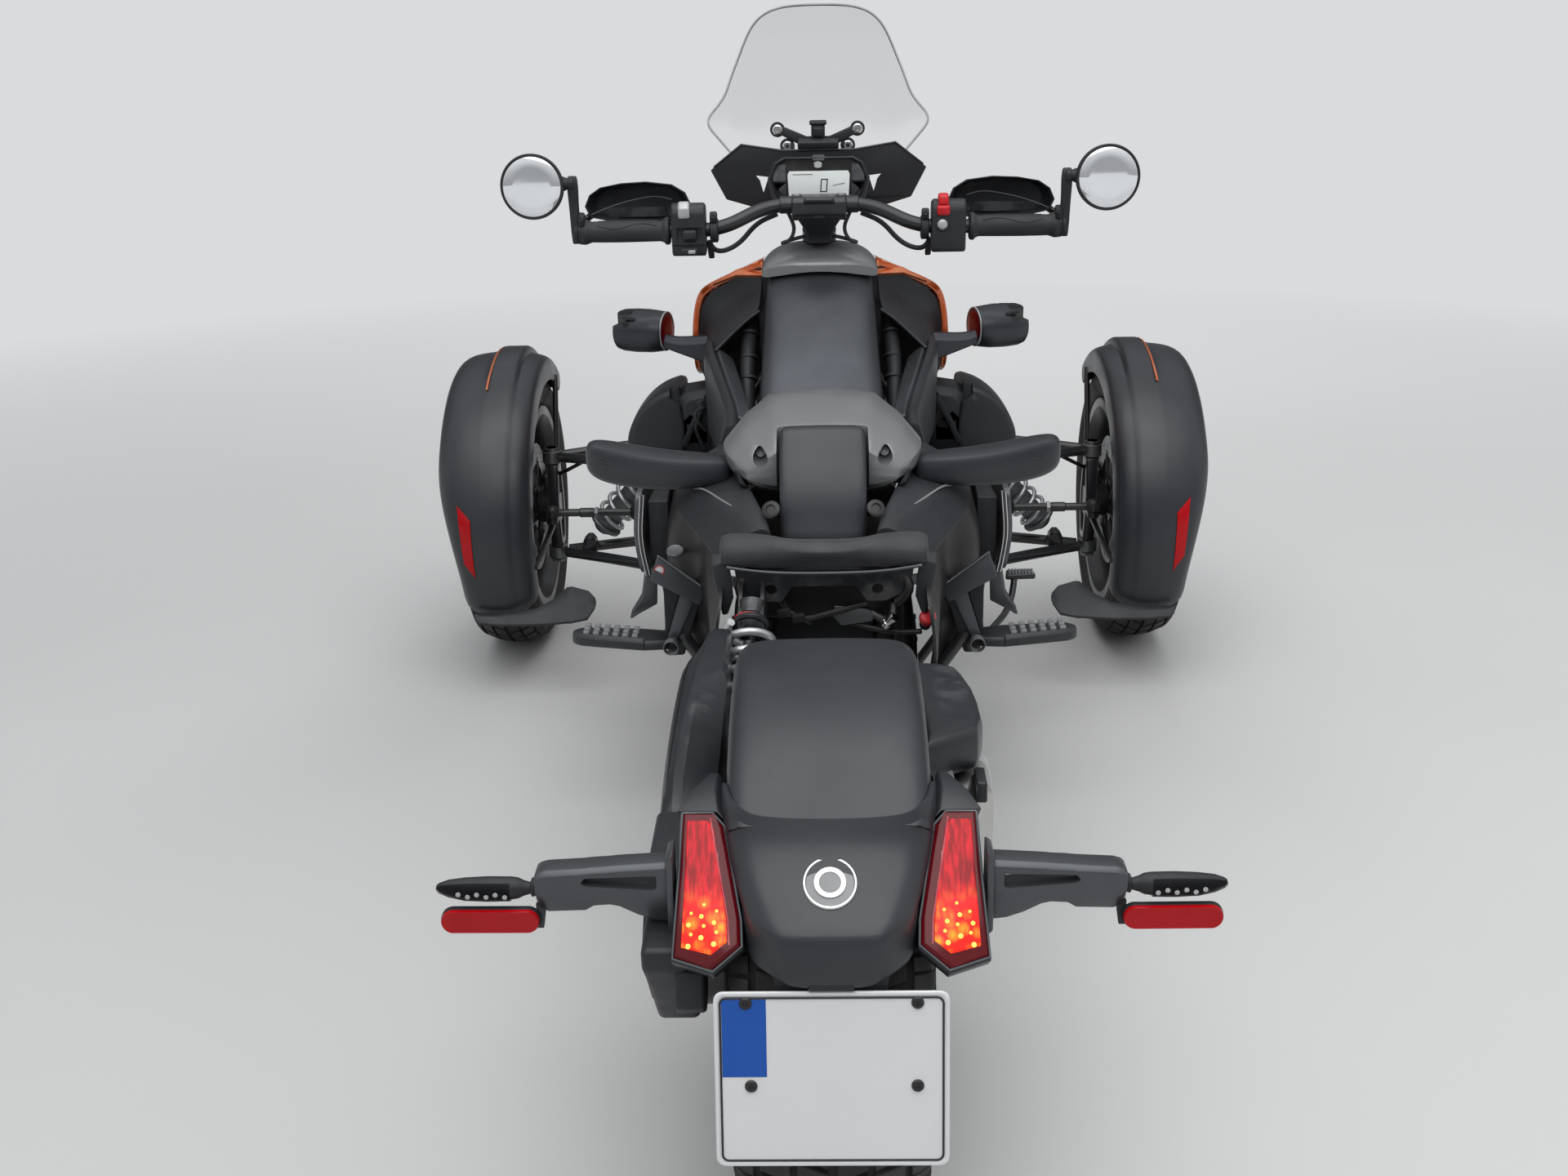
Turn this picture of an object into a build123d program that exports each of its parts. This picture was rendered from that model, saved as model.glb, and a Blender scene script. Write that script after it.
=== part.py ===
from build123d import *
import math
import os

# A reverse trike: two steered wheels in front, one driven wheel behind, a straddled body.
# Millimetres. +Y is the way it travels, +Z is up, the ground is Z 0, X 0 is its middle plane.

# Stance
WHEELBASE = 1709.0
TRACK = 1308.0
LENGTH = 2352.0
FRONT_AXLE_Y = 866.0
REAR_AXLE_Y = FRONT_AXLE_Y - WHEELBASE

# Tyres and rims
FRONT_TYRE_R = 290.0
FRONT_TYRE_W = 145.0
FRONT_RIM_R = 203.2
FRONT_RIM_W = 114.0
REAR_TYRE_R = 303.0
REAR_TYRE_W = 205.0
REAR_RIM_R = 190.5
REAR_RIM_W = 178.0
TYRE_WALL = 10.0
FLANGE_H = 13.0
FLANGE_T = 7.0
RIM_T = 7.0
SPOKES = 10
SPOKE_T = 16.0
SPINDLE_R = 15.0
REAR_AXLE_R = 20.0
DISC_T = 5.0
FRONT_DISC_R = 135.0
REAR_DISC_R = 125.0

# Clearances
RUN = 0.05
SEAT = 0.3

# Front suspension and steering
KINGPIN_X = TRACK / 2 - 84
UPPER_JOINT_Z = 400.0
LOWER_JOINT_Z = 190.0
JOINT_H = 28.0
PIN_R = 10.0
ARM_R = 11.0
BUSH_R = 15.0
BUSH_L = 34.0
RAIL_R = 14.7
UPPER_PIVOT = (220.0, 425.0)
UPPER_PIVOT_Y = (650.0, 945.0)
LOWER_PIVOT = (160.0, 224.0)
LOWER_PIVOT_Y = (551.0, 880.0)
SHOCK_LOW = (KINGPIN_X - 75, 835.0, 220.0)
SHOCK_TOP = (250.0, 800.0, 500.0)
SHOCK_EYE_R = 14.0
SHOCK_EYE_W = 24.0
SPRING_R = 37.0
SPRING_WIRE = 9.0
TIE_Y = 758.0
TIE_Z = 308.5
TIE_R = 8.0
TIE_EYE_X = KINGPIN_X - 10
TIE_EYE_H = 18.0
TIE_INNER_X = 330.0
BOOT_X = (345.0, 395.0)
RACK_R = 20.0

# Engine bay
LOWER_RAIL_X = 150.0
LOWER_RAIL_Z = 165.0
ENGINE_TUBES = (-40.0, 250.0)

# Steering column
STEER_POINT = (0.0, 400.0, 905.0)
RAKE = 25.0
STEM_R = 14.0
HEADSTOCK_R = 28.0
HEADSTOCK_SPAN = (-212.0, -58.0)

# Handlebar
BAR_R = 11.0
GRIP_R = 17.0
GRIP_X = (246.0, 396.0)
BAR_Y = 282.0
BAR_Z = 944.0
BAR_END_X = 408.0
CLAMP_Y = 325.0
CLAMP_Z = 978.0

# Front fenders
FENDER_START = 50.0
FENDER_SWEEP = 147.0
SHELL_T = 4.0

# Rear
SWING_PIVOT = (-330.0, 330.0)
SWING_X = (-168.0, -112.0)
HUMP_R = REAR_TYRE_R + 39
REAR_SHOCK_TOP = (-99.0, -400.0, 515.0)
REAR_SHOCK_LOW = (-112.0, -533.0, 410.3)
LUGGAGE_X = 73.0
LUGGAGE_HOLE_R = 8.0
LAMP_TOP = (-1030.0, 563.0)
LAMP_LOW = (-1120.0, 470.0)
LAMP_T = 12.0
PLATE_W = 220.0
PLATE_H = 174.0
PLATE_TOP_Z = 436.0
PLATE_LEAN = 11.0

# Flank panels: each row is a station Y and the four corners of the outer skin, X and Z,
# from the inner top edge over the shoulder and down the side
PANEL_T = 12.0
PANEL_ROWS = [
    # y, inner top, shoulder, side, lower edge
    (330, (99, 884), (215, 818), (229, 700), (219, 656)),
    (520, (96, 868), (217, 800), (232, 700), (212, 640)),
    (760, (88, 800), (196, 742), (216, 660), (196, 600)),
    (960, (74, 716), (160, 676), (184, 620), (172, 575)),
    (1060, (60, 660), (120, 640), (150, 606), (140, 580)),
]


# Helpers
def rod(start, end, radius):
    """A straight round bar between two points."""
    first, last = Vector(*start), Vector(*end)
    along = last - first
    return Solid.make_cylinder(radius, along.length, Plane(origin=first, z_dir=along))


def tube(points, radius, bend):
    """A bent round bar along straight runs joined by tangent arcs."""
    path = FilletPolyline(*points, radius=bend)
    return sweep(Plane(origin=path @ 0, z_dir=path % 0) * Circle(radius), path=path)


def prism(outline, plane, low, high):
    """A flat outline pushed out between two heights above its plane."""
    face = plane * make_face(Polyline(*outline, close=True))
    return extrude(face.moved(Location(plane.z_dir * low)), amount=high - low, dir=plane.z_dir)


def across(outline, low, high):
    """A side outline of (Y, Z) points, pushed out along X."""
    return prism(outline, Plane.YZ, low, high)


def along(outline, low, high):
    """A front outline of (X, Z) points, pushed out along Y."""
    face = make_face(Polyline(*[(x, low, z) for x, z in outline], close=True))
    return extrude(face, amount=high - low, dir=(0, 1, 0))


def skin(stations):
    """Straight-ruled body through front outlines, each (Y, [(X, Z), ...])."""
    faces = [make_face(Polyline(*[(x, y, z) for x, z in pts], close=True)) for y, pts in stations]
    return loft(faces, ruled=True)


def symmetric(half):
    """A half outline of (X, Z) points, from bottom to top, closed over the middle plane."""
    return list(half) + [(-x, z) for x, z in reversed(half)]


def box(x, y, z):
    """A box between two limits on each axis."""
    size = [high - low for low, high in (x, y, z)]
    mid = [(low + high) / 2 for low, high in (x, y, z)]
    return Pos(*mid) * Box(*size)


def both(shape):
    """A right-hand piece with its left-hand mirror."""
    return [shape, mirror(shape, about=Plane.YZ)]


def solids(*shapes):
    """One list of every solid in the given shapes."""
    found = []
    for shape in shapes:
        items = shape if isinstance(shape, (list, tuple)) else [shape]
        for item in items:
            found.extend(item.solids())
    return found


def facing(x, y, z):
    """A plane that looks back along the vehicle, its own x to the right."""
    return Plane(origin=(x, y, z), x_dir=(1, 0, 0), z_dir=(0, -1, 0))


def steer_at(distance):
    """A point on the raked steering axis."""
    lean = math.radians(RAKE)
    x, y, z = STEER_POINT
    return (x, y - math.sin(lean) * distance, z + math.cos(lean) * distance)


# Wheels, each built about its own centre with the axle along X
def tyre(outer, width, seat, rim_width):
    half, bead = width / 2, rim_width / 2
    mid = seat + 0.5 * (outer - seat)
    crown_x, crown_r = 0.74 * half, outer - 0.045 * outer
    thick = TYRE_WALL
    lip = seat + FLANGE_H + SEAT
    outside = [
        Line((bead, seat), (bead, lip)),
        ThreePointArc((bead, lip), (half, mid), (crown_x, crown_r)),
        ThreePointArc((crown_x, crown_r), (0, outer), (-crown_x, crown_r)),
        ThreePointArc((-crown_x, crown_r), (-half, mid), (-bead, lip)),
        Line((-bead, lip), (-bead, seat)),
    ]
    foot, roof = bead - 1.3 * thick, crown_x - 0.6 * thick
    inside = [
        Line((-bead, seat), (-foot, seat)),
        Line((-foot, seat), (-foot, lip)),
        ThreePointArc((-foot, lip), (-half + thick, mid), (-roof, crown_r - thick)),
        ThreePointArc((-roof, crown_r - thick), (0, outer - thick), (roof, crown_r - thick)),
        ThreePointArc((roof, crown_r - thick), (half - thick, mid), (foot, lip)),
        Line((foot, lip), (foot, seat)),
        Line((foot, seat), (bead, seat)),
    ]
    return revolve(make_face(outside + inside), Axis.X)


def rim(radius, width, hub_r, hub_x, bore, face_x):
    half = width / 2 + SEAT
    seat, well = radius - SEAT, radius - 14
    barrel = [
        (half + FLANGE_T, radius + FLANGE_H), (half, radius + FLANGE_H), (half, seat),
        (half - 22, seat), (half - 32, well), (-half + 32, well), (-half + 22, seat),
        (-half, seat), (-half, radius + FLANGE_H), (-half - FLANGE_T, radius + FLANGE_H),
        (-half - FLANGE_T, seat - RIM_T), (-half + 24, well - RIM_T),
        (half - 24, well - RIM_T), (half + FLANGE_T, seat - RIM_T),
    ]
    ring = revolve(make_face(Polyline(*barrel, close=True)), Axis.X)
    hub = rod((hub_x[0], 0, 0), (hub_x[1], 0, 0), hub_r)
    reach = well - RIM_T + 2
    spoke = across([(-hub_r * 0.36, hub_r * 0.8), (hub_r * 0.36, hub_r * 0.8), (9, reach), (-9, reach)],
                   face_x - SPOKE_T, face_x)
    spokes = [Rot(X=turn * 360 / SPOKES) * spoke for turn in range(SPOKES)]
    body = ring + ([hub] + spokes)
    return body - rod((hub_x[0] - 1, 0, 0), (hub_x[1] + 1, 0, 0), bore)


def disc(radius, bore, x):
    plate = rod((x, 0, 0), (x + DISC_T, 0, 0), radius)
    holes = [Rot(X=turn * 45) * rod((x - 1, 0, 0.62 * radius), (x + DISC_T + 1, 0, 0.62 * radius), 12)
             for turn in range(8)]
    return plate - ([rod((x - 1, 0, 0), (x + DISC_T + 1, 0, 0), bore)] + holes)


# Springs and dampers
def damper(low, top, body_r, rod_r, eye_axis):
    first, last = Vector(*low), Vector(*top)
    line = (last - first).normalized()
    half_eye = Vector(*eye_axis) * (SHOCK_EYE_W / 2)
    eyes = [rod(tuple(point - half_eye), tuple(point + half_eye), SHOCK_EYE_R)
            for point in (first, last)]
    length = (last - first).length
    body = rod(tuple(first + line * (0.14 * length)), tuple(first + line * (0.6 * length)), body_r)
    stem = rod(tuple(first), tuple(last), rod_r)
    cups = []
    for share in (0.14, 0.84):
        centre = first + line * (share * length)
        cups.append(rod(tuple(centre), tuple(centre + line * 8), SPRING_R))
    return body + ([stem] + cups + eyes)


def spring(low, top, inner_r):
    first, last = Vector(*low), Vector(*top)
    line = last - first
    length = line.length
    start, end = 0.14 * length + 8 + SEAT, 0.84 * length - SEAT
    coils = 7
    pitch = (end - start) / coils
    edge = [(inner_r, start)]
    for turn in range(coils):
        base = start + turn * pitch
        edge += [(SPRING_R - SPRING_WIRE, base), (SPRING_R, base + 0.3 * pitch),
                 (SPRING_R, base + 0.7 * pitch)]
    edge += [(SPRING_R - SPRING_WIRE, end), (inner_r, end)]
    profile = make_face(Polyline(*edge, close=True))
    sleeve = revolve(Plane.XZ * profile, Axis.Z)
    return Plane(origin=first, z_dir=line) * sleeve


# Front suspension, right-hand side
def arm(outer_z, pivot, pivot_y, bow):
    x, z = pivot
    boss = rod((KINGPIN_X, FRONT_AXLE_Y, outer_z - JOINT_H / 2),
               (KINGPIN_X, FRONT_AXLE_Y, outer_z + JOINT_H / 2), 2 * PIN_R)
    pieces = []
    for y in pivot_y:
        pieces.append(rod((KINGPIN_X, FRONT_AXLE_Y, outer_z), (x, y, z), ARM_R))
        pieces.append(rod((x, y - BUSH_L / 2, z), (x, y + BUSH_L / 2, z), BUSH_R))
    if bow:
        pieces.append(bow)
    bore = rod((KINGPIN_X, FRONT_AXLE_Y, outer_z - 40), (KINGPIN_X, FRONT_AXLE_Y, outer_z + 40),
               PIN_R + RUN)
    return boss + pieces - bore


def lower_arm_bow():
    x, y, z = SHOCK_LOW
    height = z - SHOCK_EYE_R - SEAT - 9
    return rod((x, 806, height), (x, 869, height), 9)


def upper_arm():
    return arm(UPPER_JOINT_Z, UPPER_PIVOT, UPPER_PIVOT_Y, None)


def lower_arm():
    return arm(LOWER_JOINT_Z, LOWER_PIVOT, LOWER_PIVOT_Y, lower_arm_bow())


def knuckle():
    x, y = KINGPIN_X, FRONT_AXLE_Y
    top = UPPER_JOINT_Z - JOINT_H / 2 - SEAT
    low = LOWER_JOINT_Z + JOINT_H / 2 + SEAT
    upright = across([(y - 24, low), (y + 24, low), (y + 40, FRONT_TYRE_R - 20),
                      (y + 40, FRONT_TYRE_R + 20), (y + 22, top), (y - 22, top),
                      (y - 40, FRONT_TYRE_R + 20), (y - 40, FRONT_TYRE_R - 20)], x - 14, x + 10)
    hub_face = TRACK / 2 - 48
    shank = rod((x, y, FRONT_TYRE_R), (TRACK / 2 + 50, y, FRONT_TYRE_R), SPINDLE_R)
    collar = rod((x, y, FRONT_TYRE_R), (hub_face, y, FRONT_TYRE_R), 34)
    nut = rod((TRACK / 2 + 46, y, FRONT_TYRE_R), (TRACK / 2 + 56, y, FRONT_TYRE_R), 22)
    pins = rod((x, y, low - JOINT_H - 4), (x, y, top + JOINT_H + 6), PIN_R)
    arm_low = TIE_Z - TIE_EYE_H / 2 - 0.5 - 14
    steer_arm = extrude(make_face(Polyline((x - 14, y - 20, arm_low), (x + 8, y - 20, arm_low),
                                           (TIE_EYE_X + 12, TIE_Y, arm_low),
                                           (TIE_EYE_X - 12, TIE_Y, arm_low), close=True)),
                        amount=14, dir=(0, 0, 1))
    end = rod((TIE_EYE_X, TIE_Y, arm_low), (TIE_EYE_X, TIE_Y, arm_low + 14), 12)
    return upright + [shank, collar, nut, pins, steer_arm, end]


def caliper():
    y, z = FRONT_AXLE_Y, FRONT_TYRE_R
    disc_x = TRACK / 2 - 46
    block = along([(disc_x - 16, z - 42), (disc_x + 21, z - 42), (disc_x + 21, z + 42),
                   (disc_x - 16, z + 42)], y + 92, y + 156)
    slot = rod((disc_x - 2, y, z), (disc_x + DISC_T + 2, y, z), FRONT_DISC_R + 3)
    lug = box((KINGPIN_X + 10 + SEAT, disc_x - 16), (y + 20, y + 130), (z - 16, z + 16))
    collar = rod((KINGPIN_X, y, z), (disc_x, y, z), 34 + SEAT)
    return block + lug - [slot, collar]


def fender():
    centre_x = TRACK / 2
    outline = [(-84, 305), (-84, 311), (-70, 322), (-47, 327), (-43, 338), (8, 338), (14, 329),
               (66, 325), (90, 311), (100.5, 288), (98, 266)]
    inside = [(-80, 303), (-68, 317), (-44, 322), (-39, 334), (4, 334), (11, 324), (63, 321),
              (86, 308), (96, 287), (94, 266)]
    face = make_face(Polyline(*(outline + inside[::-1]), close=True))
    face = Rot(X=FENDER_START) * face
    shell = Pos(centre_x, FRONT_AXLE_Y, FRONT_TYRE_R) * revolve(face, Axis.X, FENDER_SWEEP)
    stays = []
    for turn, root in ((66, (40, 52)), (152, (-44, 32))):
        angle = math.radians(turn)
        tip = (KINGPIN_X, FRONT_AXLE_Y + 307 * math.cos(angle), FRONT_TYRE_R + 307 * math.sin(angle))
        start = (KINGPIN_X - 2, FRONT_AXLE_Y + root[0] * 0.8, FRONT_TYRE_R + root[1])
        stays.append(rod(start, tip, 6))
    end = math.radians(FENDER_START + FENDER_SWEEP)
    y = FRONT_AXLE_Y + 318 * math.cos(end)
    z = FRONT_TYRE_R + 318 * math.sin(end)
    inner, outer = centre_x - 204, centre_x + 48
    flap = along([(inner, z - 40), (inner + 20, z - 48), (outer - 12, z - 48), (outer, z - 34),
                  (outer, z + 4), (centre_x - 82, z + 4), (centre_x - 94, z - 22),
                  (inner + 12, z - 26)], y - 14, y + 10)
    return shell + (stays + [flap]) - knuckle()


def tie_rod():
    bar = rod((TIE_INNER_X, TIE_Y, TIE_Z), (TIE_EYE_X, TIE_Y, TIE_Z), TIE_R)
    low, high = TIE_Z - TIE_EYE_H / 2, TIE_Z + TIE_EYE_H / 2
    eye = rod((TIE_EYE_X, TIE_Y, low), (TIE_EYE_X, TIE_Y, high), 16)
    hole = rod((TIE_EYE_X, TIE_Y, low - 1), (TIE_EYE_X, TIE_Y, high + 1), 6)
    return bar + eye - hole


def rack():
    body = rod((-BOOT_X[0], TIE_Y, TIE_Z), (BOOT_X[0], TIE_Y, TIE_Z), RACK_R)
    folds = 5
    fold = (BOOT_X[1] - BOOT_X[0]) / folds
    edge = [(BOOT_X[0], 0)]
    for turn in range(folds):
        base = BOOT_X[0] + turn * fold
        edge += [(base, 14), (base + fold / 2, 19)]
    edge += [(BOOT_X[1], 14), (BOOT_X[1], 0)]
    boot = Pos(0, TIE_Y, TIE_Z) * revolve(make_face(Polyline(*edge, close=True)), Axis.X)
    boots = both(boot)
    bores = both(rod((262, TIE_Y, TIE_Z), (BOOT_X[1] + 5, TIE_Y, TIE_Z), TIE_R + SEAT))
    return body + boots - bores


# Frame
def frame():
    parts = []
    for side in (1, -1):
        def place(points):
            return [(side * x, y, z) for x, y, z in points]
        parts.append(tube(place([(34, 452, 772), (125, 385, 640), (150, 290, 572), (150, -40, 572),
                                 (95, -344, 556)]), RAIL_R, 45))
        parts.append(tube(place([(130, 1010, 228), (130, 470, 228), (150, 330, 165),
                                 (150, -200, 165), (120, -280, 240), (107, -280, 556)]), RAIL_R, 50))
        parts.append(tube(place([(190, 1010, 425), (190, 600, 425), (62, 492, 690),
                                 (26, 478, 742)]), RAIL_R, 50))
        for y in (560, 960):
            parts.append(rod(*place([(130, y, 228), (190, y, 425)]), 12))
        lug_y, lug_z = SWING_PIVOT
        parts.append(across([(-280, lug_z - 40), (lug_y, lug_z - 44), (lug_y - 30, lug_z - 30),
                             (lug_y - 44, lug_z), (lug_y - 30, lug_z + 30), (lug_y, lug_z + 44),
                             (-280, lug_z + 60)], *sorted((side * 94, side * 108))))
        parts.append(rod(*place([(130, TIE_Y, 228), (130, TIE_Y, TIE_Z)]), 10))
        x, y, z = SHOCK_TOP
        for gap in (-1, 1):
            face = y + gap * (SHOCK_EYE_W / 2 + SEAT)
            parts.append(along([(side * 182, 436), (side * 196, 424), (side * (x + 14), z - 12),
                                (side * (x + 14), z + 8), (side * (x - 8), z + 16)],
                               *sorted((face, face + gap * 6))))
    for y, z in ((560, 228), (960, 228)):
        parts.append(rod((-130, y, z), (130, y, z), 12))
    for y, z in ((600, 425), (960, 425)):
        parts.append(rod((-190, y, z), (190, y, z), 12))
    parts.append(rod((-107, -280, 500), (107, -280, 500), 12))
    for y in ENGINE_TUBES:
        parts.append(rod((-150, y, LOWER_RAIL_Z), (150, y, LOWER_RAIL_Z), 12))
    parts.append(rod(steer_at(HEADSTOCK_SPAN[0]), steer_at(HEADSTOCK_SPAN[1]), HEADSTOCK_R))
    parts.append(rear_plate())
    x, y, z = REAR_SHOCK_TOP
    for gap in (-1, 1):
        face = x + gap * (SHOCK_EYE_W / 2 + SEAT)
        parts.append(across([(-346, z + 44), (-346, z - 4), (y + 6, z - 14), (y - 12, z - 10),
                             (y - 12, z + 14), (y + 6, z + 20)], *sorted((face, face + gap * 5))))
    body = parts[0] + parts[1:]
    bores = [rod(steer_at(-260), steer_at(40), STEM_R + RUN)]
    y, z = SWING_PIVOT
    bores.append(rod((-130, y, z), (130, y, z), 32 + SEAT))
    bores.append(rod((-400, TIE_Y, TIE_Z), (400, TIE_Y, TIE_Z), RACK_R + SEAT))
    return body - bores


def rear_plate():
    outline = [(-122, 570), (-118, 540), (-84, 524), (-58, 524), (-44, 546), (44, 546), (58, 524),
               (84, 524), (118, 540), (122, 570)]
    plate = along(outline, -350, -344)
    holes = both(rod((LUGGAGE_X, -360, 541), (LUGGAGE_X, -340, 541), LUGGAGE_HOLE_R))
    return plate - holes


# Power unit
def engine_block():
    side = LOWER_RAIL_X - RAIL_R - SEAT
    block = box((-side, side), (-90, 316), (LOWER_RAIL_Z + 12 + SEAT, 500))
    return chamfer(block.edges().filter_by(Axis.Y), 30)


def drive_cover():
    outline = [(-436, 470), (-452, 520), (-500, 532), (-840, 508), (-905, 468), (-905, 340),
               (-436, 372)]
    body = across(outline, -182, -118)
    return body - [swing_arm(), box((-152, -100), (-586, -400), (300, 600))]


def swing_arm():
    left, right = SWING_X
    leg = across([(-300, 372), (-300, 288), (-560, 268), (-800, 250), (-905, 268), (-912, 330),
                  (-880, 372), (-560, 398)], left, right)
    y, z = SWING_PIVOT
    pivot = rod((left, y, z), (135, y, z), 32)
    drive = rod((left - 14, REAR_AXLE_Y, REAR_TYRE_R), (right, REAR_AXLE_Y, REAR_TYRE_R), 72)
    axle = rod((right - 2, REAR_AXLE_Y, REAR_TYRE_R), (66, REAR_AXLE_Y, REAR_TYRE_R), REAR_AXLE_R)
    nut = rod((62, REAR_AXLE_Y, REAR_TYRE_R), (74, REAR_AXLE_Y, REAR_TYRE_R), 30)
    x, y, z = REAR_SHOCK_LOW
    seat_z = z - SHOCK_EYE_R - SEAT
    mount = box((-118, x + 20), (y - 12, y + 13), (372, seat_z))
    tabs = [box(sorted((x + gap * (SHOCK_EYE_W / 2 + SEAT), x + gap * (SHOCK_EYE_W / 2 + 6))),
                (y - 12, y + 13), (seat_z - 8, z + 6)) for gap in (-1, 1)]
    return leg + ([pivot, drive, axle, nut, mount] + tabs)


def rear_caliper():
    x = -84
    y, z = REAR_AXLE_Y, REAR_TYRE_R
    block = box((SWING_X[1] + SEAT, x + 22), (y + 84, y + 146), (z - 38, z + 38))
    slot = rod((x - 2, y, z), (x + DISC_T + 2, y, z), REAR_DISC_R + 3)
    return block - slot


def silencer():
    ends = [(-430, 395, 70, 110, 24), (-560, 400, 84, 150, 30), (-850, 410, 80, 140, 30)]
    can = loft([facing(158, y, z) * RectangleRounded(wide, high, corner)
                for y, z, wide, high, corner in ends], ruled=True)
    pipe = tube([(150, -60, 215), (186, -170, 215), (176, -330, 300), (158, -432, 395)], 19, 50)
    outlet = rod((158, -849, 400), (158, -885, 400), 20)
    return can + [pipe, outlet] - engine_block()


def silencer_cover():
    outline = [(-556, 470), (-560, 540), (-600, 560), (-770, 552), (-812, 520), (-812, 470)]
    return across(outline, 109, 178) - silencer()


# Nose
def panel_inside(row):
    y, (x0, z0), (x1, z1), (x2, z2), (x3, z3) = row
    return [(x0, z0 - PANEL_T), (x1 - 10, z1 - PANEL_T), (x2 - PANEL_T, z2), (x3 - PANEL_T, z3)]


def side_panel():
    stations = []
    for row in PANEL_ROWS:
        stations.append((row[0], list(row[1:]) + panel_inside(row)[::-1]))
    body = skin(stations)
    keep = extrude(make_face(Polyline((60, 334, 500), (300, 497, 500), (300, 1200, 500),
                                      (60, 1200, 500), close=True)), amount=500, dir=(0, 0, 1))
    return body & keep


def nose_cowl():
    stations = []
    for row, crown in zip(PANEL_ROWS, (8, 8, 9, 9, 8)):
        y = max(row[0], 458)
        edge_x, edge_z = row[1]
        if row[0] == 330:
            edge_x, edge_z = 96.9, 873
        edge_x -= 0.5
        flat = 0.62 * edge_x
        half = [(edge_x, edge_z - 4), (edge_x, edge_z - 1), (flat, edge_z + crown)]
        under = [(flat, edge_z + crown - 6), (edge_x - 5, edge_z - 7)]
        stations.append((y, half + [(-px, pz) for px, pz in half[::-1]]
                         + [(-px, pz) for px, pz in under[::-1]] + under))
    tip_x, tip_z = 34, 618
    half = [(tip_x, tip_z - 4), (tip_x, tip_z - 1), (0.62 * tip_x, tip_z + 5)]
    under = [(0.62 * tip_x, tip_z - 1), (tip_x - 5, tip_z - 7)]
    stations.append((1120, half + [(-px, pz) for px, pz in half[::-1]]
                     + [(-px, pz) for px, pz in under[::-1]] + under))
    deck = skin(stations)
    wall = along(symmetric([(112, 520), (150, 545), (166, 600), (150, 668), (66, 706)]), 972, 984.7)
    return deck + (wall - both(side_panel()) - deck)


def headlamp():
    body = skin([(985, [(40, 532), (104, 528), (130, 560), (122, 592), (30, 606)]),
                 (1050, [(38, 532), (104, 528), (126, 556), (112, 590), (28, 604)]),
                 (1085, [(44, 536), (88, 534), (104, 556), (92, 578), (38, 590)])])
    return body


def grille():
    duct = along(symmetric([(96, 344), (124, 500), (112, 527.7)]), 1045.3, 1100)
    hollow = along(symmetric([(84, 358), (110, 496), (100, 515)]), 1040, 1110)
    slats = [box((-112, 112), (1086, 1096), (376 + 24 * n, 382 + 24 * n)) for n in range(6)]
    outline = along(symmetric([(90, 350), (117, 498), (106, 521)]), 1086, 1096)
    return duct - hollow + [slat & outline for slat in slats]


def radiator():
    core = box((-140, 140), (1010.3, 1045), (206.3, 505))
    return core - both(box((118, 150), (1000, 1060), (330, 480)))


def chin():
    outline = [(960, 188), (1100, 188), (1150, 236), (LENGTH / 2, 318), (LENGTH / 2, 344),
               (1136, 343.7), (1118, 260), (1080, 206), (960, 206)]
    body = across(outline, -118, 118)
    for side in (1, -1):
        wedge = extrude(make_face(Polyline((side * 118, 900, 100), (side * 118, 1200, 100),
                                           (side * 84, 1200, 100), close=True)), amount=400,
                        dir=(0, 0, 1))
        body = body - wedge
    return body


# Cockpit and flanks
def dash_shroud():
    plate = along([(96, 856), (202, 795), (217, 700), (206, 648), (178, 640), (178, 700), (112, 790),
                   (96, 790)], 440.3, 450)
    return plate - [side_panel(), nose_cowl()]


def side_cover():
    rows = [  # y, outer x, inner x, top z
        (440, 205, 183, 738), (300, 198, 182, 740), (50, 164, 136, 696), (-44, 156, 132, 700)]
    stations = []
    for y, outer, inner, top in rows:
        stations.append((y, [(outer - 10, 606), (outer, top - 20), (outer - 8, top), (inner, top - 2),
                             (inner + 4, 606)]))
    return skin(stations)


def side_strut():
    return skin([(318, [(164, 690), (181.7, 690), (181.7, 738), (170, 734)]),
                 (50, [(114, 650), (135.7, 650), (135.7, 694), (120, 690)]),
                 (4, [(110, 652), (133, 652), (133, 696), (118, 692)])])


def console():
    rows = [  # y, crown half width, crown z, shoulder half width, shoulder z
        (350, 66, 869, 94, 850), (250, 66, 796, 98, 770), (160, 60, 712, 101, 684),
        (112, 56, 652, 103, 626)]
    stations = []
    for y, crown, top, wide, shoulder in rows:
        stations.append((y, symmetric([(104, 596), (wide, shoulder), (wide - 7, shoulder + 14),
                                       (crown, top)])))
    return skin(stations)


def cap():
    rows = [  # y, crown half width, crown z, rim half width, rim z
        (336, 84, 877, 98, 872), (366, 72, 898, 98, 879), (410, 58, 905, 94, 880),
        (455, 40, 892, 80, 877)]
    stations = [(y, symmetric([(wide - 2, 869.4), (wide, rim_z), (crown, top)]))
                for y, crown, top, wide, rim_z in rows]
    return skin(stations) - rod(steer_at(-80), steer_at(40), 20)


def seat():
    rows = [(111.7, 60, 650, 100, 626), (66, 70, 606, 114, 590), (-10, 84, 599, 128, 584),
            (-43.7, 84, 608, 130, 590)]
    stations = [(y, symmetric([(100, 540), (wide, low), (crown, top)]))
                for y, crown, top, wide, low in rows]
    return skin(stations)


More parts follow.
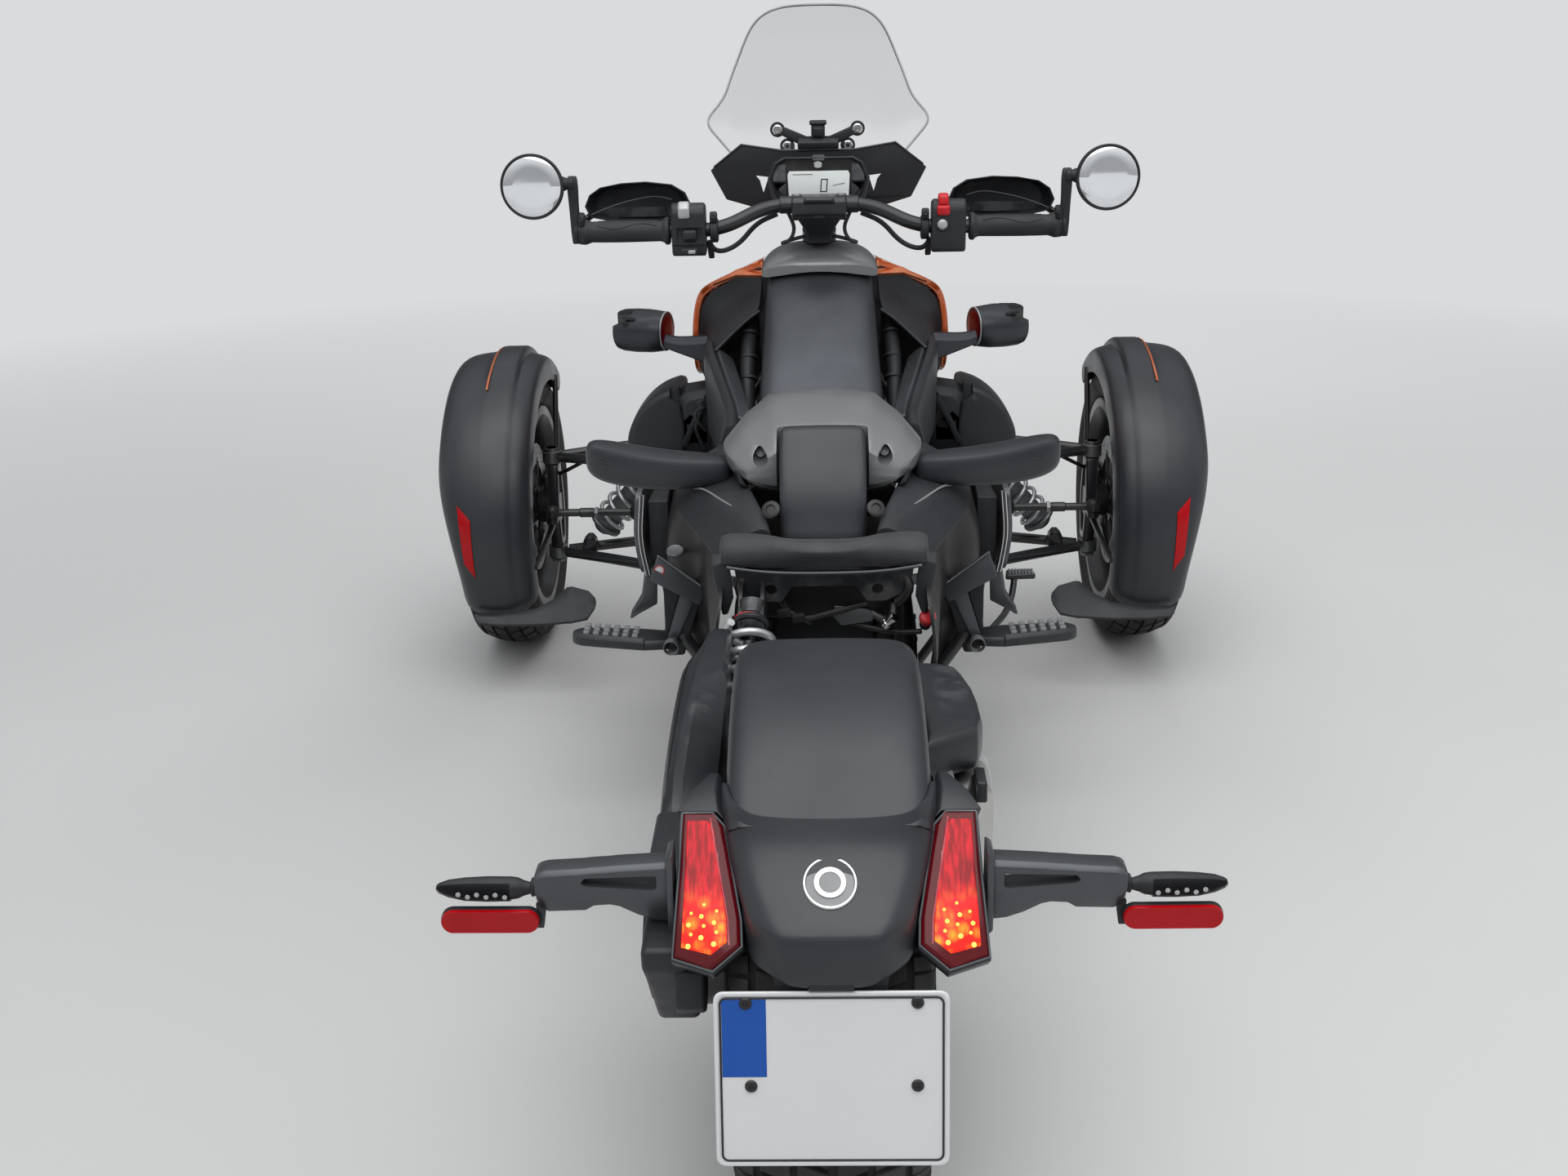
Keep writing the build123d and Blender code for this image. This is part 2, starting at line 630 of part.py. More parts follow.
# Tail
def tail_cowl():
    rows = [  # y, the half outline from the bottom up
        (-44, [(104, 604), (116, 650), (110, 704), (68, 744)]),
        (-110, [(104, 604), (141, 682), (138, 704), (88, 740)]),
        (-176, [(98, 622), (144, 688), (140, 700), (84, 722)]),
        (-214, [(84, 640), (106, 654), (103, 668), (62, 700)])]
    body = skin([(y, symmetric(half)) for y, half in rows])
    slot = box((-62, 62), (-260, -172), (580, 780))
    recesses = [rod((x, -230, 694), (x, -176, 694), 11) for x in (-89, 89)]
    return body - ([slot] + recesses)


def tail_tongue():
    outline = [(-172.3, 724), (-192, 728), (-202, 726), (-252, 668), (-318, 622), (-332, 613),
               (-332, 592), (-318, 598), (-238, 652), (-192, 702), (-172.3, 700)]
    return across(outline, -59, 59)


def tail_side():
    rows = [
        (-50, [(130, 596), (214, 596), (222, 610), (190, 640), (120, 640)]),
        (-180, [(124, 588), (200, 588), (212, 596), (178, 640), (100, 640)]),
        (-325.7, [(84, 580), (138, 580), (150, 590), (100, 622), (64, 624)])]
    body = skin(rows)
    blade = along([(150, 571), (140, 508), (130, 520), (122, 571)], -356, -350.3)
    return body - [tail_cowl(), tail_tongue(), tail_valance()], blade


def tail_valance():
    outline = [(-326, 622), (-336, 620), (-362, 602), (-368, 576), (-354, 571.3), (-326, 580)]
    body = across(outline, -144, 144)
    for side in (1, -1):
        corner = along([(side * 145, 560), (side * 130, 560), (side * 145, 625)], -380, -320)
        body = body - corner
    return body - [tail_tongue()]


def grab_handle():
    def section(x, y0, y1, z0, z1):
        bevel = 9
        points = [(y0 + bevel, z0), (y1 - bevel, z0), (y1, z0 + bevel), (y1, z1 - bevel),
                  (y1 - bevel, z1), (y0 + bevel, z1), (y0, z1 - bevel), (y0, z0 + bevel)]
        return make_face(Polyline(*[(x, y, z) for y, z in points], close=True))
    return loft([section(132, -172, -128, 640.3, 672), section(200, -182, -122, 640.3, 680),
                 section(270, -176, -112, 644, 688), section(348, -158, -104, 660, 692)],
                ruled=True) - tail_cowl()


# Feet
def foot_rail():
    body = skin([(196, [(292, 372), (304, 372), (313, 440), (308, 516), (298, 516), (300, 440)]),
                 (330, [(276, 352), (288, 352), (296, 440), (288, 540), (276, 540), (283, 440)]),
                 (440, [(262, 350), (274, 350), (280, 440), (272, 545), (260, 545), (268, 440)])])
    fin = along([(286, 372), (304, 372), (338, 290), (322, 298), (288, 318)], 196, 208)
    arm_in = rod((LOWER_RAIL_X, 250, LOWER_RAIL_Z), (290, 250, 372), 9)
    return body + [fin, arm_in] - [rail_keep()]


def rail_keep():
    return rod((LOWER_RAIL_X, -160, LOWER_RAIL_Z), (LOWER_RAIL_X, 330, LOWER_RAIL_Z), RAIL_R + SEAT)


def peg_bracket():
    blade = along([(270, 400), (196, 381), (236, 262), (262, 262), (268, 300)], 92, 104)
    arm_in = rod((LOWER_RAIL_X, 98, LOWER_RAIL_Z), (240, 98, 300), 11)
    plate = along([(280, 447), (269, 425), (196, 371), (213, 400)], 80, 91.7)
    return blade + arm_in - rail_keep(), plate


def footpeg():
    outline = [(262, 78), (300, 74), (420, 100), (426, 120), (420, 146), (300, 138), (262, 128)]
    face = make_face(Polyline(*[(x, y, 273) for x, y in outline], close=True))
    body = extrude(face, amount=24, dir=(0, 0, 1))
    grooves = [box((312 + 22 * n, 318 + 22 * n), (60, 160), (293, 300)) for n in range(5)]
    return body - grooves - peg_bracket()[0]


def brake_pedal():
    pad = box((334, 386), (342, 372), (300, 312))
    lever = tube([(352, 356, 306), (338, 300, 252), (262, 176, 234), (250, 96, 276)], 6, 22)
    return pad + lever - peg_bracket()[0]


def side_pod():
    outline = [(251, 659), (281, 655), (311, 636), (336, 601), (347, 577), (342, 545), (240, 545),
               (241, 612)]
    front = [(0.72 * x + 60, 0.8 * z + 122) for x, z in outline]
    body = skin([(350, outline), (440, outline), (560, front)])
    lug = box((189, 246), (360, 400), (612, 632))
    return body + lug - side_cover()


def front_indicator():
    pod = loft([facing(319, 428, 745) * RectangleRounded(72, 66, 30),
                facing(319, 448, 745) * RectangleRounded(90, 82, 38),
                facing(319, 486, 745) * RectangleRounded(86, 78, 36)], ruled=True)
    stalk = along([(196, 741), (205, 741), (258, 726), (284, 736), (284, 716), (205, 689),
                   (196, 689)], 412, 434)
    return stalk + pod - side_cover()


# Rear
def rear_fender():
    outline = [(-100, 318), (-97, 334), (-86, HUMP_R), (86, HUMP_R), (97, 334), (100, 318)]
    inside = [(96, 318), (93, 332), (84, HUMP_R - SHELL_T), (-84, HUMP_R - SHELL_T), (-93, 332),
              (-96, 318)]
    face = Rot(X=64) * make_face(Polyline(*(outline + inside), close=True))
    shell = Pos(0, REAR_AXLE_Y, REAR_TYRE_R) * revolve(face, Axis.X, 66)
    return shell


def lamp_plane():
    y0, z0 = LAMP_TOP
    y1, z1 = LAMP_LOW
    down = Vector(0, y1 - y0, z1 - z0).normalized()
    normal = Vector(1, 0, 0).cross(-down)
    return Plane(origin=(0, y0, z0), x_dir=(1, 0, 0), z_dir=normal)


def tyre_space(margin):
    half = REAR_TYRE_W / 2 + 6
    return rod((-half, REAR_AXLE_Y, REAR_TYRE_R), (half, REAR_AXLE_Y, REAR_TYRE_R),
               REAR_TYRE_R + margin)


def tail_lamp():
    outline = [(142, 0), (113, 0), (86, -129), (111, -147), (147.7, -135)]
    return prism(outline, lamp_plane(), -LAMP_T, 0)


def tail_panel():
    stations = [(566, 95, -1043, -1000), (491, 80, -1140, -1085), (454, 62, -1151, -1115)]
    faces = []
    for z, half, back, front in stations:
        faces.append(make_face(Polyline((-half, back, z), (half, back, z), (half, front, z),
                                        (-half, front, z), close=True)))
    shell = loft(faces, ruled=True)
    outline = [(150, 6), (92, 6), (58, -146), (111, -153), (153, -139)]
    housing = prism(outline, lamp_plane(), -40, -LAMP_T - SEAT)
    return shell + (both(housing) + [tail_badge()]) - [tyre_space(9), rear_fender()]


def tail_badge():
    centre = (0, -1098, 523)
    normal = Vector(0, -79, 100).normalized()
    return extrude(Plane(origin=centre, x_dir=(1, 0, 0), z_dir=normal) * Circle(26), amount=4)


def tail_strut():
    outline = [(-905.3, 340), (-905.3, 292), (-990, 299), (-1060, 385), (-1108, 436), (-1108, 458),
               (-1046, 462), (-1040, 478), (-1016, 500), (-905.3, 500)]
    lamp = mirror(tail_lamp(), about=Plane.YZ)
    return across(outline, -181, -134) - [swing_arm(), tail_panel(), lamp]


def indicator_arm():
    body = along([(151, 529), (282, 520), (282, 482), (230, 478), (151, 464)], -1072, -1048)
    slot = along([(172, 516), (246, 512), (246, 500), (172, 502)], -1080, -1040)
    tab = box((277, 285), (-1066, -1058), (460, 482))
    return body + [tab, rear_indicator()] - slot - tail_panel() - tail_lamp()


def rear_indicator():
    return along([(282, 510), (300, 506), (330, 514), (368, 510), (380, 500), (366, 491),
                  (330, 488), (300, 492), (282, 490)], -1070, -1050)


def rear_reflector():
    return extrude(facing(328, -1066.3, 470) * SlotOverall(97, 26), amount=8)


def plate_plane():
    lean = math.radians(PLATE_LEAN)
    normal = Vector(0, -math.cos(lean), math.sin(lean))
    y_low = -LENGTH / 2
    z_mid = PLATE_TOP_Z - PLATE_H / 2 * math.cos(lean)
    y_mid = y_low + PLATE_H / 2 * math.sin(lean)
    return Plane(origin=(0, y_mid, z_mid), x_dir=(1, 0, 0), z_dir=normal)


def number_plate():
    return extrude(plate_plane() * RectangleRounded(PLATE_W, PLATE_H, 8), amount=-1.5)


def plate_holder():
    plane = plate_plane()
    back = extrude(plane.offset(-1.5 - 5) * RectangleRounded(PLATE_W - 4, PLATE_H - 4, 8), amount=5)
    neck = prism([(-50, PLATE_H / 2 - 30), (50, PLATE_H / 2 - 30), (56, PLATE_H / 2 + 20),
                  (-56, PLATE_H / 2 + 20)], plane, -10, -6.5)
    return back + neck - tail_panel()


# Handlebar group
def stem():
    post = rod(steer_at(HEADSTOCK_SPAN[0] - 14), steer_at(70), STEM_R)
    nut = rod(steer_at(HEADSTOCK_SPAN[0] - 14), steer_at(HEADSTOCK_SPAN[0] - SEAT), 24)
    clamp = box((-36, 36), (CLAMP_Y - 20, 378), (CLAMP_Z - 20, CLAMP_Z + 14))
    return post + [nut, clamp] - bar_core(0.1)


def bar_core(spare):
    points = [(-BAR_END_X, BAR_Y, BAR_Z), (-165, BAR_Y, BAR_Z), (-84, CLAMP_Y, CLAMP_Z),
              (84, CLAMP_Y, CLAMP_Z), (165, BAR_Y, BAR_Z), (BAR_END_X, BAR_Y, BAR_Z)]
    return tube(points, BAR_R + spare, 40)


def bar():
    return bar_core(0)


def grip():
    low, high = GRIP_X
    sleeve = rod((low, BAR_Y, BAR_Z), (high, BAR_Y, BAR_Z), GRIP_R)
    return sleeve - rod((low - 1, BAR_Y, BAR_Z), (high + 1, BAR_Y, BAR_Z), BAR_R + 0.1)


def switch_pod():
    body = box((186, 242), (BAR_Y - 24, BAR_Y + 22), (BAR_Z - 28, BAR_Z + 34))
    body = chamfer(body.edges().filter_by(Axis.X), 8)
    return body - rod((180, BAR_Y, BAR_Z), (250, BAR_Y, BAR_Z), BAR_R + 0.1)


def hand_guard():
    front = along([(212, 962), (222, 1000), (246, 1014), (330, 1016), (380, 1004), (392, 982),
                   (380, 960), (300, 950)], 372, 377)
    brim = along([(222, 1000), (246, 1014), (330, 1016), (380, 1004), (378, 999), (330, 1011),
                  (248, 1009), (226, 996)], 336, 374)
    stay = tube([(402, BAR_Y + 8, BAR_Z), (402, 340, 952), (372, 375, 975)], 5, 20)
    inner = tube([(200, BAR_Y + 14, BAR_Z + 10), (206, 340, 968), (232, 374, 980)], 5, 18)
    return front + [brim, stay, inner] - [bar_end_space(), switch_pod()]


def bar_end_space():
    return rod((396, BAR_Y, BAR_Z), (420, BAR_Y, BAR_Z), BAR_R + 0.1)


def mirror_arm():
    collar = rod((GRIP_X[1] + SEAT, BAR_Y, BAR_Z), (BAR_END_X, BAR_Y, BAR_Z), 17)
    post = tube([(403, BAR_Y, BAR_Z + 8), (412, 270, 1012), (428, 262, 1030), (466, 264, 1024)], 6, 14)
    shell = extrude(mirror_plane(12) * Circle(52), amount=-18)
    return collar + [post, shell] - [bar_end_space(), hand_guard(), mirror_recess()]


def mirror_plane(back):
    return Plane(origin=(466, 238 + back, 1022), x_dir=(1, 0, 0), z_dir=(0.06, -1, 0.04))


def mirror_recess():
    return extrude(mirror_plane(12) * Circle(48), amount=-4)


def mirror_disc():
    return extrude(mirror_plane(14) * Circle(47.7), amount=-1.7)


def instrument():
    outline = [(-62, 1047), (62, 1047), (82, 1020), (76, 986), (50, 971), (-50, 971), (-76, 986),
               (-82, 1020)]
    body = along(outline, 384, 424)
    recess = along([(-58, 1040), (58, 1040), (72, 1018), (68, 990), (-68, 990), (-72, 1018)], 380, 388)
    return body - [recess, bar_core(1), stem()]


def wing():
    outline = symmetric([(40, 968), (90, 985), (140, 954), (191, 1015), (129, 1061), (60, 1050)])
    body = along(outline, 482, 492)
    notch = along([(92, 1006), (112, 1000), (100, 1022)], 470, 500)
    arms = both(box((30, 44), (424.3, 482), (1000, 1020)))
    return body + arms - both(notch)


def windscreen():
    def arc_face(z):
        lean = (z - 1040) * 0.4
        front, edge = 560 - lean, 512 - lean
        outer = ThreePointArc((-205, edge, z), (0, front, z), (205, edge, z))
        inner = ThreePointArc((205, edge - SHELL_T, z), (0, front - SHELL_T, z), (-205, edge - SHELL_T, z))
        ends = [Line((205, edge, z), (205, edge - SHELL_T, z)),
                Line((-205, edge - SHELL_T, z), (-205, edge, z))]
        return make_face([outer, ends[0], inner, ends[1]])
    band = loft([arc_face(1030), arc_face(1310)], ruled=True)
    outline = symmetric([(150, 1044), (170, 1050), (198, 1116), (156, 1150), (112, 1262), (80, 1290)])
    return band & along(outline, 300, 700)


def screen_bracket():
    bar_across = box((-72, 72), (500, 508), (1062, 1074))
    feet = both(box((36, 52), (492.3, 508), (1030, 1068)))
    places = ((-64, 1070), (64, 1070), (-26, 1073), (26, 1073))
    knobs = [rod((x, 494, z), (x, 514, z), 8) for x, z in places]
    reach = both(box((54, 66), (504, 540), (1062, 1072)))
    return bar_across + (feet + knobs + reach) - windscreen()


def front_wheel(side):
    """The pieces of one front wheel in place, side 1 right and -1 left."""
    place = Pos(TRACK / 2, FRONT_AXLE_Y, FRONT_TYRE_R)
    pieces = {
        "tyre_front": tyre(FRONT_TYRE_R, FRONT_TYRE_W, FRONT_RIM_R, FRONT_RIM_W),
        "rim_front": rim(FRONT_RIM_R, FRONT_RIM_W, 42, (-46 + DISC_T, 45), SPINDLE_R + RUN, 40)
        + disc(FRONT_DISC_R, 36, -46),
    }
    return {name: turned(place * piece, side) for name, piece in pieces.items()}


def turned(shape, side):
    return shape if side > 0 else mirror(shape, about=Plane.YZ)


def rear_wheel():
    place = Pos(0, REAR_AXLE_Y, REAR_TYRE_R)
    return {
        "tyre_rear": place * tyre(REAR_TYRE_R, REAR_TYRE_W, REAR_RIM_R, REAR_RIM_W),
        "rim_rear": place * (rim(REAR_RIM_R, REAR_RIM_W, 52, (-84 + DISC_T, 60), REAR_AXLE_R + RUN, 52)
                             + disc(REAR_DISC_R, 36, -84)),
    }


def build():
    side, blade = tail_side()
    bracket, plate = peg_bracket()
    nodes = {
        "frame": frame(),
        "engine_block": engine_block(),
        "rear_covers": [drive_cover(), silencer_cover(), tail_strut()],
        "swing_arm": [swing_arm(), rear_caliper()],
        "silencer": silencer(),
        "side_panels": both(side_panel()),
        "nose_cowl": nose_cowl(),
        "headlamps": both(headlamp()),
        "grille": [grille(), chin()],
        "radiator": radiator(),
        "side_covers": both(side_cover()) + both(dash_shroud()),
        "side_struts": both(side_strut()),
        "console": console(),
        "cap": cap(),
        "seat": seat(),
        "tail_cowl": tail_cowl(),
        "tail_tongue": tail_tongue(),
        "tail_sides": both(side) + both(blade),
        "tail_valance": tail_valance(),
        "grab_handles": both(grab_handle()),
        "foot_rails": both(foot_rail()),
        "peg_brackets": both(bracket) + both(plate),
        "footpegs": both(footpeg()),
        "brake_pedal": brake_pedal(),
        "side_pods": both(side_pod()),
        "front_indicators": both(front_indicator()),
        "suspension_arms": both(upper_arm()) + both(lower_arm()),
        "dampers": both(damper(SHOCK_LOW, SHOCK_TOP, 22, 8, (0, 1, 0)))
                   + [damper(REAR_SHOCK_LOW, REAR_SHOCK_TOP, 22, 8, (1, 0, 0))],
        "springs": both(spring(SHOCK_LOW, SHOCK_TOP, 22 + SEAT))
                   + [spring(REAR_SHOCK_LOW, REAR_SHOCK_TOP, 22 + SEAT)],
        "rack": rack(),
        "rear_fender": rear_fender(),
        "tail_panel": tail_panel(),
        "tail_lamps": both(tail_lamp()) + both(rear_reflector()),
        "indicator_arms": both(indicator_arm()),
        "plate_holder": plate_holder(),
        "number_plate": number_plate(),
        "stem": stem(),
        "handlebar": bar(),
        "grips": both(grip()),
        "switch_pods": both(switch_pod()),
        "hand_guards": both(hand_guard()),
        "mirror_arms": both(mirror_arm()),
        "mirror_glass": both(mirror_disc()),
        "instrument": instrument(),
        "wing": wing() + screen_bracket(),
        "windscreen": windscreen(),
    }
    for side, name in ((1, "right"), (-1, "left")):
        nodes["knuckle_" + name] = solids(turned(knuckle(), side), turned(caliper(), side))
        nodes["fender_" + name] = turned(fender(), side)
        nodes["tie_rod_" + name] = turned(tie_rod(), side)
        for piece, shape in front_wheel(side).items():
            nodes[piece + "_" + name] = shape
    nodes.update(rear_wheel())
    return nodes


os.makedirs("parts", exist_ok=True)
for node, shape in build().items():
    export_step(Compound(solids(shape)), "parts/" + node + ".step")
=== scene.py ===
import bpy
import bmesh
import math
from mathutils import Matrix, Vector


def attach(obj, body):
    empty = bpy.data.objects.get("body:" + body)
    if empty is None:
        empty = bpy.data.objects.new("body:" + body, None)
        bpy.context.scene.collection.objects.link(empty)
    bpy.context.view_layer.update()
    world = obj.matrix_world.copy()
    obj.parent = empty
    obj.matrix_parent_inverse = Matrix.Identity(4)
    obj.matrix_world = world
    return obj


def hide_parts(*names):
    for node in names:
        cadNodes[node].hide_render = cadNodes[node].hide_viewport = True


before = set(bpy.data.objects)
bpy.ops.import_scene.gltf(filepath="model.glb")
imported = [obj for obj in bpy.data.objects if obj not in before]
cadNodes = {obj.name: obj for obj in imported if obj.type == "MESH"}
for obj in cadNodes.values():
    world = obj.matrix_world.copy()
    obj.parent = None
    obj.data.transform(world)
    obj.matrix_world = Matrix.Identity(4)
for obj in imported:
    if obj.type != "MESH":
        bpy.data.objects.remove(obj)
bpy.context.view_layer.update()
print("frame loaded with", len(cadNodes), "nodes")

fullTurn = 2 * math.pi
spindle = (0, 866, 290)
rearHub = (0, -843, 303)
rackCentre = (0, 758, 308.5)
tieEyeSpot = (560, 758, 308.5)
badgeSpot = (0, -1099, 524.5)
badgeFacing = (0, -0.62, 0.785)
alongX, alongY, alongZ = (1, 0, 0), (0, 1, 0), (0, 0, 1)
backward = (0, -1, 0)


# Small tools. Tables are in millimetres, X to the right, Y forward, Z up.
def mm(point):
    return Vector(point) * 0.001


def clearSelection():
    active = bpy.context.view_layer.objects.active
    if active and active.mode != "OBJECT":
        bpy.ops.object.mode_set(mode="OBJECT")
    bpy.ops.object.select_all(action="DESELECT")


def pick(piece):
    clearSelection()
    piece.select_set(True)
    bpy.context.view_layer.objects.active = piece


def tidyNormals(piece, merge=0.0):
    pick(piece)
    bpy.ops.object.mode_set(mode="EDIT")
    bpy.ops.mesh.select_all(action="SELECT")
    if merge:
        bpy.ops.mesh.remove_doubles(threshold=merge)
    bpy.ops.mesh.normals_make_consistent(inside=False)
    bpy.ops.object.mode_set(mode="OBJECT")


def startRing(name, points, fill="NGON"):
    clearSelection()
    bpy.ops.mesh.primitive_circle_add(vertices=len(points), fill_type=fill)
    piece = bpy.context.object
    piece.name = name
    for vertex, point in zip(piece.data.vertices, points):
        vertex.co = mm(point)
    return piece


# A ring is extruded through its stations; lines and ends say which edges stay crisp
def growRings(piece, rings, lines=None, ends=0.0):
    pick(piece)
    bpy.ops.object.mode_set(mode="EDIT")
    bpy.ops.mesh.select_all(action="SELECT")
    mesh = bmesh.from_edit_mesh(piece.data)
    mesh.verts.layers.int.new("spot")
    mesh.verts.layers.int.new("station")
    spot = mesh.verts.layers.int["spot"]
    for index, vertex in enumerate(mesh.verts):
        vertex[spot] = index
    bmesh.update_edit_mesh(piece.data)
    for number, ring in enumerate(rings, 1):
        bpy.ops.mesh.extrude_region_move()
        mesh = bmesh.from_edit_mesh(piece.data)
        spot = mesh.verts.layers.int["spot"]
        station = mesh.verts.layers.int["station"]
        for vertex in mesh.verts:
            if vertex.select:
                vertex.co = mm(ring[vertex[spot]])
                vertex[station] = number
        bmesh.update_edit_mesh(piece.data)
    mesh = bmesh.from_edit_mesh(piece.data)
    spot = mesh.verts.layers.int["spot"]
    station = mesh.verts.layers.int["station"]
    crease = mesh.edges.layers.float.get("crease_edge") or mesh.edges.layers.float.new("crease_edge")
    for edge in mesh.edges:
        first, second = edge.verts
        if first[station] == second[station]:
            if first[station] in (0, len(rings)):
                edge[crease] = ends
        elif lines and first[spot] in lines:
            edge[crease] = lines[first[spot]]
    bmesh.update_edit_mesh(piece.data)
    bpy.ops.mesh.select_all(action="SELECT")
    bpy.ops.mesh.normals_make_consistent(inside=False)
    bpy.ops.object.mode_set(mode="OBJECT")
    return piece


def loft(name, rings, lines=None, ends=0.0):
    return growRings(startRing(name, rings[0]), rings[1:], lines, ends)


def blendRings(rings, steps):
    made = []
    last = len(rings) - 1
    for index in range(last):
        four = [rings[max(index - 1, 0)], rings[index], rings[index + 1], rings[min(index + 2, last)]]
        for step in range(steps):
            t = step / steps
            ring = []
            for a, b, c, d in zip(*four):
                ring.append(tuple(0.5 * (2 * b[k] + (c[k] - a[k]) * t
                                         + (2 * a[k] - 5 * b[k] + 4 * c[k] - d[k]) * t * t
                                         + (3 * b[k] - a[k] - 3 * c[k] + d[k]) * t ** 3)
                                  for k in range(3)))
            made.append(ring)
    made.append(list(rings[-1]))
    return made


def slab(name, outline, axis, low, high):  # an outline pushed out along X, Y or Z
    def place(first, second, depth):
        return {"X": (depth, first, second), "Y": (first, depth, second),
                "Z": (first, second, depth)}[axis]
    rings = [[place(a, b, depth) for a, b in outline] for depth in (low, high)]
    return loft(name, rings)


def turned(name, profile, start, direction, steps=32):  # profile of (distance, radius)
    axis = Vector(direction).normalized()
    side = axis.cross(Vector((0.3, 0.2, 1.0))).normalized()
    up = axis.cross(side)
    rings = []
    for distance, radius in profile:
        centre = Vector(start) + axis * distance
        rings.append([tuple(centre + side * (radius * math.cos(fullTurn * k / steps))
                            + up * (radius * math.sin(fullTurn * k / steps)))
                      for k in range(steps)])
    return loft(name, rings)


def between(name, start, end, radius, steps=24, edge=1.0):
    length = (Vector(end) - Vector(start)).length
    profile = [(0, radius - edge), (edge, radius), (length - edge, radius), (length, radius - edge)]
    return turned(name, profile, start, Vector(end) - Vector(start), steps)


def spun(name, profile, centre, steps=96):  # closed profile of (x, radius) spun round X
    piece = startRing(name, [(x, 0, radius) for x, radius in profile], "NOTHING")
    pick(piece)
    bpy.ops.object.mode_set(mode="EDIT")
    bpy.ops.mesh.select_all(action="SELECT")
    bpy.ops.mesh.spin(steps=steps, angle=fullTurn, center=(0, 0, 0), axis=(1, 0, 0))
    bpy.ops.object.mode_set(mode="OBJECT")
    tidyNormals(piece, 0.00001)
    piece.data.transform(Matrix.Translation(mm(centre)))
    return piece


def wire(name, points, radius, kind="NURBS", sides=4, order=3):
    clearSelection()
    curve = bpy.data.curves.new(name, "CURVE")
    curve.dimensions = "3D"
    curve.bevel_depth = radius * 0.001
    curve.bevel_resolution = sides
    curve.resolution_u = 8
    curve.use_fill_caps = True
    spline = curve.splines.new(kind)
    spline.points.add(len(points) - 1)
    for spot, point in zip(spline.points, points):
        spot.co = (*mm(point), 1.0)
    if kind == "NURBS":
        spline.order_u = order
        spline.use_endpoint_u = True
    piece = bpy.data.objects.new(name, curve)
    bpy.context.collection.objects.link(piece)
    pick(piece)
    bpy.ops.object.convert(target="MESH")
    return bpy.context.object


def change(piece, kind, **values):  # one modifier, applied
    pick(piece)
    bpy.ops.object.modifier_add(type=kind)
    modifier = piece.modifiers[-1]
    for key, value in values.items():
        setattr(modifier, key, value)
    bpy.ops.object.modifier_apply(modifier=modifier.name)
    return piece


def bevel(piece, width, segments=2, angle=28):
    return change(piece, "BEVEL", width=width * 0.001, segments=segments, limit_method="ANGLE",
                  angle_limit=math.radians(angle), use_clamp_overlap=True, harden_normals=False)


def smooth(piece, levels=2):
    return change(piece, "SUBSURF", levels=levels, render_levels=levels)


def cut(piece, tool):
    change(piece, "BOOLEAN", operation="DIFFERENCE", solver="EXACT", object=tool)
    bpy.data.objects.remove(tool)
    return piece


def copyOf(piece, name, matrix):
    other = piece.copy()
    other.data = piece.data.copy()
    other.name = name
    other.data.transform(matrix)
    bpy.context.collection.objects.link(other)
    return other


def mirrored(piece, name):
    other = copyOf(piece, name, Matrix.Scale(-1, 4, alongX))
    pick(other)
    bpy.ops.object.mode_set(mode="EDIT")
    bpy.ops.mesh.select_all(action="SELECT")
    bpy.ops.mesh.flip_normals()
    bpy.ops.object.mode_set(mode="OBJECT")
    return other


def joined(pieces, name):
    clearSelection()
    for piece in pieces:
        piece.select_set(True)
    bpy.context.view_layer.objects.active = pieces[0]
    if len(pieces) > 1:
        bpy.ops.object.join()
    pieces[0].name = name
    return pieces[0]


def bothSides(piece, name):
    return joined([piece, mirrored(piece, name + "Left")], name)


def around(piece, count, name):  # copies round the X axis through the origin
    copies = [piece]
    for index in range(1, count):
        turn = Matrix.Rotation(fullTurn * index / count, 4, "X")
        copies.append(copyOf(piece, name, turn))
    return joined(copies, name)


def paint(piece, material, faces=None):
    if faces is None:
        piece.data.materials.clear()
        piece.data.materials.append(material)
    else:
        piece.data.materials.append(material)
        number = len(piece.data.materials) - 1
        for polygon in piece.data.polygons:
            if faces(polygon):
                polygon.material_index = number
    return piece


def coat(finish, *pieces):
    for piece in pieces:
        paint(piece, materials[finish])


def settle(piece, body, material=None, stands=(), angle=35):
    if material:
        paint(piece, material)
    pick(piece)
    if angle:
        bpy.ops.object.shade_smooth_by_angle(angle=math.radians(angle))
    else:
        bpy.ops.object.shade_smooth()
    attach(piece, body)
    if stands:
        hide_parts(*stands)
    return piece


def fit(pieces, name, stands=(), angle=35, body="chassis"):
    return settle(joined(pieces, name), body, None, stands, angle)


def fitPair(pieces, name, stands=(), angle=35, body="chassis"):  # and its mirror image
    return settle(bothSides(joined(pieces, name), name), body, None, stands, angle)


# Materials
def mathNode(tree, operation, first, second):
    node = tree.nodes.new("ShaderNodeMath")
    node.operation = operation
    tree.links.new(first, node.inputs[0])
    tree.links.new(second, node.inputs[1])
    return node.outputs[0]


def product(tree, first, second):
    return mathNode(tree, "MULTIPLY", first, second)


def newMaterial(name):
    material = bpy.data.materials.new(name)
    material.use_nodes = True
    tree = material.node_tree
    shader = tree.nodes["Principled BSDF"]
    place = tree.nodes.new("ShaderNodeTexCoord")
    return material, tree, shader, place.outputs["Object"]


def noiseNode(tree, place, scale, detail=4.0, stretch=None):
    source = place
    if stretch:
        mapping = tree.nodes.new("ShaderNodeMapping")
        mapping.inputs["Scale"].default_value = stretch
        tree.links.new(place, mapping.inputs["Vector"])
        source = mapping.outputs["Vector"]
    noise = tree.nodes.new("ShaderNodeTexNoise")
    noise.inputs["Scale"].default_value = scale
    noise.inputs["Detail"].default_value = detail
    tree.links.new(source, noise.inputs["Vector"])
    return noise.outputs["Fac"]


